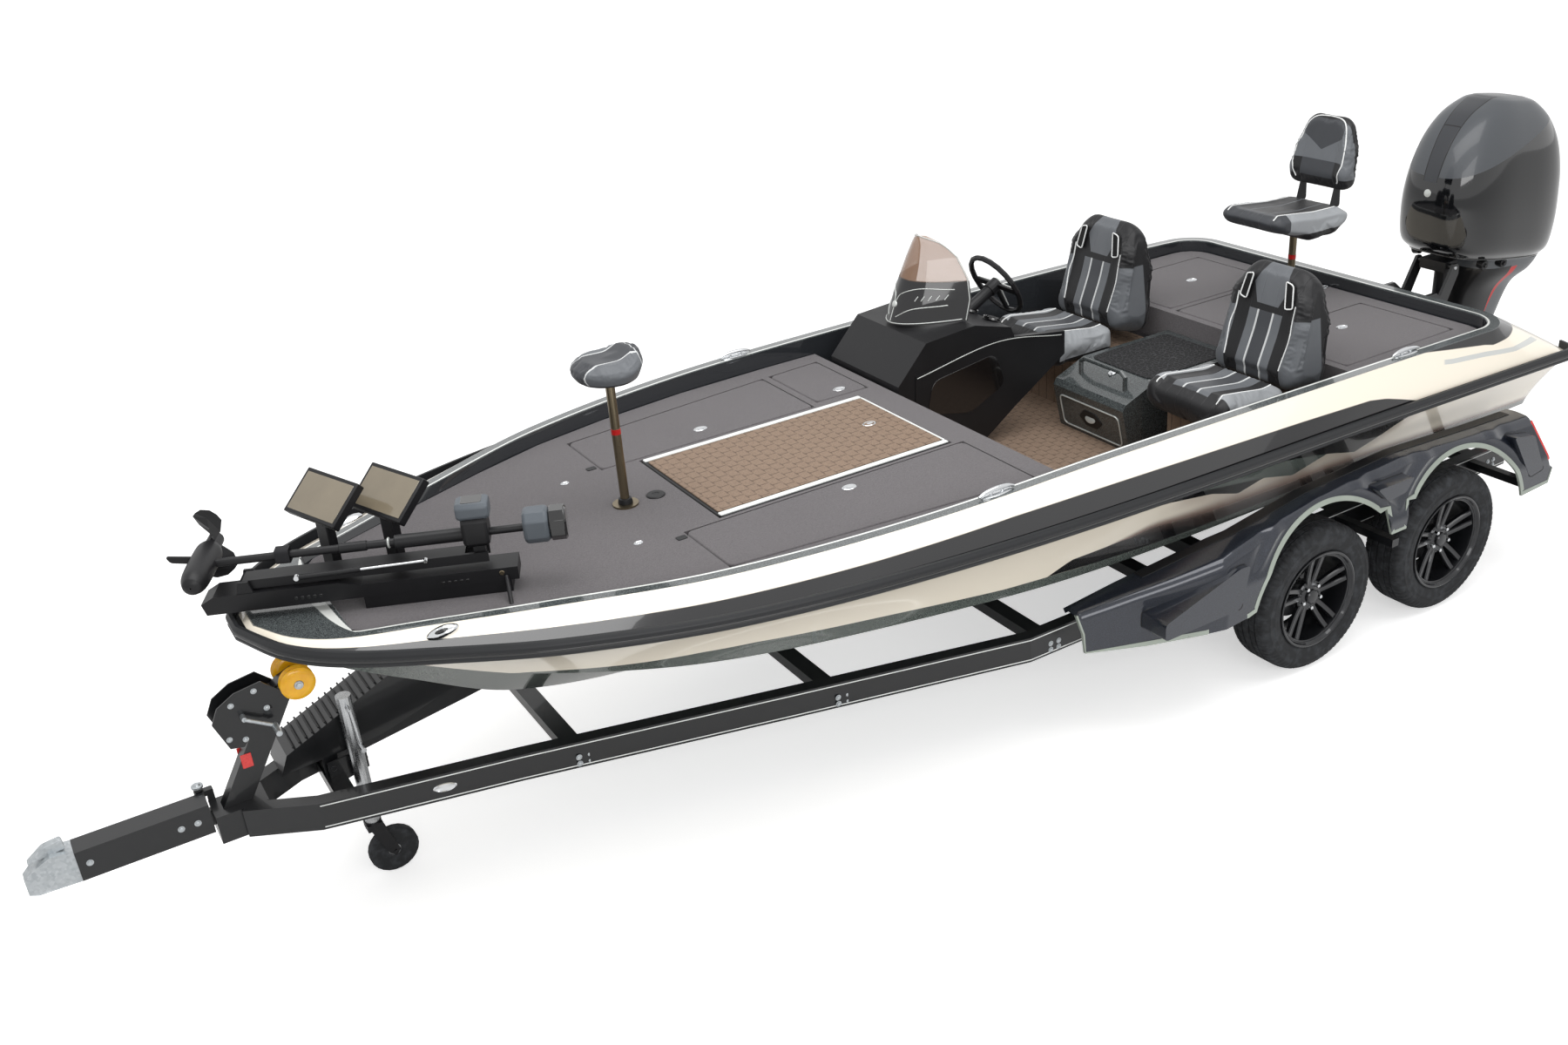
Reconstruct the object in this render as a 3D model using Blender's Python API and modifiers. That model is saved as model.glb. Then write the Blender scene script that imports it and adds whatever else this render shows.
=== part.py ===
"""Bass boat with outboard and bow motor, standing on its tandem-axle trailer.

Lengths are metres. Every place is given as a station: X forward from the transom,
Y to port from the centreline, Z up from the ground. The root empty moves the
transom so that the middle of the whole rig stands over the world origin.
"""

import math

import bmesh
import bpy
from mathutils import Matrix, Vector

# Overall
COUPLER_NOSE_X = 7.237
MOTOR_BACK_X = -1.170
SEAT_GAP = 0.0003
RUN_GAP = 0.0005

# Hull lines
HULL_LENGTH = 6.345
BEAM = 2.410
KEEL_Z = 0.500
SHEER_STERN_Z = 1.066
SHEER_SLOPE = 0.031
TRANSOM_RAKE = 0.150
PAD_HALF_WIDTH = 0.060
RAIL_DEPTH = 0.024
RAIL_HEIGHT = 0.062
CAP_WIDTH = 0.060
CAP_LEAN = 0.020
BOW_CAP_LENGTH = 0.330
STERN_RIM_X = 0.520
RIM_CORNER_RADIUS = 0.160
QUARTER_RADIUS = 0.100
CHINE_FLAT = 0.060
CHINE_DROP = 0.010

# Decks and cockpit
DECK_Z = 1.274
BOW_DECK_AFT_X = 3.190
REAR_DECK_FORE_X = 1.450
LOCKER_FORE_X = 4.780
LOCKER_AFT_X = 0.560
LOCKER_FLOOR_Z = 1.000
LOCKER_WALL = 0.020
FLOOR_Z = 0.850
FLOOR_THICKNESS = 0.045
WELL_WALL = 0.064
WELL_FLARE_WIDTH = 0.120
WELL_BOTTOM_HALF = 0.775 * BEAM / 2 - WELL_WALL
WELL_TOP_HALF = WELL_BOTTOM_HALF + WELL_FLARE_WIDTH
COAMING_MARGIN = 0.075
LOCKER_HALF_AFT = 0.900 * BEAM / 2 - CAP_WIDTH - CAP_LEAN - COAMING_MARGIN
LOCKER_TAPER = 0.120
LOCKER_HALF_FORE = LOCKER_HALF_AFT - LOCKER_TAPER
LID_THICKNESS = 0.030
LID_GAP = 0.005
LID_LEDGE = 0.018

# Cockpit furniture
SEAT_Y = 0.583
SEAT_WIDTH = 0.540
SEAT_FRONT_X = 2.220
SEAT_BACK_X = 1.490
SEAT_BASE_Z = 1.110
SEAT_TOP_Z = 1.780
STEP_HALF_WIDTH = 0.255
STEP_FRONT_X = 2.240
STEP_Z = 1.180
CONSOLE_INNER_Y = -0.270
CONSOLE_OUTER_Y = -0.900
CONSOLE_TOP_Z = 1.500
WHEEL_CENTRE = (2.330, -0.600, 1.545)
WHEEL_RADIUS = 0.172
WHEEL_HUB = 0.050
WHEEL_LEAN = math.radians(28)

# Pedestal seats
BOW_POST_X = 4.7425
REAR_POST_X = 0.838
POST_RADIUS = 0.019
BOW_SEAT_Z = 1.800
REAR_SEAT_Z = 1.640

# Trailer
TRACK_FACE_Y = 1.244
TYRE_WIDTH = 0.225
TYRE_RADIUS = 0.3628
RIM_RADIUS = 0.2160
FLANGE_RADIUS = 0.2400
TYRE_SIDES = 24
FRONT_AXLE_X = 1.916
REAR_AXLE_X = 1.007
AXLE_BOX = 0.076
TORSION_ARM = 0.130
SPINDLE_RADIUS = 0.022
RAIL_TOP_Z = 0.560
RAIL_DROP = 0.120
RAIL_THICKNESS = 0.060
CROSS_RISE = 0.055
RAIL_OUTER_Y = 0.940
RAIL_AFT_X = 0.180
RAIL_BEND_X = 3.370
JUNCTION_X = 6.470
BUNK_Y = 0.480
BUNK_WIDTH = 0.140
BUNK_AFT_X = 0.240
BUNK_FORE_X = 2.600
FENDER_INNER_Y = 1.085
FENDER_OUTER_Y = 1.290
FENDER_WALL = 0.012
ARCH_RADIUS = 0.485
POST_Z = 0.715
SHOULDER_Z = 0.640
SIDE_LEAN = 0.300
RIB_COUNT = 4
FENDER_TIP_X = 3.200
FENDER_TAIL_X = 0.312
TAPER_START_X = 2.400
TIP_OUTER_Y = 1.030

# Tongue, stand and jack
TONGUE_HALF_WIDTH = 0.050
TONGUE_HEIGHT = 0.125
TONGUE_AFT_X = 6.600
TONGUE_TIP_X = 7.060
TONGUE_Z = 0.500
JACK_X = 6.020
JACK_Y = 0.020
JACK_RADIUS = 0.030
JACK_PIVOT_Z = 0.530
JACK_TOP_Z = 0.860
JACK_WHEEL_RADIUS = 0.1015
JACK_TRAIL = 0.055

# Outboard
TILT_X = -0.360
TILT_Z = 1.210
STEER_X = -0.430
JACK_PLATE_TOP_Z = 1.105
JACK_PLATE_INSIDE = 0.130
COWL_SLOPE = 0.150
SWIVEL_LOW_Z = 0.860
COWL_SEAM_Z = 1.262
PROP_SHAFT_Z = 0.400
PROP_RADIUS = 0.185
PROP_X = -0.930

# Bow motor, in its own frame: forward from the nose of its base
TROLL_X = 6.380
TROLL_Y = -0.095
TROLL_Z = 1.325
TROLL_YAW = math.radians(-24.6)
TROLL_BASE_LENGTH = 1.130
TROLL_HALF_WIDTH = 0.060
TROLL_PIVOT = (-0.150, 0.095)
SHAFT_PIVOT = (-1.000, 0.110)
SHAFT_RADIUS = 0.016
POD_RADIUS = 0.045
TROLL_PROP_RADIUS = 0.140


# Scene and helpers

def clear_scene():
    for obj in list(bpy.data.objects):
        bpy.data.objects.remove(obj, do_unlink=True)


def new_collection(name):
    made = bpy.data.collections.new(name)
    bpy.context.scene.collection.children.link(made)
    return made


clear_scene()
PARTS = new_collection("bass_boat")
CUTTERS = new_collection("cutters")
ROOT = bpy.data.objects.new("rig_root", None)
ROOT.location = (-(COUPLER_NOSE_X + MOTOR_BACK_X) / 2, 0.0, 0.0)
PARTS.objects.link(ROOT)


def material(name, colour, roughness, metallic=0.0):
    made = bpy.data.materials.get(name)
    if made:
        return made
    made = bpy.data.materials.new(name)
    made.use_nodes = True
    shader = made.node_tree.nodes["Principled BSDF"]
    shader.inputs["Base Color"].default_value = (*colour, 1.0)
    shader.inputs["Roughness"].default_value = roughness
    shader.inputs["Metallic"].default_value = metallic
    return made


GELCOAT = material("cream_gelcoat", (0.86, 0.82, 0.72), 0.2)
FLAKE = material("grey_flake_gelcoat", (0.22, 0.24, 0.24), 0.35, 0.4)
CARPET = material("grey_carpet", (0.16, 0.14, 0.14), 0.95)
RAIL_BLACK = material("rail_black", (0.03, 0.03, 0.03), 0.5)
GLOSS_BLACK = material("gloss_black", (0.01, 0.01, 0.012), 0.15)
SMOKED = material("smoked_acrylic", (0.25, 0.24, 0.2), 0.1)
VINYL = material("grey_vinyl", (0.08, 0.085, 0.09), 0.6)
FRAME_BLACK = material("frame_black", (0.015, 0.015, 0.015), 0.35)
ZINC = material("zinc", (0.6, 0.62, 0.62), 0.4, 0.9)
AMBER = material("amber_plastic", (0.8, 0.5, 0.02), 0.3)
RUBBER = material("tyre_rubber", (0.02, 0.02, 0.02), 0.8)
ALLOY_BLACK = material("black_alloy", (0.02, 0.02, 0.02), 0.4, 0.5)
STEEL = material("steel", (0.5, 0.5, 0.5), 0.3, 1.0)
MOTOR_GREY = material("motor_grey", (0.12, 0.13, 0.14), 0.35, 0.3)
PLASTIC = material("black_plastic", (0.025, 0.025, 0.028), 0.5)


def pivot(name, place, parent=None, turn=(0.0, 0.0, 0.0)):
    """An empty that carries what turns about its place."""
    empty = bpy.data.objects.new(name, None)
    empty.location = place
    empty.rotation_euler = turn
    empty.parent = parent or ROOT
    PARTS.objects.link(empty)
    return empty


def add(name, mesh, finish, parent=None, place=(0.0, 0.0, 0.0), turn=(0.0, 0.0, 0.0)):
    obj = bpy.data.objects.new(name, mesh)
    obj.location = place
    obj.rotation_euler = turn
    obj.parent = parent or ROOT
    if finish:
        PARTS.objects.link(obj)
        if not mesh.materials:
            mesh.materials.append(finish)
    else:
        CUTTERS.objects.link(obj)
        obj.hide_render = True
        obj.display_type = 'WIRE'
    return obj


def to_mesh(name, bm, smooth=True):
    bmesh.ops.recalc_face_normals(bm, faces=bm.faces)
    if bm.calc_volume(signed=True) < 0.0:
        bmesh.ops.reverse_faces(bm, faces=bm.faces)
    mesh = bpy.data.meshes.new(name)
    bm.to_mesh(mesh)
    bm.free()
    if smooth:
        mesh.shade_smooth()
        mesh.set_sharp_from_angle(angle=math.radians(35))
    return mesh


def box_mesh(name, x, y, z, bevel=0.0):
    """A box between three pairs of bounds."""
    bm = bmesh.new()
    bmesh.ops.create_cube(bm, size=1.0)
    low = Vector((min(x), min(y), min(z)))
    size = Vector((max(x), max(y), max(z))) - low
    bmesh.ops.scale(bm, vec=size, verts=bm.verts)
    bmesh.ops.translate(bm, vec=low + size / 2, verts=bm.verts)
    if bevel:
        bmesh.ops.bevel(bm, geom=bm.edges[:], offset=bevel, segments=2, affect='EDGES', clamp_overlap=True)
    return to_mesh(name, bm, smooth=bool(bevel))


def rod_mesh(name, start, end, radius, end_radius=None, sides=16):
    """A round bar between two points."""
    bm = bmesh.new()
    start = Vector(start)
    run = Vector(end) - start
    bmesh.ops.create_cone(bm, cap_ends=True, segments=sides, radius1=radius,
                          radius2=radius if end_radius is None else end_radius, depth=run.length)
    turn = run.to_track_quat('Z', 'Y').to_matrix().to_4x4()
    bmesh.ops.transform(bm, matrix=Matrix.Translation(start + run / 2) @ turn, verts=bm.verts)
    return to_mesh(name, bm)


def loft_mesh(name, rings, closed=False):
    """Skin equal rings of points, capped at both ends unless the run closes on itself."""
    bm = bmesh.new()
    rows = [[bm.verts.new(point) for point in ring] for ring in rings]
    pairs = list(zip(rows, rows[1:]))
    if closed:
        pairs.append((rows[-1], rows[0]))
    for row, after in pairs:
        for k in range(len(row)):
            n = (k + 1) % len(row)
            bm.faces.new((row[k], row[n], after[n], after[k]))
    if not closed:
        bm.faces.new(rows[0])
        bm.faces.new(rows[-1])
    return to_mesh(name, bm)


def slab_mesh(name, outline, low, high):
    """A plan outline between two heights, each a number or a function of X."""
    def height(level, x):
        return level(x) if callable(level) else level
    rings = [[(x, y, height(level, x)) for x, y in outline] for level in (low, high)]
    return loft_mesh(name, rings)


def curve_to_mesh(name, data):
    """Turn a curve into a mesh with welded caps."""
    holder = bpy.data.objects.new(name, data)
    bpy.context.scene.collection.objects.link(holder)
    graph = bpy.context.evaluated_depsgraph_get()
    mesh = bpy.data.meshes.new_from_object(holder.evaluated_get(graph))
    bpy.data.objects.remove(holder, do_unlink=True)
    bm = bmesh.new()
    bm.from_mesh(mesh)
    bpy.data.meshes.remove(mesh)
    bmesh.ops.remove_doubles(bm, verts=bm.verts, dist=0.00005)
    return to_mesh(name, bm)


def side_mesh(name, outline, y_low, y_high):
    """A side outline of X and Z points, as thick as the two bounds in Y."""
    data = bpy.data.curves.new(name, 'CURVE')
    data.dimensions = '2D'
    data.fill_mode = 'BOTH'
    data.extrude = (y_high - y_low) / 2
    spline = data.splines.new('POLY')
    spline.points.add(len(outline) - 1)
    for point, (x, z) in zip(spline.points, outline):
        point.co = (x, z, 0.0, 1.0)
    spline.use_cyclic_u = True
    mesh = curve_to_mesh(name, data)
    mesh.transform(Matrix.Rotation(math.pi / 2, 4, 'X'))
    mesh.transform(Matrix.Translation((0.0, (y_low + y_high) / 2, 0.0)))
    return mesh


def tube_mesh(name, points, radius, resolution=2):
    """A round tube through hand-set points, on one smooth path."""
    data = bpy.data.curves.new(name, 'CURVE')
    data.dimensions = '3D'
    data.bevel_depth = radius
    data.bevel_resolution = resolution
    data.use_fill_caps = True
    spline = data.splines.new('POLY')
    spline.points.add(len(points) - 1)
    for point, place in zip(spline.points, points):
        point.co = (*place, 1.0)
    return curve_to_mesh(name, data)


def turned_mesh(name, profile, sides, closed=True):
    """A ring turned about Y from a profile of radius and Y points, by the Screw modifier."""
    bm = bmesh.new()
    verts = [bm.verts.new((radius, along, 0.0)) for radius, along in profile]
    pairs = list(zip(verts, verts[1:]))
    if closed:
        pairs.append((verts[-1], verts[0]))
    for one, two in pairs:
        bm.edges.new((one, two))
    mesh = bpy.data.meshes.new(name)
    bm.to_mesh(mesh)
    bm.free()
    holder = bpy.data.objects.new(name, mesh)
    bpy.context.scene.collection.objects.link(holder)
    screw = holder.modifiers.new("turn", 'SCREW')
    screw.axis = 'Y'
    screw.steps = sides
    screw.render_steps = sides
    screw.use_merge_vertices = True
    screw.merge_threshold = 0.0001
    graph = bpy.context.evaluated_depsgraph_get()
    turned = bpy.data.meshes.new_from_object(holder.evaluated_get(graph))
    bpy.data.objects.remove(holder, do_unlink=True)
    bm = bmesh.new()
    bm.from_mesh(turned)
    bpy.data.meshes.remove(turned)
    bmesh.ops.remove_doubles(bm, verts=bm.verts, dist=0.00005)
    return to_mesh(name, bm)


def combine(target, operation, *meshes):
    """Join meshes to an object or cut them from it, in the object's own frame."""
    for mesh in meshes:
        tool = add(target.name + "_" + mesh.name, mesh, None, target.parent,
                   target.location, target.rotation_euler)
        step = target.modifiers.new(mesh.name, 'BOOLEAN')
        step.operation = operation
        step.solver = 'EXACT'
        step.object = tool
    return target


def join(target, *meshes):
    return combine(target, 'UNION', *meshes)


def cut(target, *meshes):
    return combine(target, 'DIFFERENCE', *meshes)


def catmull(x, table, column):
    """A smooth value at x through a table's rows, whose first column is x."""
    last = len(table) - 1
    i = next((k for k in range(last) if x <= table[k + 1][0]), last - 1)
    before, start, end, after = (table[max(min(k, last), 0)] for k in (i - 1, i, i + 1, i + 2))
    span = end[0] - start[0]
    t = (x - start[0]) / span
    rise_in = (end[column] - before[column]) / (end[0] - before[0]) * span
    rise_out = (after[column] - start[column]) / (after[0] - start[0]) * span
    return ((2 * t ** 3 - 3 * t ** 2 + 1) * start[column] + (t ** 3 - 2 * t ** 2 + t) * rise_in
            + (3 * t ** 2 - 2 * t ** 3) * end[column] + (t ** 3 - t ** 2) * rise_out)


# Hull lines, in shares of the length and of the half beam, and rises over the keel.
# Columns: length share, keel rise, chine share, chine rise, sheer share, gunwale share, gunwale rise
HULL_LINES = (
    (0.000, 0.000, 0.775, 0.262, 0.957, 0.900, 0.819),
    (0.236, 0.000, 0.775, 0.256, 0.972, 0.916, 0.853),
    (0.473, 0.000, 0.750, 0.252, 1.000, 0.900, 0.863),
    (0.630, 0.010, 0.690, 0.310, 0.976, 0.878, 0.854),
    (0.757, 0.035, 0.575, 0.368, 0.890, 0.765, 0.837),
    (0.851, 0.150, 0.370, 0.430, 0.732, 0.570, 0.817),
    (0.914, 0.362, 0.200, 0.520, 0.560, 0.425, 0.802),
    (0.961, 0.540, 0.085, 0.620, 0.405, 0.315, 0.792),
    (0.985, 0.640, 0.040, 0.680, 0.262, 0.205, 0.789),
    (1.000, 0.725, 0.012, 0.735, 0.070, 0.060, 0.788),
)
MOULD_LENGTH = HULL_LENGTH - RAIL_DEPTH
# The first five sections fan out round the stern's corner
SECTION_SHARES = (0.0, 0.004, 0.0158, 0.06, 0.10, 0.14, 0.236, 0.32, 0.40, 0.473, 0.55, 0.63, 0.70,
                  0.757, 0.81, 0.851, 0.885, 0.914, 0.94, 0.961, 0.975, 0.985, 0.993, 1.0)
RIM_TURN = 4
KEEL, CHINE, CHINE_RISE, SHEER, GUNWALE, GUNWALE_RISE = range(1, 7)


def sheer_z(x):
    return SHEER_STERN_Z + SHEER_SLOPE * x


def line_at(share, column):
    return catmull(share, HULL_LINES, column)


def half_beam(share, column):
    return line_at(share, column) * BEAM / 2


def quarter_round(x):
    """How far the transom's rounded corner draws the side in."""
    reach = max(0.0, QUARTER_RADIUS - x)
    return QUARTER_RADIUS - math.sqrt(QUARTER_RADIUS ** 2 - reach ** 2)


def sheer_half(share):
    return half_beam(share, SHEER) - RAIL_DEPTH - quarter_round(share * MOULD_LENGTH)


def hull_ring(share):
    """One hull section: pad, bottom, turned-down chine flat, side and the flat top at the sheer."""
    x = share * MOULD_LENGTH
    keel = KEEL_Z + line_at(share, KEEL)
    chine_z = KEEL_Z + line_at(share, CHINE_RISE)
    chine = half_beam(share, CHINE)
    flat = min(CHINE_FLAT, chine * 0.15)
    sheer = sheer_half(share)
    top = sheer_z(x)
    pad = min(PAD_HALF_WIDTH, chine * 0.4)
    mid = (chine + sheer) / 2 - 0.05 * (sheer - chine)
    half = [(pad, keel), (chine - flat, chine_z), (chine, chine_z - CHINE_DROP * flat / CHINE_FLAT),
            (mid, (chine_z + top) / 2), (sheer, top)]
    rake = TRANSOM_RAKE * max(0.0, 1.0 - share / 0.06)
    ring = []
    for side, points in ((1, half), (-1, reversed(half))):
        for y, z in points:
            ring.append((x + rake * (top - z) / (top - keel), side * y, z))
    return ring


def well_cutter(name, x_aft, x_fore, floor, half_aft, half_fore, flare=0.0):
    """An open well with an upright or flared side, cut down from above."""
    rim = 1.5
    rings = []
    for x, half in ((x_aft, half_aft), (x_fore, half_fore)):
        spread = half + flare * (rim - floor)
        rings.append([(x, half, floor), (x, spread, rim), (x, -spread, rim), (x, -half, floor)])
    return loft_mesh(name, rings)


def build_hull():
    hull = add("hull", loft_mesh("hull", [hull_ring(s) for s in SECTION_SHARES]), GELCOAT)
    flare = (WELL_TOP_HALF - WELL_BOTTOM_HALF) / (sheer_z(2.0) - FLOOR_Z)
    cut(hull,
        well_cutter("cockpit", REAR_DECK_FORE_X, BOW_DECK_AFT_X, FLOOR_Z - FLOOR_THICKNESS,
                    WELL_BOTTOM_HALF, WELL_BOTTOM_HALF, flare),
        well_cutter("bow_locker", BOW_DECK_AFT_X - 0.001, LOCKER_FORE_X, LOCKER_FLOOR_Z,
                    LOCKER_HALF_AFT, LOCKER_HALF_FORE),
        well_cutter("rear_locker", LOCKER_AFT_X, REAR_DECK_FORE_X + 0.001, LOCKER_FLOOR_Z,
                    LOCKER_HALF_AFT, LOCKER_HALF_AFT))


def cap_plan(share, gap=0.0):
    """Plan points of the cap at a section: outer foot, outer top, inner top and inner foot."""
    x = share * MOULD_LENGTH
    foot = Vector((x, sheer_half(share)))
    if share <= SECTION_SHARES[RIM_TURN]:
        turn = math.pi / 2 * (1 - SECTION_SHARES.index(share) / RIM_TURN)
        ray = Vector((-math.sin(turn), math.cos(turn)))
        side = half_beam(SECTION_SHARES[RIM_TURN], GUNWALE) - CAP_WIDTH
        centre = Vector((STERN_RIM_X + RIM_CORNER_RADIUS, side - RIM_CORNER_RADIUS))
        reaches = (RIM_CORNER_RADIUS + CAP_WIDTH, RIM_CORNER_RADIUS, RIM_CORNER_RADIUS - CAP_LEAN - gap)
        return [foot] + [centre + ray * reach for reach in reaches]
    inner = max(half_beam(share, GUNWALE) - CAP_WIDTH, 0.02)
    lean = CAP_LEAN if inner > 2 * CAP_LEAN else 0.0
    inner_x = min(x, MOULD_LENGTH - BOW_CAP_LENGTH)
    setback = 0.045 * share ** 10
    return [foot, Vector((x - setback, half_beam(share, GUNWALE))), Vector((inner_x, inner)),
            Vector((inner_x, inner - lean - gap))]


def cap_section(share, side):
    """Rim section: foot and top outside, top and foot inside."""
    foot, outer, inner, base = cap_plan(share)
    top_z = KEEL_Z + line_at(max(share, SECTION_SHARES[RIM_TURN]), GUNWALE_RISE)
    return [(foot.x, side * foot.y, sheer_z(foot.x) + SEAT_GAP), (outer.x, side * outer.y, top_z),
            (inner.x, side * inner.y, top_z), (base.x, side * base.y, sheer_z(base.x) + SEAT_GAP)]


def build_gunwale_cap():
    rings = [cap_section(s, 1) for s in SECTION_SHARES] + [cap_section(s,
                                                                       -1) for s in reversed(SECTION_SHARES)]
    add("gunwale_cap", loft_mesh("gunwale_cap", rings, closed=True), GELCOAT)


def build_rub_rail():
    """Rub rail along the sheer, from quarter to quarter round the bow."""
    track = [Vector((s * MOULD_LENGTH, side * sheer_half(s)))
             for side, shares in ((1, SECTION_SHARES), (-1, reversed(SECTION_SHARES))) for s in shares]
    rings = []
    for k, place in enumerate(track):
        along = track[min(k + 1, len(track) - 1)] - track[max(k - 1, 0)]
        out = Vector((along.y, -along.x)).normalized() * -1
        back = place + out * SEAT_GAP * 3
        face = place + out * RAIL_DEPTH
        low = sheer_z(place.x) - RAIL_HEIGHT * 0.35
        rings.append([(back.x, back.y, low), (face.x, face.y, low + 0.012),
                      (face.x, face.y, low + RAIL_HEIGHT - 0.012), (back.x, back.y, low + RAIL_HEIGHT)])
    add("rub_rail", loft_mesh("rub_rail", rings), RAIL_BLACK)


# Decks and their lids

def rim_outline(x_aft, x_fore, gap):
    """Plan outline inside the coamings between two stations, once round; None runs round the stern."""
    track = [cap_plan(share, gap)[-1] for share in SECTION_SHARES]

    def foot_at(x):
        for one, two in zip(track, track[1:]):
            if one.x <= x <= two.x and two.x > one.x:
                return one.y + (two.y - one.y) * (x - one.x) / (two.x - one.x)
        return track[-1].y

    low = -1.0 if x_aft is None else x_aft + 0.01
    port = [] if x_aft is None else [(x_aft, foot_at(x_aft))]
    port += [(place.x, place.y) for place in track if low < place.x < x_fore - 0.01]
    port.append((x_fore, foot_at(x_fore)))
    return port + [(x, -y) for x, y in reversed(port)]


# Lids by name: plan corners in order, the first two on the hinge
LIDS = {
    "rod_lid_port": ((3.300, 0.895), (4.670, 0.762), (4.670, 0.392), (3.300, 0.392)),
    "rod_lid_starboard": ((3.580, -0.870), (4.670, -0.762), (4.670, -0.392), (3.580, -0.392)),
    "day_box_lid": ((3.250, -0.895), (3.535, -0.875), (3.535, -0.430), (3.250, -0.430)),
    "bow_hatch": ((4.497, 0.3645), (4.497, -0.3645), (3.345, -0.3645), (3.345, 0.3645)),
    "rear_lid_port": ((0.640, 0.860), (1.400, 0.860), (1.400, 0.300), (0.640, 0.300)),
    "rear_lid_starboard": ((0.640, -0.860), (1.400, -0.860), (1.400, -0.300), (0.640, -0.300)),
    "livewell_lid": ((1.400, 0.255), (1.400, -0.255), (0.920, -0.255), (0.920, 0.255)),
}
BOW_LIDS = ("rod_lid_port", "rod_lid_starboard", "day_box_lid", "bow_hatch")


def offset_outline(corners, margin):
    """A four-cornered outline grown by a margin, in plan."""
    middle = sum((Vector(c) for c in corners), Vector((0.0, 0.0))) / len(corners)
    grown = []
    for x, y in corners:
        grown.append((x + margin * math.copysign(1.0, x - middle.x),
                      y + margin * math.copysign(1.0, y - middle.y)))
    return grown


def lid_hollows(name):
    """The rebate that a lid lies in and the locker below it."""
    corners = LIDS[name]
    rebate = slab_mesh(name + "_rebate", offset_outline(corners, LID_GAP),
                       DECK_Z - LID_THICKNESS - SEAT_GAP, DECK_Z + 0.1)
    locker = slab_mesh(name + "_locker", offset_outline(corners, -LID_LEDGE),
                       LOCKER_FLOOR_Z + LOCKER_WALL, DECK_Z + 0.05)
    return rebate, locker


def build_deck(name, outline, block, lids):
    """A deck skin on the sheer, with the lockers' block hanging under it."""
    deck = add(name, slab_mesh(name, outline, lambda x: sheer_z(x) + SEAT_GAP, DECK_Z), CARPET)
    join(deck, slab_mesh("lockers", block, LOCKER_FLOOR_Z + SEAT_GAP, DECK_Z - 0.01))
    for lid in lids:
        cut(deck, *lid_hollows(lid))


def build_lid(name):
    corners = LIDS[name]
    first = Vector((*corners[0], DECK_Z))
    hinge = pivot(name + "_hinge", first)
    lid = add(name, slab_mesh(name, corners, DECK_Z - LID_THICKNESS, DECK_Z), CARPET, hinge, -first)
    return lid


def build_decks():
    inner = SEAT_GAP * 2
    lip = 0.002
    block = [(BOW_DECK_AFT_X + lip, LOCKER_HALF_AFT - lip), (LOCKER_FORE_X - lip, LOCKER_HALF_FORE - lip),
             (LOCKER_FORE_X - lip, lip - LOCKER_HALF_FORE), (BOW_DECK_AFT_X + lip, lip - LOCKER_HALF_AFT)]
    fore = MOULD_LENGTH - BOW_CAP_LENGTH - inner
    build_deck("bow_deck", rim_outline(BOW_DECK_AFT_X + inner, fore, inner), block, BOW_LIDS)
    block = [(LOCKER_AFT_X + lip, LOCKER_HALF_AFT - lip), (REAR_DECK_FORE_X - lip, LOCKER_HALF_AFT - lip),
             (REAR_DECK_FORE_X - lip, lip - LOCKER_HALF_AFT), (LOCKER_AFT_X + lip, lip - LOCKER_HALF_AFT)]
    rear = [name for name in LIDS if name not in BOW_LIDS]
    build_deck("rear_deck", rim_outline(None, REAR_DECK_FORE_X, inner), block, rear)
    for name in LIDS:
        build_lid(name)


# Cockpit

def build_cockpit_floor():
    gap = SEAT_GAP * 2
    floor = add("cockpit_floor", box_mesh("cockpit_floor", (REAR_DECK_FORE_X + gap, BOW_DECK_AFT_X - gap),
                                          (gap - WELL_BOTTOM_HALF, WELL_BOTTOM_HALF - gap),
                                          (FLOOR_Z - FLOOR_THICKNESS + SEAT_GAP, FLOOR_Z)), CARPET)
    for side in (1, -1):
        y = (side * (SEAT_Y - 0.24), side * (SEAT_Y + 0.24))
        join(floor, box_mesh("seat_base" + str(side), (SEAT_BACK_X, SEAT_FRONT_X - 0.19), y,
                             (FLOOR_Z - 0.01, SEAT_BASE_Z)))
    join(floor, box_mesh("port_step", (BOW_DECK_AFT_X - 0.32, BOW_DECK_AFT_X - 0.004),
                         (0.46, WELL_BOTTOM_HALF - 0.010),
                         (FLOOR_Z - 0.01, 1.060)))


def build_cockpit_step():
    """Box between the seats, with the grab bar across its front."""
    back = REAR_DECK_FORE_X + 0.012
    front = STEP_FRONT_X
    outline = [(back, FLOOR_Z + SEAT_GAP), (back, STEP_Z), (front - 0.20, STEP_Z),
               (front - 0.02, STEP_Z - 0.07),
               (front, STEP_Z - 0.10), (front - 0.05, FLOOR_Z + SEAT_GAP)]
    step = add("cockpit_step", side_mesh("cockpit_step", outline, -STEP_HALF_WIDTH, STEP_HALF_WIDTH), FLAKE)
    bar = [(front - 0.10, -0.16, STEP_Z - 0.06), (front - 0.10, -0.16, STEP_Z + 0.025),
           (front - 0.10, -0.13, STEP_Z + 0.045), (front - 0.10, 0.13, STEP_Z + 0.045),
           (front - 0.10, 0.16, STEP_Z + 0.025), (front - 0.10, 0.16, STEP_Z - 0.06)]
    join(step, tube_mesh("grab_bar", bar, 0.012))


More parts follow.
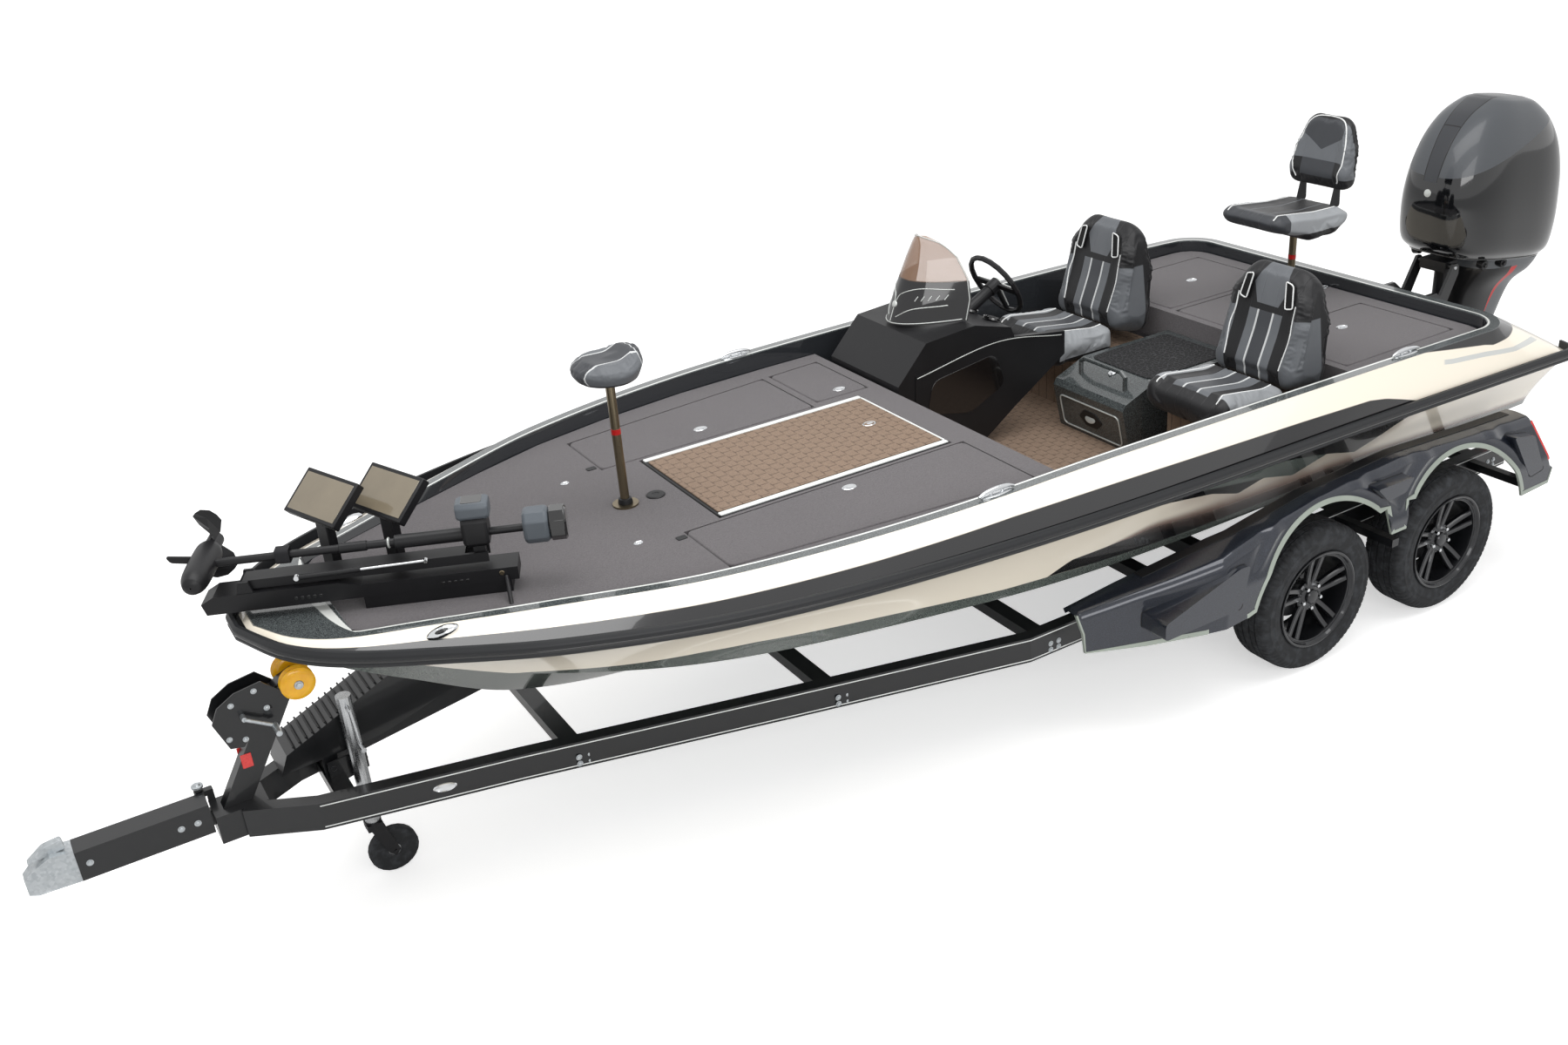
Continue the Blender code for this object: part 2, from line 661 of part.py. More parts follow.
def build_seats():
    """Two bucket seats, each a cushion and a back in one shell."""
    top, back, front = SEAT_TOP_Z, SEAT_BACK_X, SEAT_FRONT_X
    outline = [(back + 0.03, SEAT_BASE_Z + SEAT_GAP), (front - 0.05, SEAT_BASE_Z + SEAT_GAP), (front, 1.190),
               (front - 0.02, 1.265), (front - 0.08, 1.290), (front - 0.36, 1.245), (back + 0.26, 1.270),
               (back + 0.20, 1.450), (back + 0.14, 1.660), (back + 0.11, top - 0.03), (back + 0.07, top),
               (back + 0.01, top - 0.05), (back - 0.02, 1.500), (back - 0.01, 1.250)]
    for name, side in (("driver_seat", -1), ("passenger_seat", 1)):
        mesh = side_mesh(name, outline, -SEAT_WIDTH / 2, SEAT_WIDTH / 2)
        for vert in mesh.vertices:
            shrink = 0.42 * max(0.0, (vert.co.z - 1.50) / (top - 1.50)) ** 2
            vert.co.y *= 1.0 - shrink
        seat = add(name, mesh, VINYL, place=(0.0, side * SEAT_Y, 0.0))
        bevel = seat.modifiers.new("round", 'BEVEL')
        bevel.width = 0.028
        bevel.segments = 2
        bevel.limit_method = 'ANGLE'


def build_console():
    front = BOW_DECK_AFT_X - 0.012
    top = CONSOLE_TOP_Z
    low = FLOOR_Z + SEAT_GAP
    dash = [(front, low), (front, 1.300), (front - 0.17, top - 0.02), (front - 0.46, top),
            (front - 0.68, top - 0.06),
            (front - 0.74, 1.290), (front - 0.40, 1.200), (front - 0.16, 1.050), (front - 0.16, low)]
    console = add("console", side_mesh("console", dash, CONSOLE_OUTER_Y + 0.04, CONSOLE_INNER_Y), GLOSS_BLACK)
    panel = [(front - 0.08, low + 0.001), (front - 0.10, 1.330), (front - 0.60, 1.400), (front - 1.02, 1.340),
             (front - 1.02, 1.220), (front - 0.70, 1.020), (front - 0.45, low + 0.001)]
    join(console, side_mesh("side_panel", panel, CONSOLE_INNER_Y - 0.026, CONSOLE_INNER_Y + 0.004))
    axis = Vector((math.cos(WHEEL_LEAN), 0.0, -math.sin(WHEEL_LEAN)))
    hub = Vector(WHEEL_CENTRE)
    join(console, rod_mesh("column", hub + axis * (WHEEL_HUB + RUN_GAP), hub + axis * 0.26, 0.030))


def build_windshield():
    """A pointed shield, bowed in plan and leaning back, of even thickness."""
    centre_y = WHEEL_CENTRE[1] + 0.015
    bm = bmesh.new()
    rows = []
    for z, nose, half, depth in ((CONSOLE_TOP_Z + SEAT_GAP, 3.000, 0.235, 0.300),
                                 (1.600, 2.960, 0.230, 0.290),
                                 (1.700, 2.915, 0.205, 0.250), (1.800, 2.870, 0.155, 0.180),
                                 (1.870, 2.835, 0.095, 0.090), (1.903, 2.815, 0.040, 0.020)):
        row = []
        for k in range(9):
            t = -1.0 + k / 4
            row.append(bm.verts.new((nose - depth * t * t, centre_y + half * t, z)))
        rows.append(row)
    for low, high in zip(rows, rows[1:]):
        for k in range(8):
            bm.faces.new((low[k], low[k + 1], high[k + 1], high[k]))
    shield = add("windshield", to_mesh("windshield", bm), SMOKED)
    solid = shield.modifiers.new("thickness", 'SOLIDIFY')
    solid.thickness = 0.005
    solid.offset = 0.0
    cut(shield, box_mesh("base", (2.4, 3.3), (-1.2, 0.0), (1.2, CONSOLE_TOP_Z + SEAT_GAP)))


def build_steering_wheel():
    turn = (0.0, WHEEL_LEAN, 0.0)
    axis = pivot("steering_axis", WHEEL_CENTRE, turn=turn)
    ring = []
    for k in range(20):
        a = 2 * math.pi * k / 20
        out = Vector((0.0, math.cos(a), math.sin(a)))
        ring.append([out * (WHEEL_RADIUS + 0.014 * math.cos(b)) + Vector((0.014 * math.sin(b), 0.0, 0.0))
                     for b in (math.pi * j / 3 for j in range(6))])
    wheel = add("steering_wheel", loft_mesh("steering_wheel", ring, closed=True), PLASTIC, axis)
    join(wheel, rod_mesh("hub", (-0.012, 0.0, 0.0), (WHEEL_HUB, 0.0, 0.0), 0.036))
    for k, angle in enumerate((0.0, math.pi, -math.pi / 2)):
        spoke = box_mesh("spoke" + str(k), (0.0, 0.010), (0.02, WHEEL_RADIUS - 0.004), (-0.016, 0.016))
        spoke.transform(Matrix.Rotation(angle, 4, 'X'))
        join(wheel, spoke)


def ellipse(rx, ry, z, x=0.0, lift=0.0, sides=20):
    """A level oval ring, lifted toward its aft side."""
    ring = []
    for k in range(sides):
        a = 2 * math.pi * k / sides
        back = max(0.0, -math.cos(a))
        ring.append((x + rx * math.cos(a), ry * math.sin(a), z + lift * back))
    return ring


def build_pedestals():
    for name, x, top in (("bow_pedestal", BOW_POST_X, BOW_SEAT_Z),
                         ("rear_pedestal", REAR_POST_X, REAR_SEAT_Z)):
        post = add(name, rod_mesh(name, (x, 0.0, DECK_Z + SEAT_GAP), (x, 0.0, top), POST_RADIUS), STEEL)
        join(post, rod_mesh("flange", (x, 0.0, DECK_Z + SEAT_GAP), (x, 0.0, DECK_Z + 0.008), 0.055))
    swivel = pivot("bow_seat_swivel", (BOW_POST_X, 0.0, BOW_SEAT_Z + SEAT_GAP))
    rings = [ellipse(0.050, 0.050, 0.0), ellipse(0.055, 0.060, 0.025),
             ellipse(0.135, 0.150, 0.045, lift=0.01),
             ellipse(0.158, 0.172, 0.085, lift=0.03), ellipse(0.150, 0.165, 0.115, lift=0.05),
             ellipse(0.110, 0.125, 0.125, x=-0.02, lift=0.055), ellipse(0.040, 0.050, 0.118, x=-0.02,
                                                                        lift=0.02)]
    add("bow_seat", loft_mesh("bow_seat", rings), VINYL, swivel)


def build_rear_seat():
    swivel = pivot("rear_seat_swivel", (REAR_POST_X, 0.0, REAR_SEAT_Z + SEAT_GAP))
    outline = [(-0.10, 0.0), (0.10, 0.0), (0.14, 0.035), (0.34, 0.085), (0.375, 0.130), (0.34, 0.165),
               (0.05, 0.135), (-0.14, 0.135), (-0.21, 0.120), (-0.20, 0.055), (-0.14, 0.030)]
    cushion = add("rear_seat_cushion", side_mesh("rear_seat_cushion", outline, -0.225, 0.225), VINYL, swivel)
    hinge = Vector((-0.175, 0.0, 0.215))
    for side in (1, -1):
        ear = [(hinge.x - 0.035, 0.06), (hinge.x + 0.035, 0.06), (hinge.x + 0.02, hinge.z + 0.02),
               (hinge.x - 0.02, hinge.z + 0.02)]
        join(cushion, side_mesh("ear" + str(side), ear, *sorted((side * 0.214, side * 0.2245))),
             rod_mesh("pin" + str(side), (hinge.x, side * 0.216, hinge.z), (hinge.x, side * 0.2073, hinge.z),
                      0.009))
    fold = pivot("rear_backrest_hinge", hinge, swivel)
    outline = [(0.030, -0.030), (0.045, 0.060), (0.010, 0.200), (-0.020, 0.340), (-0.045, 0.370),
               (-0.085, 0.350),
               (-0.080, 0.200), (-0.050, 0.020), (-0.030, -0.030)]
    mesh = side_mesh("rear_seat_backrest", outline, -0.207, 0.207)
    for vert in mesh.vertices:
        vert.co.y *= 1.0 - 0.45 * max(0.0, (vert.co.z - 0.10) / 0.27) ** 2
    add("rear_seat_backrest", mesh, VINYL, fold)


# Trailer

def beam_mesh(name, path, width, z_low, z_high):
    """A box beam along a plan path, mitred at its bends."""
    track = [Vector(p) for p in path]
    rings = []
    for k, place in enumerate(track):
        along = (track[min(k + 1, len(track) - 1)] - track[max(k - 1, 0)]).normalized()
        out = Vector((-along.y, along.x)) * width / 2
        one, two = place + out, place - out
        rings.append([(one.x, one.y, z_low), (one.x, one.y, z_high), (two.x, two.y, z_high),
                      (two.x, two.y, z_low)])
    return loft_mesh(name, rings)


RAIL_LOW_Z = RAIL_TOP_Z - RAIL_DROP
# Rail centreline forward of the fender: X and outer face
RAIL_BENDS = ((RAIL_BEND_X, RAIL_OUTER_Y), (4.388, 0.682), (5.477, 0.397), (6.228, 0.221),
              (JUNCTION_X, 0.090))
CROSSMEMBERS = (0.300, 2.500, 3.240, 4.200, 5.250, 6.110)


def rail_outer(x):
    if x <= RAIL_BENDS[0][0]:
        return RAIL_OUTER_Y
    for (x0, y0), (x1, y1) in zip(RAIL_BENDS, RAIL_BENDS[1:]):
        if x <= x1:
            return y0 + (y1 - y0) * (x - x0) / (x1 - x0)
    return RAIL_BENDS[-1][1]


def build_trailer_frame():
    half = RAIL_THICKNESS / 2
    path = [(RAIL_AFT_X, RAIL_OUTER_Y - half)] + [(x, y - half) for x, y in RAIL_BENDS]
    frame = add("trailer_frame", beam_mesh("trailer_frame", path, RAIL_THICKNESS, RAIL_LOW_Z, RAIL_TOP_Z),
                FRAME_BLACK)
    join(frame, beam_mesh("other_rail", [(x, -y) for x, y in path], RAIL_THICKNESS, RAIL_LOW_Z, RAIL_TOP_Z))
    for k, x in enumerate(CROSSMEMBERS):
        reach = rail_outer(x) - half
        join(frame, box_mesh("cross" + str(k), (x - 0.038, x + 0.038), (-reach, reach),
                             (RAIL_LOW_Z + 0.005, RAIL_LOW_Z + CROSS_RISE)))
    join(frame, box_mesh("receiver", (JUNCTION_X - 0.090, TONGUE_AFT_X - 0.022), (-0.070, 0.070),
                         (RAIL_LOW_Z, RAIL_TOP_Z)))
    reach = FENDER_OUTER_Y - FENDER_WALL - SEAT_GAP
    mid = (FRONT_AXLE_X + REAR_AXLE_X) / 2
    for side in (1, -1):
        for k, x in enumerate((REAR_AXLE_X - 0.540, mid, TAPER_START_X - 0.024)):
            join(frame, box_mesh("bracket" + str(k) + str(side), (x - 0.022, x + 0.022),
                                 (side * (RAIL_OUTER_Y - 0.02), side * reach), (0.505, 0.545)))


def build_axles():
    """Torsion axles: a square tube, trailing arms and spindles."""
    for name, x in (("axle_front", FRONT_AXLE_X), ("axle_rear", REAR_AXLE_X)):
        tube_x = x + TORSION_ARM
        tube_z = RAIL_LOW_Z - SEAT_GAP - AXLE_BOX / 2
        inner = RAIL_OUTER_Y + 0.020
        half = AXLE_BOX / 2
        axle = add(name, box_mesh(name, (tube_x - half, tube_x + half), (-inner, inner),
                                  (tube_z - half, tube_z + half)), FRAME_BLACK)
        arm = [(tube_x + 0.036, tube_z - 0.030), (tube_x + 0.036, tube_z + 0.030),
               (x - 0.020, TYRE_RADIUS + 0.038),
               (x - 0.045, TYRE_RADIUS), (x - 0.020, TYRE_RADIUS - 0.038)]
        for side in (1, -1):
            low, high = sorted((side * (inner - 0.002), side * (inner + 0.022)))
            join(axle, side_mesh("arm" + str(side), arm, low, high),
                 rod_mesh("spindle" + str(side), (x, side * inner, TYRE_RADIUS),
                          (x, side * (TRACK_FACE_Y - 0.130), TYRE_RADIUS), SPINDLE_RADIUS))


def build_wheels():
    """Four wheels, drawn once on their own axle line with the face toward plus Y."""
    outer = TYRE_RADIUS / math.cos(math.pi / TYRE_SIDES)
    half = TYRE_WIDTH / 2
    bore = RIM_RADIUS + SEAT_GAP
    side = [(bore, half - 0.018), (FLANGE_RADIUS + 0.004, half - 0.014),
            (FLANGE_RADIUS + 0.030, half - 0.002),
            (0.310, half), (outer - 0.018, half - 0.012), (outer, half - 0.040)]
    profile = side + [(radius, -along) for radius, along in reversed(side)]
    tyre = turned_mesh("tyre", profile, TYRE_SIDES)
    tyre.transform(Matrix.Rotation(math.pi / TYRE_SIDES, 4, 'Y'))
    rim_side = half - 0.0175
    barrel = [(RIM_RADIUS - 0.012, rim_side - 0.03), (RIM_RADIUS - 0.004, rim_side + 0.012),
              (FLANGE_RADIUS, rim_side + 0.012), (FLANGE_RADIUS, rim_side + 0.005), (RIM_RADIUS,
                                                                                     rim_side + 0.001)]
    barrel = [(RIM_RADIUS - 0.012, -barrel[0][1]), (RIM_RADIUS - 0.012, barrel[0][1])] + barrel[1:]
    barrel += [(RIM_RADIUS, -rim_side + 0.010), (RIM_RADIUS - 0.001, -rim_side - 0.004),
               (RIM_RADIUS - 0.010, -rim_side - 0.004)]
    rim = turned_mesh("rim", barrel, TYRE_SIDES)
    turn = Matrix.Rotation(math.pi / TYRE_SIDES, 4, 'Y')
    rim.transform(turn)
    disc = turned_mesh("disc", [(SPINDLE_RADIUS + 0.0006, 0.040), (SPINDLE_RADIUS + 0.0006, -0.030),
                                (0.060, -0.030),
                                (0.075, 0.030), (RIM_RADIUS - 0.008, 0.055), (RIM_RADIUS - 0.008, 0.080),
                                (0.080, 0.062), (0.045, 0.075), (0.0, 0.080), (0.0, 0.040)][:-2]
                       + [(SPINDLE_RADIUS + 0.0006, 0.075)], TYRE_SIDES)
    disc.transform(turn)
    windows = []
    for k in range(5):
        for name, angle, wide in (("wide", 0.0, 0.30), ("slot", 36.0, 0.085)):
            a = math.radians(72 * k + angle)
            inner_r, outer_r = (0.095, 0.190) if name == "wide" else (0.100, 0.185)
            points = []
            for radius, share in ((inner_r, 0.75), (outer_r, 1.0)):
                points.append((radius, share * wide * (0.8 if name == "slot" else 1.0)))
            corners = [(points[0][0], -points[0][1]), (points[1][0], -points[1][1]),
                       (points[1][0], points[1][1]), (points[0][0], points[0][1])]
            outline = [(r * math.cos(a + t), r * math.sin(a + t)) for r, t in corners]
            windows.append(side_mesh("window_" + name + str(k), outline, -0.02, 0.12))
    centre_y = TRACK_FACE_Y - half
    for where, x in (("front", FRONT_AXLE_X), ("rear", REAR_AXLE_X)):
        for hand, sign in (("port", 1), ("starboard", -1)):
            name = where + "_" + hand
            turn = (0.0, 0.0, 0.0 if sign > 0 else math.pi)
            axle = pivot("wheel_" + name, (x, sign * centre_y, TYRE_RADIUS), turn=turn)
            add("tyre_" + name, tyre, RUBBER, axle)
            wheel = add("rim_" + name, rim.copy(), ALLOY_BLACK, axle)
            join(wheel, disc.copy())
            cut(wheel, *[window.copy() for window in windows])


def arc_points(x, z, radius, start, end, steps):
    points = []
    for k in range(steps + 1):
        a = math.radians(start + (end - start) * k / steps)
        points.append((x + radius * math.cos(a), z + radius * math.sin(a)))
    return points


# Fender outline from the tail over the top to the tip, and under the front skirt
FENDER_TOP = ((0.450, 0.868), (0.800, 0.880), (1.374, 0.912), (1.955, 0.885), (2.490, 0.805), (2.950, 0.708),
              (FENDER_TIP_X, 0.645))
FENDER_SKIRT = ((FENDER_TIP_X - 0.030, 0.550), (FENDER_TIP_X - 0.040, 0.455), (2.900, 0.448), (2.650, 0.458),
                (2.430, 0.478))
FENDER_TAIL = ((FENDER_TAIL_X + 0.020, 0.500), (FENDER_TAIL_X, 0.575))
# Pockets in the fender's side, as corners in order
FENDER_POCKETS = {
    "front_pocket": ((2.930, 0.540), (2.930, 0.620), (2.500, 0.745), (2.440, 0.740), (2.480, 0.540)),
    "mid_pocket": ((1.640, 0.855), (1.560, 0.775), (1.440, 0.785), (1.390, 0.850)),
    "rear_pocket": ((0.660, 0.835), (0.490, 0.575), (0.385, 0.590), (0.500, 0.805)),
}
POCKET_DEPTH = 0.045
POCKET_WALL = 0.008


def grown(outline, margin):
    """An outline moved out from its middle by a margin, corner by corner."""
    middle = sum((Vector(c) for c in outline), Vector((0.0, 0.0))) / len(outline)
    return [tuple(Vector(c) + (Vector(c) - middle).normalized() * margin) for c in outline]


# Fender in plan. Columns: X, inner edge, outer edge, share of the lean
FENDER_PLAN = (
    (FENDER_TAIL_X - 0.1, FENDER_INNER_Y, FENDER_OUTER_Y, 1.0),
    (TAPER_START_X, FENDER_INNER_Y, FENDER_OUTER_Y, 1.0),
    (2.560, 1.057, FENDER_OUTER_Y, 0.85),
    (2.800, 1.015, 1.195, 0.45),
    (FENDER_TIP_X, RAIL_OUTER_Y + 0.005, TIP_OUTER_Y, 0.0),
)


def fender_plan(x):
    """Inner edge, outer edge and lean share of the fender at a station."""
    for row, after in zip(FENDER_PLAN, FENDER_PLAN[1:]):
        if x <= after[0] or after is FENDER_PLAN[-1]:
            t = (x - row[0]) / (after[0] - row[0])
            return [low + (high - low) * t for low, high in zip(row[1:], after[1:])]


def shaped_fender(shape, side):
    """Lean a fender's side in toward its top, draw its front in to the rail, and mirror it to its side."""
    bm = bmesh.new()
    bm.from_mesh(shape)
    planes = [((row[0], 0, 0), (1, 0, 0)) for row in FENDER_PLAN[1:-1]] + [((0, 0, SHOULDER_Z), (0, 0, 1))]
    for place, normal in planes:
        bmesh.ops.bisect_plane(bm, geom=bm.verts[:] + bm.edges[:] + bm.faces[:], plane_co=place,
                               plane_no=normal,
                               dist=0.00001)
    for vert in bm.verts:
        inner, outer, share = fender_plan(vert.co.x)
        across = (vert.co.y - FENDER_INNER_Y) / (FENDER_OUTER_Y - FENDER_INNER_Y)
        lean = share * SIDE_LEAN * max(0.0, vert.co.z - SHOULDER_Z)
        vert.co.y = side * (inner + across * (outer - lean - inner))
    bmesh.ops.triangulate(bm, faces=bm.faces)
    return to_mesh(shape.name, bm)


def build_fender(name, side):
    """Fender over two wheels: a shell open below, with pockets in its side and a step between the arches."""
    z = TYRE_RADIUS
    low = math.degrees(math.asin((0.490 - z) / ARCH_RADIUS))
    post = math.degrees(math.asin((POST_Z - z) / ARCH_RADIUS))
    arches = arc_points(FRONT_AXLE_X, z, ARCH_RADIUS, low, 180 - post, 12)
    middle = (FRONT_AXLE_X + REAR_AXLE_X) / 2
    arches += [(middle + 0.075, POST_Z + 0.006), (middle + 0.050, POST_Z - 0.125),
               (middle - 0.050, POST_Z - 0.125),
               (middle - 0.075, POST_Z + 0.006)]
    arches += arc_points(REAR_AXLE_X, z, ARCH_RADIUS, post, 180 - low, 12)
    outline = list(FENDER_TOP) + list(FENDER_SKIRT) + arches + list(FENDER_TAIL)
    wall = FENDER_WALL
    roof = [(x, height - wall) for x, height in FENDER_TOP[1:-1]]
    back = FENDER_TOP[0]
    hollow = [(back[0] + wall, back[1] - wall)] + roof + [(FENDER_TIP_X - 0.110, 0.600),
                                                          (FENDER_TIP_X - 0.110, 0.300),
                                                         (FENDER_TAIL_X + 2 * wall, 0.300),
                                                         (FENDER_TAIL_X + 1.5 * wall, 0.575)]
    fender = add(name, shaped_fender(side_mesh(name, outline, FENDER_INNER_Y, FENDER_OUTER_Y), side),
                 GLOSS_BLACK)
    inside = side_mesh(name + "_inside", hollow, FENDER_INNER_Y - 0.1, FENDER_OUTER_Y - wall)
    cut(fender, shaped_fender(inside, side))
    for pocket, corners in FENDER_POCKETS.items():
        floor = FENDER_OUTER_Y - POCKET_DEPTH
        shell = side_mesh(pocket, grown(corners, POCKET_WALL), floor - POCKET_WALL, FENDER_OUTER_Y - wall / 2)
        recess = side_mesh(pocket + "_recess", corners, floor, FENDER_OUTER_Y + 0.05)
        join(fender, shaped_fender(shell, side))
        cut(fender, shaped_fender(recess, side))
    for k in range(RIB_COUNT):
        x = 2.540 + 0.090 * k
        rib = [(x, 0.560), (x + 0.012, 0.560), (x + 0.012, 0.690 - 0.026 * k), (x, 0.690 - 0.026 * k)]
        join(fender, shaped_fender(side_mesh("rib" + str(k), rib, FENDER_OUTER_Y - POCKET_DEPTH - 0.004,
                                             FENDER_OUTER_Y - POCKET_DEPTH + 0.014), side))


def bottom_z(share, y):
    """Height of the hull's bottom at a section, between pad and chine."""
    pad, keel = hull_ring(share)[0][1:]
    flat, flat_z = hull_ring(share)[1][1:]
    return keel + (flat_z - keel) * (y - pad) / (flat - pad)


def build_bunks():
    """Carpeted bunks along the flat run of the bottom, seated on the crossmembers."""
    low = RAIL_LOW_Z + CROSS_RISE + SEAT_GAP
    shares = [share for share in SECTION_SHARES if 0.0 < share * MOULD_LENGTH < BUNK_FORE_X]
    shares = [BUNK_AFT_X / MOULD_LENGTH] + shares + [BUNK_FORE_X / MOULD_LENGTH]
    for name, side in (("bunk_port", 1), ("bunk_starboard", -1)):
        rings = []
        for share in sorted(shares):
            edges = [(y, bottom_z(share, y) - 3 * SEAT_GAP) for y in (BUNK_Y - BUNK_WIDTH / 2,
                                                                      BUNK_Y + BUNK_WIDTH / 2)]
            (inner, inner_z), (outer, outer_z) = edges
            ring = [(inner, low), (inner, inner_z), (outer, outer_z), (outer, low)]
            rings.append([(share * MOULD_LENGTH, side * y, z) for y, z in ring])
        add(name, loft_mesh(name, rings), CARPET)


def build_tongue():
    z_low = TONGUE_Z - 0.010
    z_high = z_low + TONGUE_HEIGHT
    half = TONGUE_HALF_WIDTH
    pin = (TONGUE_AFT_X, -half - 0.026, 0.0)
    hinge = pivot("tongue_hinge", (pin[0], pin[1], TONGUE_Z))
    back = (-pin[0], -pin[1], -TONGUE_Z)
    tongue = add("tongue", box_mesh("tongue", (TONGUE_AFT_X - 0.012, TONGUE_TIP_X), (-half, half),
                                    (z_low, z_high)),
                 FRAME_BLACK, hinge, back)
    join(tongue, rod_mesh("knuckle", (pin[0], pin[1], z_low + 0.030), (pin[0], pin[1], z_high - 0.030),
                          0.018),
         box_mesh("lug", (TONGUE_AFT_X + 0.008, TONGUE_AFT_X + 0.040), (pin[1] - 0.004, -half + 0.005),
                  (z_low + 0.032, z_high - 0.032)))
    cut(tongue, rod_mesh("bore", (pin[0], pin[1], z_low), (pin[0], pin[1], z_high), 0.0085))
    nose = COUPLER_NOSE_X
    low = z_low - 0.005
    outline = [(TONGUE_TIP_X + SEAT_GAP, low), (TONGUE_TIP_X + SEAT_GAP, z_high + 0.004),
               (nose - 0.10, z_high + 0.012),
               (nose - 0.04, z_high - 0.02), (nose, z_high - 0.055), (nose, low + 0.010), (nose - 0.03, low)]
    mesh = side_mesh("coupler", outline, -0.042, 0.042)
    for vert in mesh.vertices:
        vert.co.y *= 1.0 - 0.35 * max(0.0, (vert.co.x - nose + 0.08) / 0.08)
    coupler = add("coupler", mesh, ZINC, hinge, back)
    ball = bmesh.new()
    bmesh.ops.create_uvsphere(ball, u_segments=12, v_segments=8, radius=0.026)
    bmesh.ops.translate(ball, vec=(nose - 0.055, 0.0, low + 0.008), verts=ball.verts)
    cut(coupler, to_mesh("ball", ball))


def build_tongue_seat():
    """The frame's half of the swing hinge: two knuckles and the pin between them."""
    frame = bpy.data.objects["trailer_frame"]
    x, y = TONGUE_AFT_X, -TONGUE_HALF_WIDTH - 0.026
    z_low = TONGUE_Z - 0.010 + 0.030
    z_high = TONGUE_Z - 0.010 + TONGUE_HEIGHT - 0.030
    join(frame, rod_mesh("low_knuckle", (x, y, RAIL_LOW_Z + 0.01), (x, y, z_low - 0.0005), 0.018),
         rod_mesh("high_knuckle", (x, y, z_high + 0.0005), (x, y, z_high + 0.030), 0.018),
         rod_mesh("pin", (x, y, z_low - 0.01), (x, y, z_high + 0.01), 0.008),
         box_mesh("low_arm", (x - 0.05, x - 0.002), (y - 0.010, y + 0.018),
                  (RAIL_LOW_Z + 0.012, z_low - 0.002)),
         box_mesh("web", (x - 0.05, x - 0.024), (y - 0.008, y + 0.016), (RAIL_TOP_Z - 0.02, z_high + 0.024)),
         box_mesh("high_arm", (x - 0.048, x - 0.002), (y - 0.010, y + 0.018),
                  (z_high + 0.003, z_high + 0.026)))


def build_winch_stand():
    base = RAIL_TOP_Z + SEAT_GAP
    roller = (6.175, 1.000)
    post = [(6.430, base), (6.540, base), (6.300, 0.960), (6.230, 1.010), (roller[0], roller[1] + 0.030),
            (roller[0] - 0.030, roller[1]), (6.190, 0.960)]
    stand = add("winch_stand", side_mesh("winch_stand", post, -0.028, 0.028), FRAME_BLACK)
    guard = [(6.500, 0.930), (6.470, 0.990), (6.400, 1.030), (6.300, 1.045), (6.240, 0.985), (6.330, 0.900),
             (6.410, 0.800), (6.460, 0.810)]
    for side in (1, -1):
        join(stand, side_mesh("guard" + str(side), guard, *sorted((side * 0.040, side * 0.046))))
    join(stand, rod_mesh("drum", (6.390, -0.043, 0.930), (6.390, 0.043, 0.930), 0.040),
         box_mesh("drum_seat", (6.280, 6.385), (-0.041, 0.041), (0.880, 0.920)))
    cut(stand, rod_mesh("shaft_hole", (roller[0], -0.1, roller[1]), (roller[0], 0.1, roller[1]), 0.0123))
    bow = add("bow_roller", rod_mesh("bow_roller", (roller[0], -0.088, roller[1]),
                                     (roller[0], 0.088, roller[1]),
                                     0.012), AMBER)
    for side in (1, -1):
        join(bow, rod_mesh("roller" + str(side), (roller[0], side * 0.0303, roller[1]),
                           (roller[0], side * 0.084, roller[1]), 0.066, sides=24))


def build_step_board():
    outline = [(6.300, RAIL_TOP_Z + SEAT_GAP), (6.265, 0.640), (5.820, 0.838), (5.560, 0.690), (5.900, 0.585)]
    board = add("step_board", side_mesh("step_board", outline, -0.240, -0.052), FRAME_BLACK)
    join(board, box_mesh("foot", (6.080, 6.140), (-0.170, -0.060),
                         (RAIL_LOW_Z + CROSS_RISE + SEAT_GAP, 0.640)))


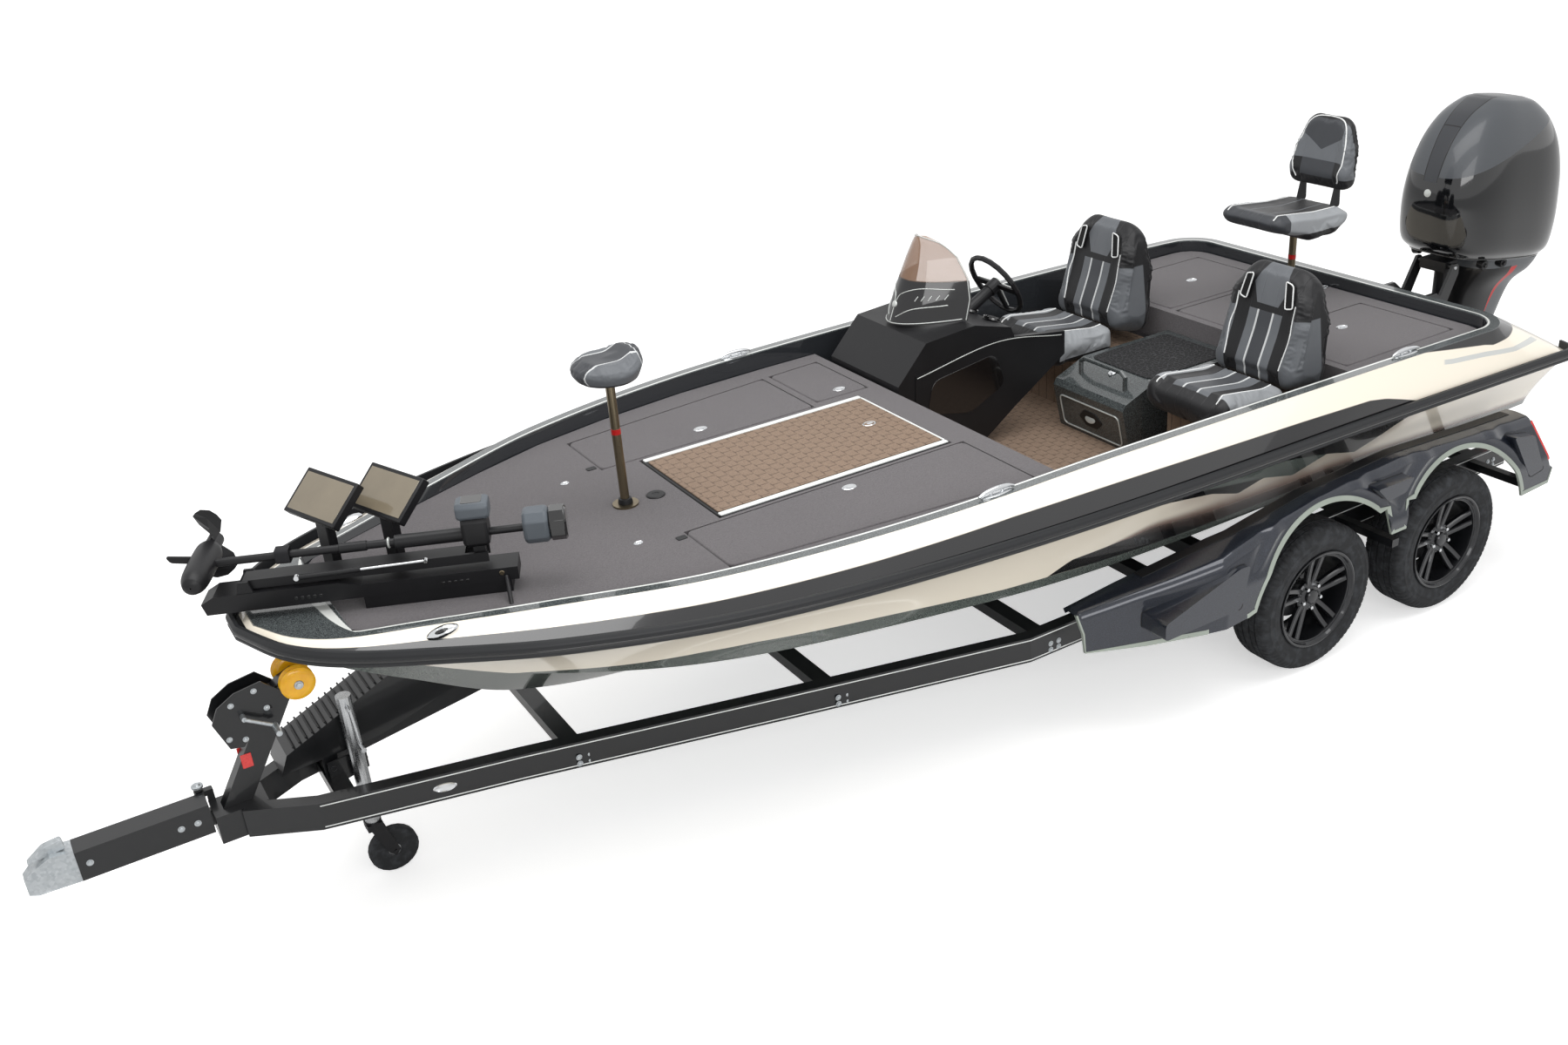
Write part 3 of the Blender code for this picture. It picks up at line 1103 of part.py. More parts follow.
def build_jack():
    """Swing-up jack on a bracket of the frame, with its castor wheel."""
    frame = bpy.data.objects["trailer_frame"]
    x, y, z = JACK_X, JACK_Y, JACK_PIVOT_Z
    plate_y = y - JACK_RADIUS - 0.012
    join(frame, side_mesh("jack_plate", [(x - 0.045, z - 0.045), (x + 0.110, RAIL_LOW_Z + 0.01),
                                         (x + 0.110, z + 0.03),
                                        (x - 0.045, z + 0.045)], plate_y - 0.008, plate_y),
         rod_mesh("jack_pin", (x, plate_y - 0.004, z), (x, plate_y + 0.0065, z), 0.022))
    hinge = pivot("jack_hinge", (x, y, z))
    wheel_z = JACK_WHEEL_RADIUS
    leg_low = wheel_z + 0.165
    leg = add("jack_leg", rod_mesh("jack_leg", (0, 0, leg_low - z), (0, 0, JACK_TOP_Z - z), JACK_RADIUS),
              FRAME_BLACK, hinge)
    join(leg, rod_mesh("boss", (0, -JACK_RADIUS - 0.005, 0), (0, 0, 0), 0.024),
         rod_mesh("crank_stem", (0, 0, 0.290), (0, 0.075, 0.290), 0.009),
         rod_mesh("crank_arm", (0, 0.075, 0.297), (-0.010, 0.075, 0.130), 0.008),
         rod_mesh("crank_grip", (-0.010, 0.070, 0.135), (-0.010, 0.120, 0.135), 0.011))
    swivel = pivot("castor_swivel", (0, 0, leg_low - z - SEAT_GAP), hinge)
    hub = wheel_z - leg_low + SEAT_GAP
    fork = add("jack_fork", rod_mesh("jack_fork", (0, 0, -0.030), (0, 0, 0), 0.034), ZINC, swivel)
    for side in (1, -1):
        cheek = [(0.030, -0.010), (-0.030, -0.010), (-JACK_TRAIL - 0.022, hub + 0.002),
                 (-JACK_TRAIL, hub - 0.022),
                 (-JACK_TRAIL + 0.024, hub)]
        join(fork, side_mesh("cheek" + str(side), cheek, *sorted((side * 0.027, side * 0.032))),)
    join(fork, box_mesh("crown", (-0.032, 0.032), (-0.032, 0.032), (-0.036, -0.006)),
         rod_mesh("axle", (-JACK_TRAIL, -0.036, hub), (-JACK_TRAIL, 0.036, hub), 0.007))
    axle = pivot("jack_wheel_axle", (-JACK_TRAIL, 0, hub), swivel)
    outer = JACK_WHEEL_RADIUS / math.cos(math.pi / TYRE_SIDES)
    profile = [(0.0075, -0.020), (outer - 0.008, -0.020), (outer, -0.012), (outer, 0.012),
               (outer - 0.008, 0.020),
               (0.0075, 0.020)]
    wheel = turned_mesh("jack_wheel", profile, TYRE_SIDES)
    wheel.transform(Matrix.Rotation(math.pi / TYRE_SIDES, 4, 'Y'))
    add("jack_wheel", wheel, RUBBER, axle)


# Outboard

def plan_ring(z, front, back, half, slope=0.0, sides=16):
    """A ring between a front and a back, fuller than an oval, level or sloping down aft."""
    middle = (front + back) / 2
    fill = 0.65
    reach = math.cos(math.pi / sides) ** fill
    length = (front - back) / 2 / reach
    half = half / reach
    ring = []
    for k in range(sides):
        a = 2 * math.pi * (k + 0.5) / sides
        c, s = math.cos(a), math.sin(a)
        x = middle + length * math.copysign(abs(c) ** fill, c)
        ring.append((x, half * math.copysign(abs(s) ** fill, s), z + slope * (x - STEER_X)))
    return ring


def build_outboard():
    low = 0.800
    on_transom = -2 * SEAT_GAP
    foot = TRANSOM_RAKE * (SHEER_STERN_Z - low) / (SHEER_STERN_Z - KEEL_Z) + on_transom
    clamp = [(on_transom, JACK_PLATE_TOP_Z), (on_transom, SHEER_STERN_Z), (foot, low), (-0.050, low - 0.020),
             (-0.290, 0.830), (-0.300, 1.020), (-0.266, 1.044), (-0.190, JACK_PLATE_TOP_Z)]
    plate = add("jack_plate", side_mesh("jack_plate", clamp, -0.150, 0.150), FRAME_BLACK)
    well = [(-0.060, 1.300), (-0.060, 0.840), (-0.400, 0.840), (-0.400, 1.300)]
    hollow = side_mesh("inner", well, -JACK_PLATE_INSIDE, JACK_PLATE_INSIDE)
    cut(plate, hollow)
    tube = rod_mesh("clamp_bracket", (TILT_X, -0.125, TILT_Z), (TILT_X, 0.125, TILT_Z), 0.016)
    clamps = add("clamp_bracket", tube, FRAME_BLACK)
    inside = JACK_PLATE_INSIDE - SEAT_GAP
    for side in (1, -1):
        ear = [(-0.235, 1.030), (-0.275, 0.930), (TILT_X - 0.032, TILT_Z - 0.040),
               (TILT_X - 0.030, TILT_Z + 0.005), (TILT_X - 0.015, TILT_Z + 0.022),
               (TILT_X + 0.015, TILT_Z + 0.022)]
        join(clamps, side_mesh("ear" + str(side), ear, *sorted((side * (inside - 0.017), side * inside))))
    tilt = pivot("tilt_axis", (TILT_X, 0.0, TILT_Z))
    back = Vector((-TILT_X, 0.0, -TILT_Z))
    swivel = add("swivel_bracket", box_mesh("swivel_bracket", (STEER_X, TILT_X + 0.030), (-0.085, 0.085),
                                            (TILT_Z - 0.035, TILT_Z + 0.024)), PLASTIC, tilt, back)
    join(swivel, rod_mesh("swivel_tube", (STEER_X, 0.0, SWIVEL_LOW_Z), (STEER_X, 0.0, TILT_Z + 0.020), 0.045))
    cut(swivel, rod_mesh("tilt_bore", (TILT_X, -0.2, TILT_Z), (TILT_X, 0.2, TILT_Z), 0.0165))
    steer = pivot("steer_axis", (STEER_X - TILT_X, 0.0, 0.0), tilt)
    back = Vector((-STEER_X, 0.0, -TILT_Z))
    seam = COWL_SEAM_Z
    # Level sections of the cowl. Columns: height over the seam, front, back, half width
    cowl = ((0.000, -0.300, -1.080, 0.250), (0.060, -0.235, -1.130, 0.285),
            (0.200, -0.210, MOTOR_BACK_X + 0.006, 0.290),
            (0.350, -0.215, MOTOR_BACK_X, 0.285), (0.500, -0.250, MOTOR_BACK_X + 0.005, 0.270),
            (0.650, -0.320, -1.125, 0.245), (0.770, -0.420, -1.050, 0.205), (0.850, -0.540, -0.950, 0.150),
            (0.875, -0.600, -0.880, 0.100))
    top = cowl[-1][0]
    rings = [plan_ring(seam + rise, front, rear, half, COWL_SLOPE * (1 - rise / top)) for rise, front, rear,
             half in cowl]
    add("motor_cowl", loft_mesh("motor_cowl", rings), GLOSS_BLACK, steer, back)
    # Sections of the leg down to the gearcase. Columns: height, front, back, half width, slope
    leg = ((seam - SEAT_GAP, -0.360, -1.075, 0.245, COWL_SLOPE), (1.252, -0.365, -1.070, 0.240, COWL_SLOPE),
           (1.244, -0.530, -1.068, 0.232, COWL_SLOPE), (1.150, -0.530, -1.030, 0.205, 0.10),
           (1.000, -0.520, -0.960, 0.130, 0.0), (0.800, -0.515, -0.890, 0.092, 0.0),
           (0.640, -0.510, -0.860, 0.065, 0.0), (0.560, -0.510, -0.840, 0.030, 0.0),
           (PROP_SHAFT_Z, -0.520, -0.800, 0.025, 0.0))
    rings = [plan_ring(height, front, rear, half, slope) for height, front, rear, half, slope in leg]
    mid = add("motor_leg", loft_mesh("motor_leg", rings), MOTOR_GREY, steer, back)
    plate_ring = [(-0.500, 0.06), (-0.560, 0.11), (-0.900, 0.13), (-1.060, 0.10), (-1.080, 0.0)]
    outline = plate_ring + [(x, -y) for x, y in reversed(plate_ring[:-1])]
    yoke_top = SWIVEL_LOW_Z - RUN_GAP
    join(mid, slab_mesh("cavitation_plate", outline, 0.618, 0.630),
         rod_mesh("lower_yoke", (STEER_X, 0.0, yoke_top - 0.060), (STEER_X, 0.0, yoke_top), 0.040),
         box_mesh("yoke_arm", (STEER_X - 0.110, STEER_X - 0.002), (-0.032, 0.032),
                  (yoke_top - 0.055, yoke_top - 0.004)))
    torpedo = [[(x, radius * math.cos(a), PROP_SHAFT_Z + radius * math.sin(a))
                for a in (2 * math.pi * k / 16 for k in range(16))]
               for x, radius in ((-0.440, 0.012), (-0.480, 0.040), (-0.560, 0.060), (-0.700, 0.064),
                                 (PROP_X + RUN_GAP, 0.052))]
    join(mid, loft_mesh("torpedo", torpedo),
         side_mesh("skeg", [(-0.600, PROP_SHAFT_Z), (-0.640, 0.300), (-0.700, 0.200), (-0.860, 0.170),
                            (-0.890, 0.185),
                           (-0.850, 0.300), (-0.840, PROP_SHAFT_Z)], -0.007, 0.007))
    prop_axis = pivot("propeller_axis", (PROP_X - STEER_X, 0.0, PROP_SHAFT_Z - TILT_Z), steer)
    build_propeller("propeller", prop_axis, PROP_RADIUS, 0.050, 0.115, 4, 0.10, STEEL)


def build_propeller(name, axis, radius, hub, length, blades, pitch, finish):
    """A propeller about X: a hub and twisted blades, each a loft from root to tip."""
    profile = [(hub * 0.5, 0.0), (hub, -0.002), (hub * 0.96, -length), (hub * 0.6, -length)]
    rings = [[(x, r * math.cos(a), r * math.sin(a)) for a in (2 * math.pi * k / 16 for k in range(16))]
             for r, x in profile]
    prop = add(name, loft_mesh(name, rings), finish, axis)
    middle = -length / 2
    for k in range(blades):
        sections = []
        for share, chord in ((0.0, 0.55), (0.35, 0.95), (0.7, 1.0), (0.92, 0.70), (1.0, 0.30)):
            r = hub * 0.8 + (radius - hub * 0.8) * share
            twist = math.atan2(pitch, r)
            width = chord * radius * 0.48
            thick = 0.004 * (1.15 - share)
            along = Vector((math.sin(twist), math.cos(twist), 0.0))
            across = Vector((math.cos(twist), -math.sin(twist), 0.0))
            at = Vector((middle, 0.0, r))
            if share > 0.9:
                at.z = math.sqrt(max(r * r - (along.y * width) ** 2, (0.9 * r) ** 2))
            sections.append([at + along * width, at + across * thick, at - along * width,
                             at - across * thick])
        blade = loft_mesh("blade" + str(k), sections)
        blade.transform(Matrix.Rotation(2 * math.pi * k / blades, 4, 'X'))
        join(prop, blade)


# Bow motor

def build_bow_motor():
    frame = pivot("bow_motor_mount", (TROLL_X, TROLL_Y, TROLL_Z), turn=(0.0, 0.0, TROLL_YAW))
    half = TROLL_HALF_WIDTH
    length = TROLL_BASE_LENGTH
    side = [(0.0, 0.0), (0.012, 0.045), (-0.035, 0.070), (-0.480, 0.070), (-0.560, 0.052), (-length, 0.052),
            (-length, 0.0)]
    base = add("trolling_base", side_mesh("trolling_base", side, -half, half), PLASTIC, frame)
    foot = DECK_Z + SEAT_GAP - TROLL_Z
    join(base, box_mesh("deck_foot", (-length + 0.030, -0.560), (-half + 0.006, half - 0.006), (foot, 0.010)))
    px, pz = TROLL_PIVOT
    for k in (1, -1):
        ear = [(px - 0.035, 0.050), (px + 0.035, 0.050), (px + 0.018, pz + 0.020), (px - 0.018, pz + 0.020)]
        join(base, side_mesh("ear" + str(k), ear, *sorted((k * 0.046, k * 0.058))),
             rod_mesh("pin" + str(k), (px, k * 0.050, pz), (px, k * 0.0403, pz), 0.008))
    hinge = pivot("trolling_hinge", (px, 0.0, pz), frame)
    sx, sz = SHAFT_PIVOT
    arm_side = [(0.018, -0.012), (0.018, 0.012), (0.006, 0.018), (sx - px - 0.030, 0.020),
                (sx - px - 0.030, -0.018),
                (0.006, -0.018)]
    arm = add("trolling_arm", side_mesh("trolling_arm", arm_side, -0.040, 0.040), PLASTIC, hinge)
    cut(arm, box_mesh("slot", (sx - px - 0.10, sx - px + 0.055), (-0.028, 0.028), (-0.05, 0.05)))
    join(arm, rod_mesh("shaft_pin", (sx - px, -0.034, sz - pz), (sx - px, 0.034, sz - pz), 0.007))
    tip = pivot("trolling_shaft_pivot", (sx - px, 0.0, sz - pz), hinge)
    rise = 0.070
    shaft = add("trolling_shaft", rod_mesh("trolling_shaft", (-0.290, 0, rise), (0.985, 0, rise),
                                           SHAFT_RADIUS), PLASTIC, tip)
    join(shaft, box_mesh("clamp", (-0.045, 0.050), (-0.055, 0.055), (0.030, 0.150), 0.008),
         box_mesh("clamp_foot", (-0.022, 0.022), (-0.0275, 0.0275), (-0.018, 0.040)),
         box_mesh("display", (-0.060, 0.060), (-0.050, 0.050), (0.140, 0.205), 0.010),
         box_mesh("head", (-0.330, -0.170), (-0.060, 0.060), (0.010, 0.140), 0.018),
         rod_mesh("sleeve", (0.045, 0, rise), (0.300, 0, rise), 0.027))
    cut(shaft, rod_mesh("foot_bore", (0, -0.1, 0), (0, 0.1, 0), 0.0075))
    pod = [[(0.985 + r * math.cos(a), y,
             rise + r * math.sin(a)) for a in (2 * math.pi * k / 16 for k in range(16))]
           for y, r in ((0.190, 0.010), (0.170, 0.030), (0.110, POD_RADIUS), (-0.080, POD_RADIUS),
                        (-0.130, 0.034))]
    join(shaft, loft_mesh("pod", pod),
         side_mesh("fin", [(0.975, rise), (1.095, rise + 0.02), (1.110, rise + 0.05), (0.985, rise + 0.03)],
                   -0.006, 0.006))
    axis = pivot("trolling_prop_axis", (0.985, -0.1303, rise), tip, turn=(0.0, 0.0, math.pi / 2))
    build_propeller("trolling_propeller", axis, TROLL_PROP_RADIUS, 0.030, 0.080, 2, 0.055, PLASTIC)


def build_displays():
    """Two sonar screens on brackets on the bow."""
    for name, x, y in (("sonar_display_forward", 5.912, -0.130), ("sonar_display_aft", 5.700, -0.010)):
        base = add(name, box_mesh(name, (-0.050, 0.050), (-0.060, 0.060), (0.0, 0.012)), PLASTIC,
                   place=(x, y, DECK_Z + SEAT_GAP), turn=(0.0, 0.0, math.radians(20)))
        screen = box_mesh("screen", (-0.018, 0.018), (-0.155, 0.155), (-0.095, 0.095), 0.006)
        screen.transform(Matrix.Translation((-0.020, 0.0, 0.330)) @ Matrix.Rotation(math.radians(-50), 4,
                                                                                    'Y'))
        join(base, box_mesh("post", (-0.020, 0.020), (-0.035, 0.035), (0.006, 0.280)),
             box_mesh("yoke", (-0.030, 0.030), (-0.040, 0.040), (0.270, 0.330)), screen)


build_hull()
build_gunwale_cap()
build_rub_rail()
build_decks()
build_cockpit_floor()
build_cockpit_step()
build_seats()
build_console()
build_windshield()
build_steering_wheel()
build_pedestals()
build_rear_seat()
build_trailer_frame()
build_axles()
build_wheels()
for fender_name, hand in (("fender_port", 1), ("fender_starboard", -1)):
    build_fender(fender_name, hand)
build_bunks()
build_tongue()
build_tongue_seat()
build_winch_stand()
build_step_board()
build_jack()
build_outboard()
build_bow_motor()
build_displays()
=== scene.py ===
"""The dressed look of the bass boat on its trailer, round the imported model.

Places are stations in metres: X forward from the transom, Y to port, Z up from the ground.
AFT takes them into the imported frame.
"""

import math

import bmesh
import bpy
import numpy as np
from mathutils.bvhtree import BVHTree
from mathutils import Matrix, Vector


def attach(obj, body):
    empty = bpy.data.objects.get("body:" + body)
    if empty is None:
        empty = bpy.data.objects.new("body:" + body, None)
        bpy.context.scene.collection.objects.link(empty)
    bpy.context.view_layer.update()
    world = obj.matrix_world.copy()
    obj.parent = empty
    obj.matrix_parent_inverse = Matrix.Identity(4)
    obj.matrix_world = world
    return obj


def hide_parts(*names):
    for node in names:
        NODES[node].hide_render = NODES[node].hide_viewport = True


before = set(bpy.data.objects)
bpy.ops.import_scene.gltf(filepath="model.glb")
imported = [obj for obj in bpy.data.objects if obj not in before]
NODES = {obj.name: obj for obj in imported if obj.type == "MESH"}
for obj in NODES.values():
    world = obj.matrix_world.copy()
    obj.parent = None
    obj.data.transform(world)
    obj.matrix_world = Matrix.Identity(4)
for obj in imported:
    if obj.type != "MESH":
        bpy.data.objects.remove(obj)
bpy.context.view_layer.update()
AFT = 3.0335


# Camera, light and floor

def place_camera():
    """The photograph's own camera, from its solved place, turn and focal length in pixels."""
    focal, centre_x, centre_y, wide, tall = 1721.28, 935.30, 592.44, 1800, 1200
    yaw, pitch, roll = (math.radians(a) for a in (-120.2198, -25.9789, -4.2535))
    ahead = Vector((math.cos(pitch) * math.cos(yaw), math.cos(pitch) * math.sin(yaw), math.sin(pitch)))
    right = ahead.cross(Vector((0, 0, 1))).normalized()
    up = right.cross(ahead)
    right, up = (right * math.cos(roll) + up * math.sin(roll), up * math.cos(roll) - right * math.sin(roll))
    data = bpy.data.cameras.new("camera")
    camera = bpy.data.objects.new("camera", data)
    bpy.context.scene.collection.objects.link(camera)
    turn = Matrix((right, up, -ahead)).transposed().to_4x4()
    camera.matrix_world = Matrix.Translation((6.9015 - AFT, 5.2474, 3.8949)) @ turn
    data.sensor_width = 36.0
    data.lens = focal / wide * data.sensor_width
    data.shift_x = (wide / 2 - centre_x) / wide
    data.shift_y = (centre_y - tall / 2) / wide
    data.clip_end = 200.0
    bpy.context.scene.camera = camera


def area_light(name, place, aim, size, power):
    """A rectangular lamp of a given size, in metres, at a place and turned to its aim."""
    data = bpy.data.lights.new(name, 'AREA')
    data.shape = 'RECTANGLE'
    data.size, data.size_y = size
    data.energy = power
    lamp = bpy.data.objects.new(name, data)
    lamp.location = place
    lamp.rotation_euler = (Vector(aim) - Vector(place)).to_track_quat('-Z', 'Y').to_euler()
    bpy.context.scene.collection.objects.link(lamp)


# Shader values that take arithmetic

class Wire:
    """A shader value. Arithmetic on it adds Math nodes."""

    def __init__(self, paint, socket):
        self.paint, self.socket = paint, socket

    def math(self, operation, *values):
        """Adds a Math node and gives its value."""
        return self.paint.node("Math", {"operation": operation}, dict(enumerate(values)))

    def __add__(self, other):
        return self.math('ADD', self, other)

    def __radd__(self, other):
        return self.math('ADD', other, self)

    def __sub__(self, other):
        return self.math('SUBTRACT', self, other)

    def __rsub__(self, other):
        return self.math('SUBTRACT', other, self)

    def __mul__(self, other):
        return self.math('MULTIPLY', self, other)

    def __rmul__(self, other):
        return self.math('MULTIPLY', other, self)

    def __truediv__(self, other):
        return self.math('DIVIDE', self, other)

    def __gt__(self, other):
        return self.math('GREATER_THAN', self, other)

    def __lt__(self, other):
        return self.math('LESS_THAN', self, other)

    def abs(self):
        """The value without its sign."""
        return self.math('ABSOLUTE', self)

    def wrap(self, period):
        """The value within each period, from 0 to the period."""
        return self.math('WRAP', self, period, 0.0)

    def ease(self, low, high):
        """0 below low, 1 above high, smooth between; the other way round if low is above high."""
        span = {"interpolation_type": 'SMOOTHSTEP'}
        if low < high:
            return self.paint.node("MapRange", span, {0: self, 1: low, 2: high, 3: 0.0, 4: 1.0})
        return self.paint.node("MapRange", span, {0: self, 1: high, 2: low, 3: 1.0, 4: 0.0})

    def band(self, low, high, soft=0.001):
        """1 between two values, 0 outside."""
        return self.ease(low - soft, low) * self.ease(high + soft, high)

    def both(self, other):
        """The lower of two values: what both hold."""
        return self.math('MINIMUM', self, other)

    def either(self, other):
        """The higher of two values: what either holds."""
        return self.math('MAXIMUM', self, other)

    def table(self, *rows):
        """A broken line through rows of this value and the one wanted."""
        keys = [row[0] for row in rows]
        values = [row[1] for row in rows]
        low, high = min(values), max(values)
        span = (high - low) or 1.0
        share = self.paint.node("MapRange", {}, {0: self, 1: keys[0], 2: keys[-1], 3: 0.0, 4: 1.0})
        stops = [((k - keys[0]) / (keys[-1] - keys[0]), ((v - low) / span,) * 3) for k, v in rows]
        ramp = self.paint.node("ValToRGB", {"stops": stops}, {0: share})
        return ramp * span + low


class Paint:
    """A material in the making, on its Principled shader."""

    def __init__(self, name, **constants):
        constants = {"Specular_IOR_Level": 0.32, **constants}
        self.material = bpy.data.materials.new(name)
        self.material.use_nodes = True
        self.tree = self.material.node_tree
        self.shader = self.tree.nodes["Principled BSDF"]
        for key, value in constants.items():
            self.shader.inputs[key.replace("_", " ")].default_value = value

    def put(self, socket, value):
        """Links a value to a socket, or sets the socket to a plain number or colour."""
        if isinstance(value, Wire):
            self.tree.links.new(value.socket, socket)
        elif isinstance(value, (tuple, list)) and len(value) == 3 and socket.type == 'RGBA':
            socket.default_value = (*value, 1.0)
        else:
            socket.default_value = value

    def node(self, kind, settings, sockets, out=0):
        """Any node: its type, its settings, and the values or links of its sockets by place or name."""
        made = self.tree.nodes.new("ShaderNode" + kind)
        for key, value in settings.items():
            if key == "stops":
                stops = made.color_ramp.elements
                stops.remove(stops[1])
                for k, (position, colour) in enumerate(value):
                    stop = stops.new(position) if k else stops[0]
                    stop.position = position
                    stop.color = (*colour, 1.0)
            else:
                setattr(made, key, value)
        for key, value in sockets.items():
            self.put(made.inputs[key], value)
        return Wire(self, made.outputs[out])

    def place(self):
        """The place on the object, in metres."""
        return self.node("TexCoord", {}, {}, 3)

    def sheet(self):
        """The place on the form's sheet, along and across."""
        return self.node("UVMap", {}, {})

    def split(self, vector):
        """The three values of a vector."""
        x = self.node("SeparateXYZ", {}, {0: vector})
        return [Wire(self, x.socket.node.outputs[k]) for k in range(3)]

    def scaled(self, vector, scale):
        """A vector stretched along its axes."""
        return self.node("Mapping", {}, {0: vector, 3: scale})

    def noise(self, vector, scale, detail=4.0, rough=0.55):
        """Cloudy noise from 0 to 1."""
        return self.node("TexNoise", {}, {"Vector": vector, "Scale": scale, "Detail": detail, "Roughness": rough})

    def cells(self, vector, scale, feature='F1', out=0):
        """Cells, by the distance to their points."""
        return self.node("TexVoronoi", {"feature": feature}, {"Vector": vector, "Scale": scale}, out)

    def mix(self, share, one, two):
        """One colour laid over another by a share."""
        return self.node("Mix", {"data_type": 'RGBA'}, {0: share, 6: one, 7: two}, 2)

    def bump(self, height, strength, distance):
        """A normal from a height, in metres of depth."""
        return self.node("Bump", {}, {"Height": height, "Strength": strength, "Distance": distance})

    def done(self, colour=None, rough=None, coat=None, normal=None, alpha=None, glow=None):
        """Links what is given to the shader and hands the material over."""
        pairs = (("Base Color", colour), ("Roughness", rough), ("Coat Weight", coat), ("Normal", normal),
                 ("Alpha", alpha), ("Emission Color", glow))
        for name, value in pairs:
            if value is not None:
                self.put(self.shader.inputs[name], value)
        return self.material


def light_and_floor():
    """A pale floor and a white world, both white to the camera and to gloss, plain to what they light."""
    bpy.context.scene.view_settings.view_transform = 'Standard'
    world = bpy.data.worlds.new("studio")
    bpy.context.scene.world = world
    world.use_nodes = True
    tree = world.node_tree
    ground = tree.nodes["Background"]
    rays = tree.nodes.new("ShaderNodeLightPath")
    seen = tree.nodes.new("ShaderNodeMath")
    seen.operation = 'MAXIMUM'
    tree.links.new(rays.outputs["Is Camera Ray"], seen.inputs[0])
    tree.links.new(rays.outputs["Is Transmission Ray"], seen.inputs[1])
    gloss = tree.nodes.new("ShaderNodeMath")
    gloss.operation = 'MAXIMUM'
    tree.links.new(seen.outputs[0], gloss.inputs[0])
    tree.links.new(rays.outputs["Is Glossy Ray"], gloss.inputs[1])
    level = tree.nodes.new("ShaderNodeMapRange")
    level.inputs["To Min"].default_value = 0.66
    level.inputs["To Max"].default_value = 1.0
    tree.links.new(gloss.outputs[0], level.inputs["Value"])
    tree.links.new(level.outputs[0], ground.inputs["Strength"])
    ground.inputs["Color"].default_value = (1.0, 1.0, 1.0, 1.0)
    area_light("overhead", (0.6, 0.8, 6.5), (0.0, 0.0, 0.8), (8.0, 3.6), 310.0)
    area_light("port_side", (2.5, 7.5, 4.6), (0.0, 0.0, 0.8), (7.0, 2.5), 210.0)
    paint = Paint("pale_floor", Roughness=0.9, Emission_Strength=1.0)
    camera_ray = paint.node("LightPath", {}, {}, 0)
    glow = paint.mix(camera_ray, (0.0, 0.0, 0.0), (0.52, 0.52, 0.52))
    finish = paint.done(colour=(0.86, 0.86, 0.86), glow=glow)
    corner = 60.0
    mesh = bpy.data.meshes.new("floor")
    mesh.from_pydata([(-corner, -corner, 0), (corner, -corner, 0), (corner, corner, 0), (-corner, corner, 0)], [],
                     [(0, 1, 2, 3)])
    mesh.materials.append(finish)
    floor = bpy.data.objects.new("floor", mesh)
    bpy.context.scene.collection.objects.link(floor)


# Shapes as arrays

class Form:
    """Points, faces and the sheet place of each face corner."""

    def __init__(self, verts, faces, sheet=None):
        self.verts = np.asarray(verts, float).reshape(-1, 3)
        self.faces = [list(f) for f in faces]
        corners = sum(len(f) for f in self.faces)
        self.sheet = np.zeros((corners, 2)) if sheet is None else np.asarray(sheet, float).reshape(-1, 2)

    def __add__(self, other):
        shift = len(self.verts)
        return Form(np.vstack([self.verts, other.verts]),
                    self.faces + [[k + shift for k in f] for f in other.faces],
                    np.vstack([self.sheet, other.sheet]))

    def turned(self, matrix):
        """The same form through a matrix."""
        matrix = np.array(matrix, float)
        return Form(self.verts @ matrix[:3, :3].T + matrix[:3, 3], self.faces, self.sheet)

    def mirrored(self):
        """The same form on the other side of the boat."""
        return Form(self.verts * (1, -1, 1), [f[::-1] for f in self.faces], self.sheet)


def surface(points, ring=False, loop=False, ends=False, across=None, along=None):
    """Faces over a grid of points: rows run along, columns across. ring closes the columns, loop the rows,
    and ends puts a face over the first and last rows."""
    rows, cols = points.shape[:2]
    r = np.arange(rows if loop else rows - 1)[:, None] + np.zeros((1, cols if ring else cols - 1), int)
    c = np.arange(cols if ring else cols - 1)[None, :] + np.zeros((rows if loop else rows - 1, 1), int)
    corner = lambda dr, dc: ((r + dr) % rows) * cols + (c + dc) % cols
    faces = np.stack([corner(0, 0), corner(0, 1), corner(1, 1), corner(1, 0)], -1).reshape(-1, 4)
    across = np.linspace(0, 1, cols + ring) if across is None else np.asarray(across, float)
    along = np.linspace(0, 1, rows + loop) if along is None else np.asarray(along, float)
    u = np.stack([along[r], along[r], along[r + 1], along[r + 1]], -1)
    v = np.stack([across[c], across[c + 1], across[c + 1], across[c]], -1)
    sheet = np.stack([u, v], -1).reshape(-1, 2)
    faces = faces.tolist()
    if ends:
        faces += [list(range(cols))[::-1], list(range((rows - 1) * cols, rows * cols))]
        sheet = np.vstack([sheet, np.zeros((2 * cols, 2))])
    return Form(points.reshape(-1, 3), faces, sheet)


def smooth_line(points, count):
    """Points spread along the smooth line through some places, by the Catmull and Rom cubic."""
    p = np.asarray(points, float)
    t = np.linspace(0, len(p) - 1, count)
    i = np.minimum(t.astype(int), len(p) - 2)
    f = (t - i)[:, None]
    padded = np.vstack([2 * p[0] - p[1], p, 2 * p[-1] - p[-2]])
    a, b, c, d = (padded[i + k] for k in range(4))
    return 0.5 * (2 * b + (c - a) * f + (2 * a - 5 * b + 4 * c - d) * f ** 2 + (3 * b - a - 3 * c + d) * f ** 3)


def directions(path, closed=False, flat=(0, 0, 1)):
    """Unit vectors along a path, to its side and over it."""
    run = np.roll(path, -1, 0) - np.roll(path, 1, 0) if closed else np.gradient(path, axis=0)
    run = run / np.linalg.norm(run, axis=1)[:, None]
    side = np.cross(run, np.asarray(flat, float))
    side = side / np.maximum(np.linalg.norm(side, axis=1)[:, None], 1e-9)
    return run, side, np.cross(side, run)


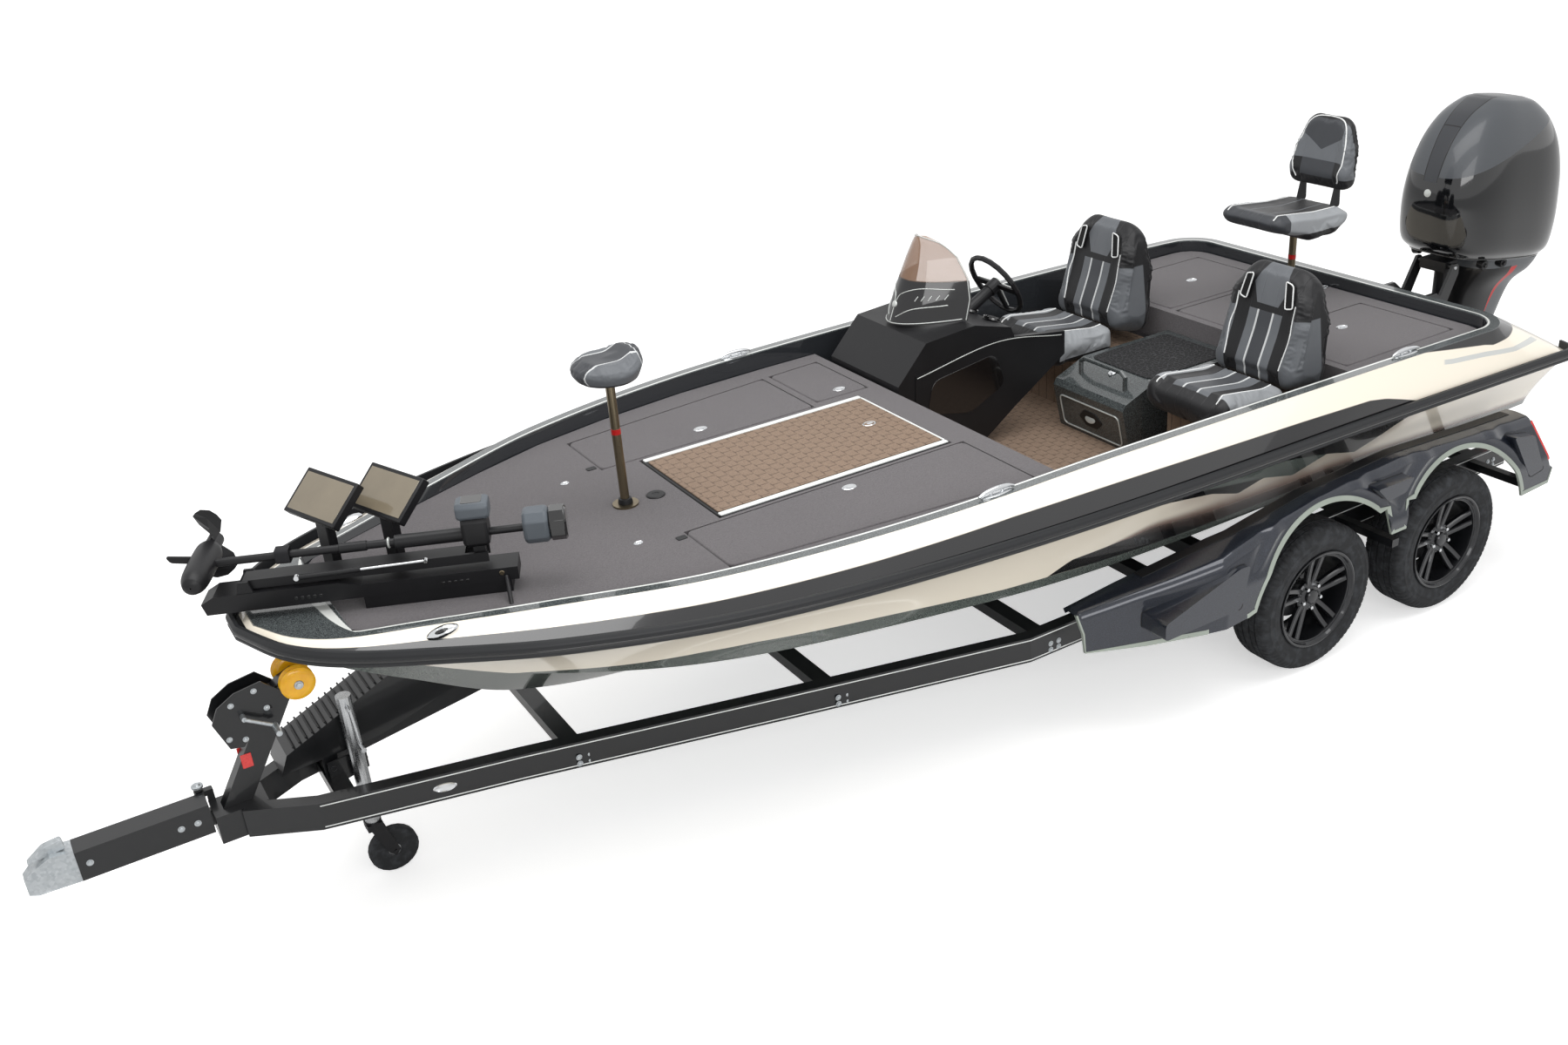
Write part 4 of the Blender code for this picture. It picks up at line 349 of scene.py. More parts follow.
def swept(path, profile, closed=False, flat=(0, 0, 1), sizes=None):
    """A closed profile of side and over offsets, carried square to a path, scaled along it by sizes."""
    path = np.asarray(path, float)
    profile = np.asarray(profile, float)
    _, side, over = directions(path, closed, flat)
    sizes = np.ones(len(path)) if sizes is None else np.asarray(sizes, float)
    offset = profile[None, :, 0, None] * side[:, None, :] + profile[None, :, 1, None] * over[:, None, :]
    points = path[:, None, :] + offset * sizes[:, None, None]
    return surface(points, ring=True, loop=closed, ends=not closed)


def tube(path, radius, sides=12, closed=False, flat=(0, 0, 1), sizes=None):
    """A round bar along a path."""
    a = np.linspace(0, 2 * math.pi, sides, endpoint=False)
    return swept(path, np.stack([radius * np.cos(a), radius * np.sin(a)], -1), closed, flat, sizes)


def basis(axis):
    """Two unit vectors square to an axis, and the axis itself."""
    n = np.asarray(axis, float) / np.linalg.norm(axis)
    helper = np.array([0, 0, 1.0]) if abs(n[2]) < 0.9 else np.array([1.0, 0, 0])
    e = np.cross(helper, n)
    e /= np.linalg.norm(e)
    return e, np.cross(n, e), n


def lathed(profile, origin, axis, sides=40, loop=False):
    """A profile of radius and distance along, turned about an axis."""
    profile = np.asarray(profile, float)
    e1, e2, n = basis(axis)
    a = np.linspace(0, 2 * math.pi, sides, endpoint=False)
    ring = np.cos(a)[:, None] * e1 + np.sin(a)[:, None] * e2
    points = (np.asarray(origin, float) + profile[:, None, 1, None] * n
              + profile[:, None, 0, None] * ring[None])
    return surface(points, ring=True, loop=loop)


def rod(start, end, radius, sides=16):
    """A straight round bar between two places, its rims eased by 0.12 of its radius."""
    start, end = np.asarray(start, float), np.asarray(end, float)
    length = np.linalg.norm(end - start)
    lip = radius * 0.12
    profile = [(0, 0), (radius - lip, 0), (radius, lip), (radius, length - lip), (radius - lip, length),
               (0, length)]
    return lathed(profile, start, end - start, sides)


def slab(outline, low, high):
    """A closed outline given as points, from one offset to another."""
    outline = np.asarray(outline, float)
    n = len(outline)
    points = np.stack([outline + np.asarray(low, float), outline + np.asarray(high, float)])
    return surface(points, ring=True, ends=True) if n else None


def plan(outline, low, high):
    """A plan outline of X and Y between two heights."""
    flat = np.column_stack([np.asarray(outline, float), np.zeros(len(outline))])
    return slab(flat, (0, 0, low), (0, 0, high))


def side_view(outline, low, high):
    """A side outline of X and Z between two values of Y."""
    o = np.asarray(outline, float)
    return slab(np.column_stack([o[:, 0], np.zeros(len(o)), o[:, 1]]), (0, low, 0), (0, high, 0))


def box(x, y, z):
    """A block between two values of each axis."""
    return plan([(x[0], y[0]), (x[1], y[0]), (x[1], y[1]), (x[0], y[1])], z[0], z[1])


def rounded(corners, radius, steps=5):
    """An outline whose corners are rounded by a square-law curve from one side to the next."""
    c = np.asarray(corners, float)
    before, after = np.roll(c, 1, 0) - c, np.roll(c, -1, 0) - c
    cut_in = np.minimum(radius, 0.45 * np.linalg.norm(before, axis=1))[:, None]
    cut_out = np.minimum(radius, 0.45 * np.linalg.norm(after, axis=1))[:, None]
    a = c + before / np.linalg.norm(before, axis=1)[:, None] * cut_in
    b = c + after / np.linalg.norm(after, axis=1)[:, None] * cut_out
    t = np.linspace(0, 1, steps)[None, :, None]
    return ((1 - t) ** 2 * a[:, None] + 2 * t * (1 - t) * c[:, None] + t ** 2 * b[:, None]).reshape(-1, c.shape[1])


def make(name, form, finish, body="rig", stands_for=(), slot=None, sharp=35.0, soften=None,
         wall=0.0):
    """Puts a form into the scene as a piece that rides on a body."""
    mesh = bpy.data.meshes.new(name)
    verts = form.verts - np.array([AFT, 0, 0])
    mesh.from_pydata(verts.tolist(), [], form.faces)
    layer = mesh.uv_layers.new(name="sheet")
    layer.data.foreach_set("uv", form.sheet.astype(np.float32).ravel())
    bm = bmesh.new()
    bm.from_mesh(mesh)
    bmesh.ops.remove_doubles(bm, verts=bm.verts, dist=0.00002)
    bmesh.ops.recalc_face_normals(bm, faces=bm.faces)
    middle = sum((v.co for v in bm.verts), Vector()) / max(1, len(bm.verts))
    outward = sum(f.calc_area() * f.normal.dot(f.calc_center_median() - middle) for f in bm.faces)
    if outward < 0:
        bmesh.ops.reverse_faces(bm, faces=bm.faces)
    bm.to_mesh(mesh)
    bm.free()
    mesh.shade_smooth()
    if sharp:
        mesh.set_sharp_from_angle(angle=math.radians(sharp))
    finishes = finish if isinstance(finish, (list, tuple)) else [finish]
    for one in finishes:
        mesh.materials.append(one)
    obj = bpy.data.objects.new(name, mesh)
    bpy.context.scene.collection.objects.link(obj)
    if wall:
        thick = obj.modifiers.new("wall", 'SOLIDIFY')
        thick.thickness = wall
        thick.offset = -1.0
    if soften:
        edge = obj.modifiers.new("soften", 'BEVEL')
        edge.width, edge.segments = soften
        edge.limit_method = 'ANGLE'
        edge.angle_limit = math.radians(32)
        edge.harden_normals = False
    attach(obj, body)
    if stands_for:
        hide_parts(*stands_for)
    return obj


# Finishes

def tone(red, green, blue):
    """A colour as it looks on a screen, 0 to 255, in the linear values that shaders take."""
    return tuple(((c / 255 + 0.055) / 1.055) ** 2.4 if c > 10 else c / 255 / 12.92 for c in (red, green, blue))


CREAM = tone(250, 241, 224)
TAUPE = tone(148, 128, 118)
COAL = tone(24, 24, 26)
FLAKE_DARK, FLAKE_LIGHT = tone(62, 68, 66), tone(120, 128, 122)
SILVER = tone(205, 207, 204)


def flake_colour(paint, place, dark=FLAKE_DARK, light=FLAKE_LIGHT):
    """Metal flake: small cells, each as bright as its own random value."""
    cell = paint.cells(place, 420.0, out=1)
    fine = paint.noise(place, 160.0, 3.0)
    return paint.mix((cell * 0.75 + fine * 0.35).ease(0.25, 0.95), dark, light)


def plastic(name, colour, rough=0.45, grain=500.0, depth=0.15, coat=0.0, metal=0.0):
    """Moulded plastic or paint, with a fine grain and a little change of tone and gloss."""
    paint = Paint(name, Metallic=metal, Coat_Weight=coat, Coat_Roughness=0.06)
    place = paint.place()
    broad = paint.noise(place, 7.0, 3.0)
    fine = paint.noise(place, grain, 2.0)
    darker = tuple(c * 0.82 for c in colour)
    shade = paint.mix(broad, darker, tuple(min(1.0, c * 1.12) for c in colour))
    return paint.done(colour=shade, rough=broad * 0.16 + (rough - 0.08), normal=paint.bump(fine, depth, 0.0006))


def metal(name, colour, rough=0.22):
    """Bare or plated metal with faint streaks and clouding."""
    paint = Paint(name, Metallic=1.0)
    place = paint.place()
    streak = paint.noise(paint.scaled(place, (30.0, 30.0, 30.0)), 6.0, 5.0)
    cloud = paint.noise(place, 22.0, 3.0)
    shade = paint.mix(cloud, tuple(c * 0.78 for c in colour), colour)
    return paint.done(colour=shade, rough=streak * 0.22 + (rough - 0.1), normal=paint.bump(streak, 0.06, 0.0005))


def galvanised():
    """Zinc plate: spangled cells under a dull bloom."""
    paint = Paint("zinc_plate", Metallic=0.85)
    place = paint.place()
    spangle = paint.cells(place, 90.0, out=1)
    bloom = paint.noise(place, 14.0, 4.0)
    shade = paint.mix((spangle * 0.5 + bloom * 0.5), tone(150, 156, 160), tone(205, 209, 211))
    return paint.done(colour=shade, rough=spangle * 0.2 + 0.3)


def carpet(name, low, high):
    """Marled marine carpet: tufts of several greys, with a lofted bump and a soft sheen."""
    paint = Paint(name, Roughness=0.95, Sheen_Weight=0.25, Sheen_Roughness=0.6)
    place = paint.place()
    tuft = paint.noise(place, 430.0, 2.0, 0.7)
    clump = paint.noise(place, 120.0, 3.0)
    drift = paint.noise(place, 3.0, 3.0)
    warm = paint.mix(clump.ease(0.35, 0.65), low, high)
    shade = paint.mix(tuft.ease(0.42, 0.62), warm, tuple(c * 1.55 for c in high))
    shade = paint.mix(drift * 0.25, shade, low)
    height = tuft * 0.7 + clump * 0.5
    return paint.done(colour=shade, normal=paint.bump(height, 0.7, 0.004))


def woven_mat():
    """Foam mat with a basket of shingles: rows across, each shifted by half a shingle, darker along each shingle's
    edges.
    """
    paint = Paint("deck_mat_brown", Roughness=0.72)
    place = paint.place()
    x, y, _ = paint.split(place)
    row = (x / 0.046).math('FLOOR', x / 0.046)
    shift = row.math('MODULO', row, 2.0) * 0.5
    across = (y / 0.062 + shift).wrap(1.0)
    down = (x / 0.046).wrap(1.0)
    curve = (across - 0.5) * (across - 0.5) * 0.55
    dip = (down + curve).wrap(1.0)
    edge = dip.ease(0.10, 0.0).either(across.ease(0.07, 0.0)).either(across.ease(0.93, 1.0))
    fibre = paint.noise(paint.scaled(place, (40.0, 400.0, 40.0)), 3.0, 4.0)
    shade = paint.mix(fibre.ease(0.3, 0.75), tone(112, 94, 80), tone(150, 129, 111))
    shade = paint.mix(edge * 0.75, shade, tone(72, 58, 48))
    height = dip * 0.6 - edge * 0.9 + fibre * 0.15
    return paint.done(colour=shade, rough=fibre * 0.2 + 0.6, normal=paint.bump(height, 0.55, 0.004))


def hull_finish():
    """Sides in bands over a sheet of station and share of the side's height, 0 at the chine, 1 at the rail.
    Cream, with a flake bottom, and dark wedges under the rail whose lower edge fades out through taupe."""
    paint = Paint("hull_gelcoat", Roughness=0.2, Coat_Weight=1.0, Coat_Roughness=0.03)
    place = paint.place()
    x, up, _ = paint.split(paint.sheet())
    zigzag = x.table((0.0, 1.2), (1.0, 1.12), (1.176, 0.926), (1.275, 0.791), (1.365, 0.626), (1.492, 0.452),
                     (1.736, 0.652), (1.908, 0.457), (2.152, 0.643), (2.27, 0.509), (2.487, 0.709),
                     (2.776, 0.843), (3.228, 0.930), (3.70, 1.01), (4.2, 1.2))
    flake_low = x.table((0.0, 1.2), (2.152, 0.643), (2.65, 0.878), (2.912, 0.948), (3.237, 0.972), (3.7, 1.05),
                        (4.2, 1.2))
    wedge_top = x.table((0.0, 0.883), (1.221, 0.883), (1.583, 0.891), (1.989, 0.909), (2.252, 0.935),
                        (2.50, 1.08), (6.4, 1.2))
    wedge_low = x.table((0.0, 1.2), (1.176, 0.926), (1.275, 0.791), (1.365, 0.626), (1.492, 0.452),
                        (1.736, 0.652), (1.944, 0.778), (2.243, 0.925), (2.5, 1.2), (6.4, 1.2))
    bottom = x.table((0.0, 0.10), (2.6, 0.12), (3.2, 0.157), (3.5, 0.155), (4.15, 0.25), (4.62, 0.30),
                     (4.83, 0.27), (5.1, 0.15), (5.4, 0.05), (5.6, -0.12), (6.4, -0.3))
    shadow_top = x.table((0.0, -0.1), (2.179, -0.026), (2.622, 0.30), (2.921, 0.396), (3.183, 0.343),
                         (3.30, 0.10), (6.4, -0.4))
    soft_dark = x.table((0.0, 0.03), (0.5, 0.065), (1.2, 0.157), (2.0, 0.161), (2.4, 0.20), (2.75, 0.36),
                        (3.0, 0.30), (3.3, -0.6), (6.4, -0.8))
    soft_light = x.table((0.0, 0.25), (0.6, 0.34), (1.2, 0.46), (1.7, 0.62), (2.4, 0.66), (2.8, 0.62),
                         (3.0, 0.42), (3.3, -0.3), (6.4, -0.5))
    fade = ((up - soft_dark) / (soft_light - soft_dark)).ease(0.0, 1.0)
    side = paint.mix(fade.ease(0.0, 0.45), tone(60, 52, 50), TAUPE)
    side = paint.mix(fade.ease(0.3, 1.0), side, CREAM)
    flake = flake_colour(paint, place)
    over = (up - zigzag).ease(-0.004, 0.004)
    glow = (zigzag - up).ease(0.30, 0.0) * x.band(1.1, 2.6, 0.25) * (1 - over)
    side = paint.mix(glow * 0.45, side, TAUPE)
    side = paint.mix((bottom - up).ease(-0.006, 0.006), side, flake)
    side = paint.mix((shadow_top - up).ease(-0.008, 0.008) * (up - bottom).ease(-0.006, 0.006), side, COAL)
    side = paint.mix(over, side, flake)
    wedge = (up - wedge_low).ease(-0.004, 0.004) * (wedge_top - up).ease(-0.004, 0.004)
    first = (flake_low - up).ease(-0.004, 0.004) * x.band(2.152, 3.7)
    side = paint.mix(over * wedge.either(first), side, COAL)
    pebble = paint.noise(place, 2.2, 2.0)
    return paint.done(colour=side, rough=pebble * 0.08 + 0.12, coat=0.9 + 0.1 * pebble)


def cap_finish():
    """Bands over a sheet of station and share: 0 to 1 up the outside, 1 to 2 across the lip, 2 to 3 inside.
    A black band over the rail under cream, a flake lip with a painted highlight as a near-white line by its
    inner edge, and at the stern corner a second black band and a silver strip."""
    paint = Paint("cap_gelcoat", Roughness=0.2, Coat_Weight=1.0, Coat_Roughness=0.03)
    place = paint.place()
    x, up, _ = paint.split(paint.sheet())
    black_top = x.table((0.0, -0.2), (1.10, -0.1), (1.221, 0.122), (1.347, 0.261), (1.447, 0.365), (1.555, 0.43),
                        (2.0, 0.47), (2.885, 0.52), (3.6, 0.55), (4.2, 0.50), (5.26, 0.478), (5.8, 0.52),
                        (6.321, 0.50))
    corner_low = x.table((0.0, 0.84), (0.38, 0.72), (0.63, 0.70), (1.0, 0.90), (1.25, 1.05), (6.321, 1.1))
    strip_low = x.table((0.0, 0.45), (0.40, 0.42), (0.97, 0.60), (1.30, 0.80), (6.321, 0.8))
    side = paint.mix((black_top - up).ease(-0.01, 0.01), CREAM, COAL)
    corner = (up - corner_low).ease(-0.01, 0.01) * (1.3 - x).ease(0.0, 0.02)
    side = paint.mix(corner, side, COAL)
    strip = (up - strip_low).band(0.0, 0.09, 0.008) * x.band(0.10, 1.02, 0.02)
    side = paint.mix(strip, side, SILVER)
    flake = flake_colour(paint, place, tone(44, 48, 50), tone(104, 110, 110))
    side = paint.mix((up - 1.0).ease(-0.02, 0.02), side, flake)
    # painted highlight: a near-white line across the lip just short of its inner edge
    line = up.band(1.78, 1.92, 0.02)
    side = paint.mix(line, side, tone(226, 228, 224))
    side = paint.mix((up - 2.02).ease(0.0, 0.02), side, tone(40, 42, 45))
    pebble = paint.noise(place, 2.2, 2.0)
    return paint.done(colour=side, rough=pebble * 0.08 + 0.12)


def rubber_finish():
    """Tyre rubber: dull black with a dusty bloom on the sidewall and moulding rings."""
    paint = Paint("tyre_rubber", Roughness=0.75)
    place = paint.place()
    dust = paint.noise(place, 26.0, 4.0)
    fine = paint.noise(place, 700.0, 2.0)
    shade = paint.mix(dust.ease(0.4, 0.75), tone(28, 29, 31), tone(52, 54, 57))
    return paint.done(colour=shade, rough=dust * 0.2 + 0.62, normal=paint.bump(fine, 0.12, 0.0006))


def vinyl(name, colour, grain=260.0):
    """Marine vinyl: a pebbled leather grain, with a slight sheen and faint creases."""
    paint = Paint(name, Sheen_Weight=0.06)
    place = paint.place()
    pebble = paint.cells(place, grain, 'SMOOTH_F1')
    crease = paint.noise(place, 18.0, 5.0, 0.6)
    shade = paint.mix(crease, tuple(c * 0.85 for c in colour), tuple(min(1.0, c * 1.15) for c in colour))
    height = pebble * 0.4 + crease * 0.5
    return paint.done(colour=shade, rough=crease * 0.2 + 0.38, normal=paint.bump(height, 0.25, 0.0012))


def tinted_shield():
    """Smoked acrylic: clear brown above a line that falls aft, painted black below it."""
    paint = Paint("smoked_shield", Roughness=0.06, Coat_Weight=0.6)
    x, up, _ = paint.split(paint.sheet())
    clear = (up - (0.52 + (x - 0.5).abs() * -0.10)).ease(-0.01, 0.01)
    haze = paint.noise(paint.place(), 9.0, 3.0)
    shade = paint.mix(clear, tone(16, 16, 18), tone(150, 118, 96))
    return paint.done(colour=shade, alpha=1 - clear * (0.55 - 0.1 * haze), rough=haze * 0.05 + 0.04)


def amber():
    """Cast urethane: amber with a little light through it."""
    paint = Paint("amber_roller", Roughness=0.25, Subsurface_Weight=0.35, Subsurface_Radius=(0.02, 0.01, 0.002),
                  Coat_Weight=0.5)
    cloud = paint.noise(paint.place(), 30.0, 3.0)
    return paint.done(colour=paint.mix(cloud, tone(214, 150, 8), tone(244, 190, 30)))


def lens(name, colour):
    """Lamp lens or reflector: prismatic ribs under a clear face."""
    paint = Paint(name, Roughness=0.12, Coat_Weight=1.0)
    place = paint.place()
    facet = paint.cells(place, 300.0, out=1)
    shade = paint.mix(facet * 0.5, colour, tuple(min(1.0, c * 1.6 + 0.02) for c in colour))
    return paint.done(colour=shade, normal=paint.bump(facet, 0.2, 0.001))


def fender_finish():
    """Navy-black metallic with fine flake under clear coat."""
    paint = Paint("fender_navy_black", Metallic=0.45, Coat_Weight=1.0, Coat_Roughness=0.04)
    place = paint.place()
    cell = paint.cells(place, 900.0, out=1)
    broad = paint.noise(place, 3.0, 2.0)
    shade = paint.mix(cell.ease(0.5, 1.0) * 0.6, tone(24, 28, 38), tone(62, 70, 86))
    return paint.done(colour=shade, rough=broad * 0.1 + 0.24)


def honeycomb():
    """Black traction mat with a net of raised cells."""
    paint = Paint("step_mat", Roughness=0.8)
    place = paint.place()
    cell = paint.cells(place, 46.0, 'DISTANCE_TO_EDGE')
    ridge = cell.ease(0.10, 0.03)
    fine = paint.noise(place, 600.0, 2.0)
    shade = paint.mix(ridge, tone(20, 20, 21), tone(52, 52, 54))
    return paint.done(colour=shade, normal=paint.bump(ridge + fine * 0.2, 0.5, 0.002))


HULL = hull_finish()
CAP = cap_finish()
BLACK_RAIL = plastic("rail_rubber", tone(34, 35, 37), 0.42)
CARPET = carpet("deck_carpet", tone(60, 56, 58), tone(84, 80, 82))
CARPET_DARK = carpet("bunk_carpet", tone(30, 30, 31), tone(44, 44, 46))
MAT = woven_mat()
GLOSS = plastic("gloss_black", tone(14, 14, 15), 0.16, 300.0, 0.02, coat=1.0)
SATIN = plastic("satin_black", tone(22, 22, 24), 0.42)
FRAME = plastic("frame_black", tone(20, 21, 23), 0.34, 350.0, 0.12, coat=0.4)
COWL_BLACK = plastic("cowl_black", tone(12, 12, 14), 0.14, 300.0, 0.02, coat=1.0)
SILVER_TRIM = plastic("silver_trim", tone(196, 199, 196), 0.3, 400.0, 0.03, coat=0.3, metal=0.35)
SAGE_TRIM = plastic("fender_lip", tone(158, 166, 156), 0.3, 400.0, 0.04, coat=0.4, metal=0.3)
WHITE_TRIM = plastic("white_trim", tone(226, 228, 226), 0.4)
CHROME = metal("chrome", tone(226, 228, 230), 0.14)
STEEL = metal("steel", tone(196, 198, 200), 0.26)
ZINC = galvanised()
BRONZE = metal("bronze_post", tone(140, 128, 106), 0.3)
RED = plastic("red_accent", tone(190, 24, 22), 0.3, coat=0.6)
TYRE = rubber_finish()
ALLOY = plastic("alloy_black", tone(30, 31, 34), 0.3, 300.0, 0.04, coat=0.7, metal=0.5)
FENDER = fender_finish()
PIPING = vinyl("white_piping", tone(224, 225, 224), 500.0)
SHIELD = tinted_shield()
AMBER = amber()
RED_LENS = lens("red_reflector", tone(196, 22, 14))
AMBER_LENS = lens("amber_marker", tone(240, 130, 20))
STEP_MAT = honeycomb()


def flake_panel():
    """Moulded cockpit panels: dark metal flake under gloss."""
    paint = Paint("cockpit_flake", Roughness=0.25, Coat_Weight=0.8)
    return paint.done(colour=flake_colour(paint, paint.place(), tone(34, 37, 39), tone(86, 92, 92)))


FLAKE = flake_panel()


def give(finish, *names):
    """A finish for CAD nodes that stay."""
    for name in names:
        slots = NODES[name].material_slots
        for k in range(len(slots)):
            slots[k].material = finish
        if not slots:
            NODES[name].data.materials.append(finish)


# Hull, gunwale and rail, from the CAD's own lines

HULL_LINES = np.array((
    (0.000, 0.000, 0.775, 0.262, 0.957, 0.900, 0.819), (0.236, 0.000, 0.775, 0.256, 0.972, 0.916, 0.853),
    (0.473, 0.000, 0.750, 0.252, 1.000, 0.900, 0.863), (0.630, 0.010, 0.690, 0.310, 0.976, 0.878, 0.854),
    (0.757, 0.035, 0.575, 0.368, 0.890, 0.765, 0.837), (0.851, 0.150, 0.370, 0.430, 0.732, 0.570, 0.817),
    (0.914, 0.362, 0.200, 0.520, 0.560, 0.425, 0.802), (0.961, 0.540, 0.085, 0.620, 0.405, 0.315, 0.792),
    (0.985, 0.640, 0.040, 0.680, 0.262, 0.205, 0.789), (1.000, 0.725, 0.012, 0.735, 0.070, 0.060, 0.788)))
KEEL, CHINE, CHINE_RISE, SHEER, GUNWALE, GUNWALE_RISE = range(1, 7)
MOULD_LENGTH, HALF, KEEL_Z = 6.321, 1.205, 0.5
CORNER_SHARES = (0.0, 0.004, 0.0158, 0.06, 0.10)
DECK_Z = 1.274


def line_at(share, column):
    """The cubic through the table's rows whose slope at each row is the chord of its neighbours."""
    keys, values = HULL_LINES[:, 0], HULL_LINES[:, column]
    share = np.asarray(share, float)
    last = len(keys) - 1
    i = np.clip(np.searchsorted(keys[1:], share), 0, last - 1)
    before, after = np.maximum(i - 1, 0), np.minimum(i + 2, last)
    span = keys[i + 1] - keys[i]
    t = (share - keys[i]) / span
    rise_in = (values[i + 1] - values[before]) / (keys[i + 1] - keys[before]) * span
    rise_out = (values[after] - values[i]) / (keys[after] - keys[i]) * span
    return ((2 * t ** 3 - 3 * t ** 2 + 1) * values[i] + (t ** 3 - 2 * t ** 2 + t) * rise_in
            + (3 * t ** 2 - 2 * t ** 3) * values[i + 1] + (t ** 3 - t ** 2) * rise_out)


def sheer_z(x):
    """The height of the sheer at a station."""
    return 1.066 + 0.031 * x


def sheer_half(share):
    """Half beam under the rail, drawn in by a quarter circle at the transom's corner."""
    reach = np.maximum(0.0, 0.100 - share * MOULD_LENGTH)
    return line_at(share, SHEER) * HALF - 0.024 - (0.100 - np.sqrt(0.100 ** 2 - reach ** 2))


def hull_side(share, rows=14):
    """Half sections of the hull: straight from the pad to the chine, a turned-down flat, then the side as a
    parabola through chine, a waist and the sheer. Returns the points and their sheet places."""
    share = np.asarray(share, float)[:, None]
    x = share * MOULD_LENGTH
    keel = KEEL_Z + line_at(share, KEEL)
    chine_z = KEEL_Z + line_at(share, CHINE_RISE)
    chine = line_at(share, CHINE) * HALF
    flat = np.minimum(0.06, chine * 0.15)
    sheer = sheer_half(share)
    top = sheer_z(x)
    pad = np.minimum(0.06, chine * 0.4)
    low_z = chine_z - 0.010 * flat / 0.06
    run = np.linspace(0, 1, 9)[None, :]
    strake = 0.008 * np.exp(-((run - 0.55) / 0.05) ** 2) * (share < 0.8)
    bottom_y = pad + (chine - flat - pad) * run
    bottom_z = keel + (chine_z - keel) * run - strake
    t = np.linspace(0, 1, rows)[None, :]
    side_y = chine + (sheer - chine) * t - 0.05 * (sheer - chine) * 4 * t * (1 - t)
    side_z = low_z + (top - low_z) * t
    y = np.hstack([np.zeros_like(x), bottom_y, side_y])
    z = np.hstack([keel, bottom_z, side_z])
    rake = 0.150 * np.maximum(0.0, 1.0 - share / 0.06)
    forward = x + rake * (top - z) / (top - keel)
    up = np.hstack([np.full_like(x, -1.2), np.linspace(-1.0, -0.1, 9)[None, :] + 0 * x, t + 0 * x])
    return np.stack([forward, y, z], -1), np.stack([x + 0 * y, up], -1)


def sheeted(points, sheet):
    """A surface whose sheet places are given point by point."""
    form = surface(points)
    flat = sheet.reshape(-1, 2)
    order = np.concatenate([np.asarray(f) for f in form.faces])
    return Form(form.verts, form.faces, flat[order])


def build_hull_shell():
    """The hull from its own lines, over both sides and the transom."""
    share = 1 - (1 - np.linspace(0, 1, 130)) ** 1.35
    share = np.unique(np.concatenate([share, np.linspace(0, 0.02, 10)]))
    points, sheet = hull_side(share)
    port = sheeted(points, sheet)
    stern = points[0]
    across = np.linspace(1, -1, 9)[:, None, None]
    spread = np.concatenate([np.ones_like(across), across, np.ones_like(across)], -1)
    transom = sheeted(stern[None] * spread, np.repeat(sheet[None, 0], 9, 0))
    nose = points[-1]
    prow = sheeted(np.stack([nose, nose * (1, -1, 1)]), np.stack([sheet[-1], sheet[-1]]))
    make("hull_shell", port + port.mirrored() + transom + prow, HULL, stands_for=["hull"], sharp=24)
    build_cockpit_liner()


def build_cockpit_liner():
    """Cockpit walls: straight from the floor's edge to the coaming's foot, with a rolled panel edge under it."""
    x = np.linspace(1.42, 3.215, 24)
    foot = line_at(x / MOULD_LENGTH, GUNWALE) * HALF - 0.060 - 0.012
    top = sheer_z(x) + 0.006
    rows = np.linspace(0, 1, 8)
    y = 0.868 + (foot[:, None] - 0.868) * rows ** 0.8
    z = 0.846 + (top[:, None] - 0.846) * rows
    inner = np.stack([x[:, None] + 0 * y, y, z], -1)
    outer = inner[:, ::-1] + (0, 0.012, 0)
    wall = surface(np.concatenate([inner, outer], 1), ring=True, ends=True)
    make("cockpit_wall_port", wall, FLAKE, slot="hull")
    make("cockpit_wall_starboard", wall.mirrored(), FLAKE, slot="hull")


def cap_lines():
    """The cap's lengthwise lines, port side from stern to bow: outer foot, outer top, inner top, inner foot.
    Round the stern's corner they are rays of a circle, and forward of it shares of the half beam."""
    step = np.linspace(0, 4, 29)
    turn = math.pi / 2 * (1 - step / 4)
    share = np.interp(step, range(5), CORNER_SHARES)
    ray = np.stack([-np.sin(turn), np.cos(turn)], -1)
    side = float(line_at(0.10, GUNWALE)) * HALF - 0.06
    centre = np.array([0.680, side - 0.160])
    foot = np.stack([share * MOULD_LENGTH, sheer_half(share)], -1)
    corner = [foot] + [centre + ray * reach for reach in (0.220, 0.160, 0.136)]
    share_f = 0.10 + 0.90 * (1 - (1 - np.linspace(0.012, 1, 110)) ** 1.4)
    x = share_f * MOULD_LENGTH
    gunwale = line_at(share_f, GUNWALE) * HALF
    inner = np.maximum(gunwale - 0.06, 0.02)
    lean = np.where(inner > 0.04, 0.024, 0.0)
    inner_x = np.minimum(x, MOULD_LENGTH - 0.330)
    fore = [np.stack([x, sheer_half(share_f)], -1), np.stack([x - 0.045 * share_f ** 10, gunwale], -1),
            np.stack([inner_x, inner], -1), np.stack([inner_x, inner - lean], -1)]
    plan_lines = [np.vstack([a, b]) for a, b in zip(corner, fore)]
    shares = np.concatenate([share, share_f])
    top = KEEL_Z + line_at(np.maximum(shares, 0.10), GUNWALE_RISE)
    heights = [sheer_z(plan_lines[0][:, 0]) + 0.0003, top, top, sheer_z(plan_lines[3][:, 0]) + 0.0003]
    return [np.column_stack([p, z]) for p, z in zip(plan_lines, heights)], plan_lines[0][:, 0]


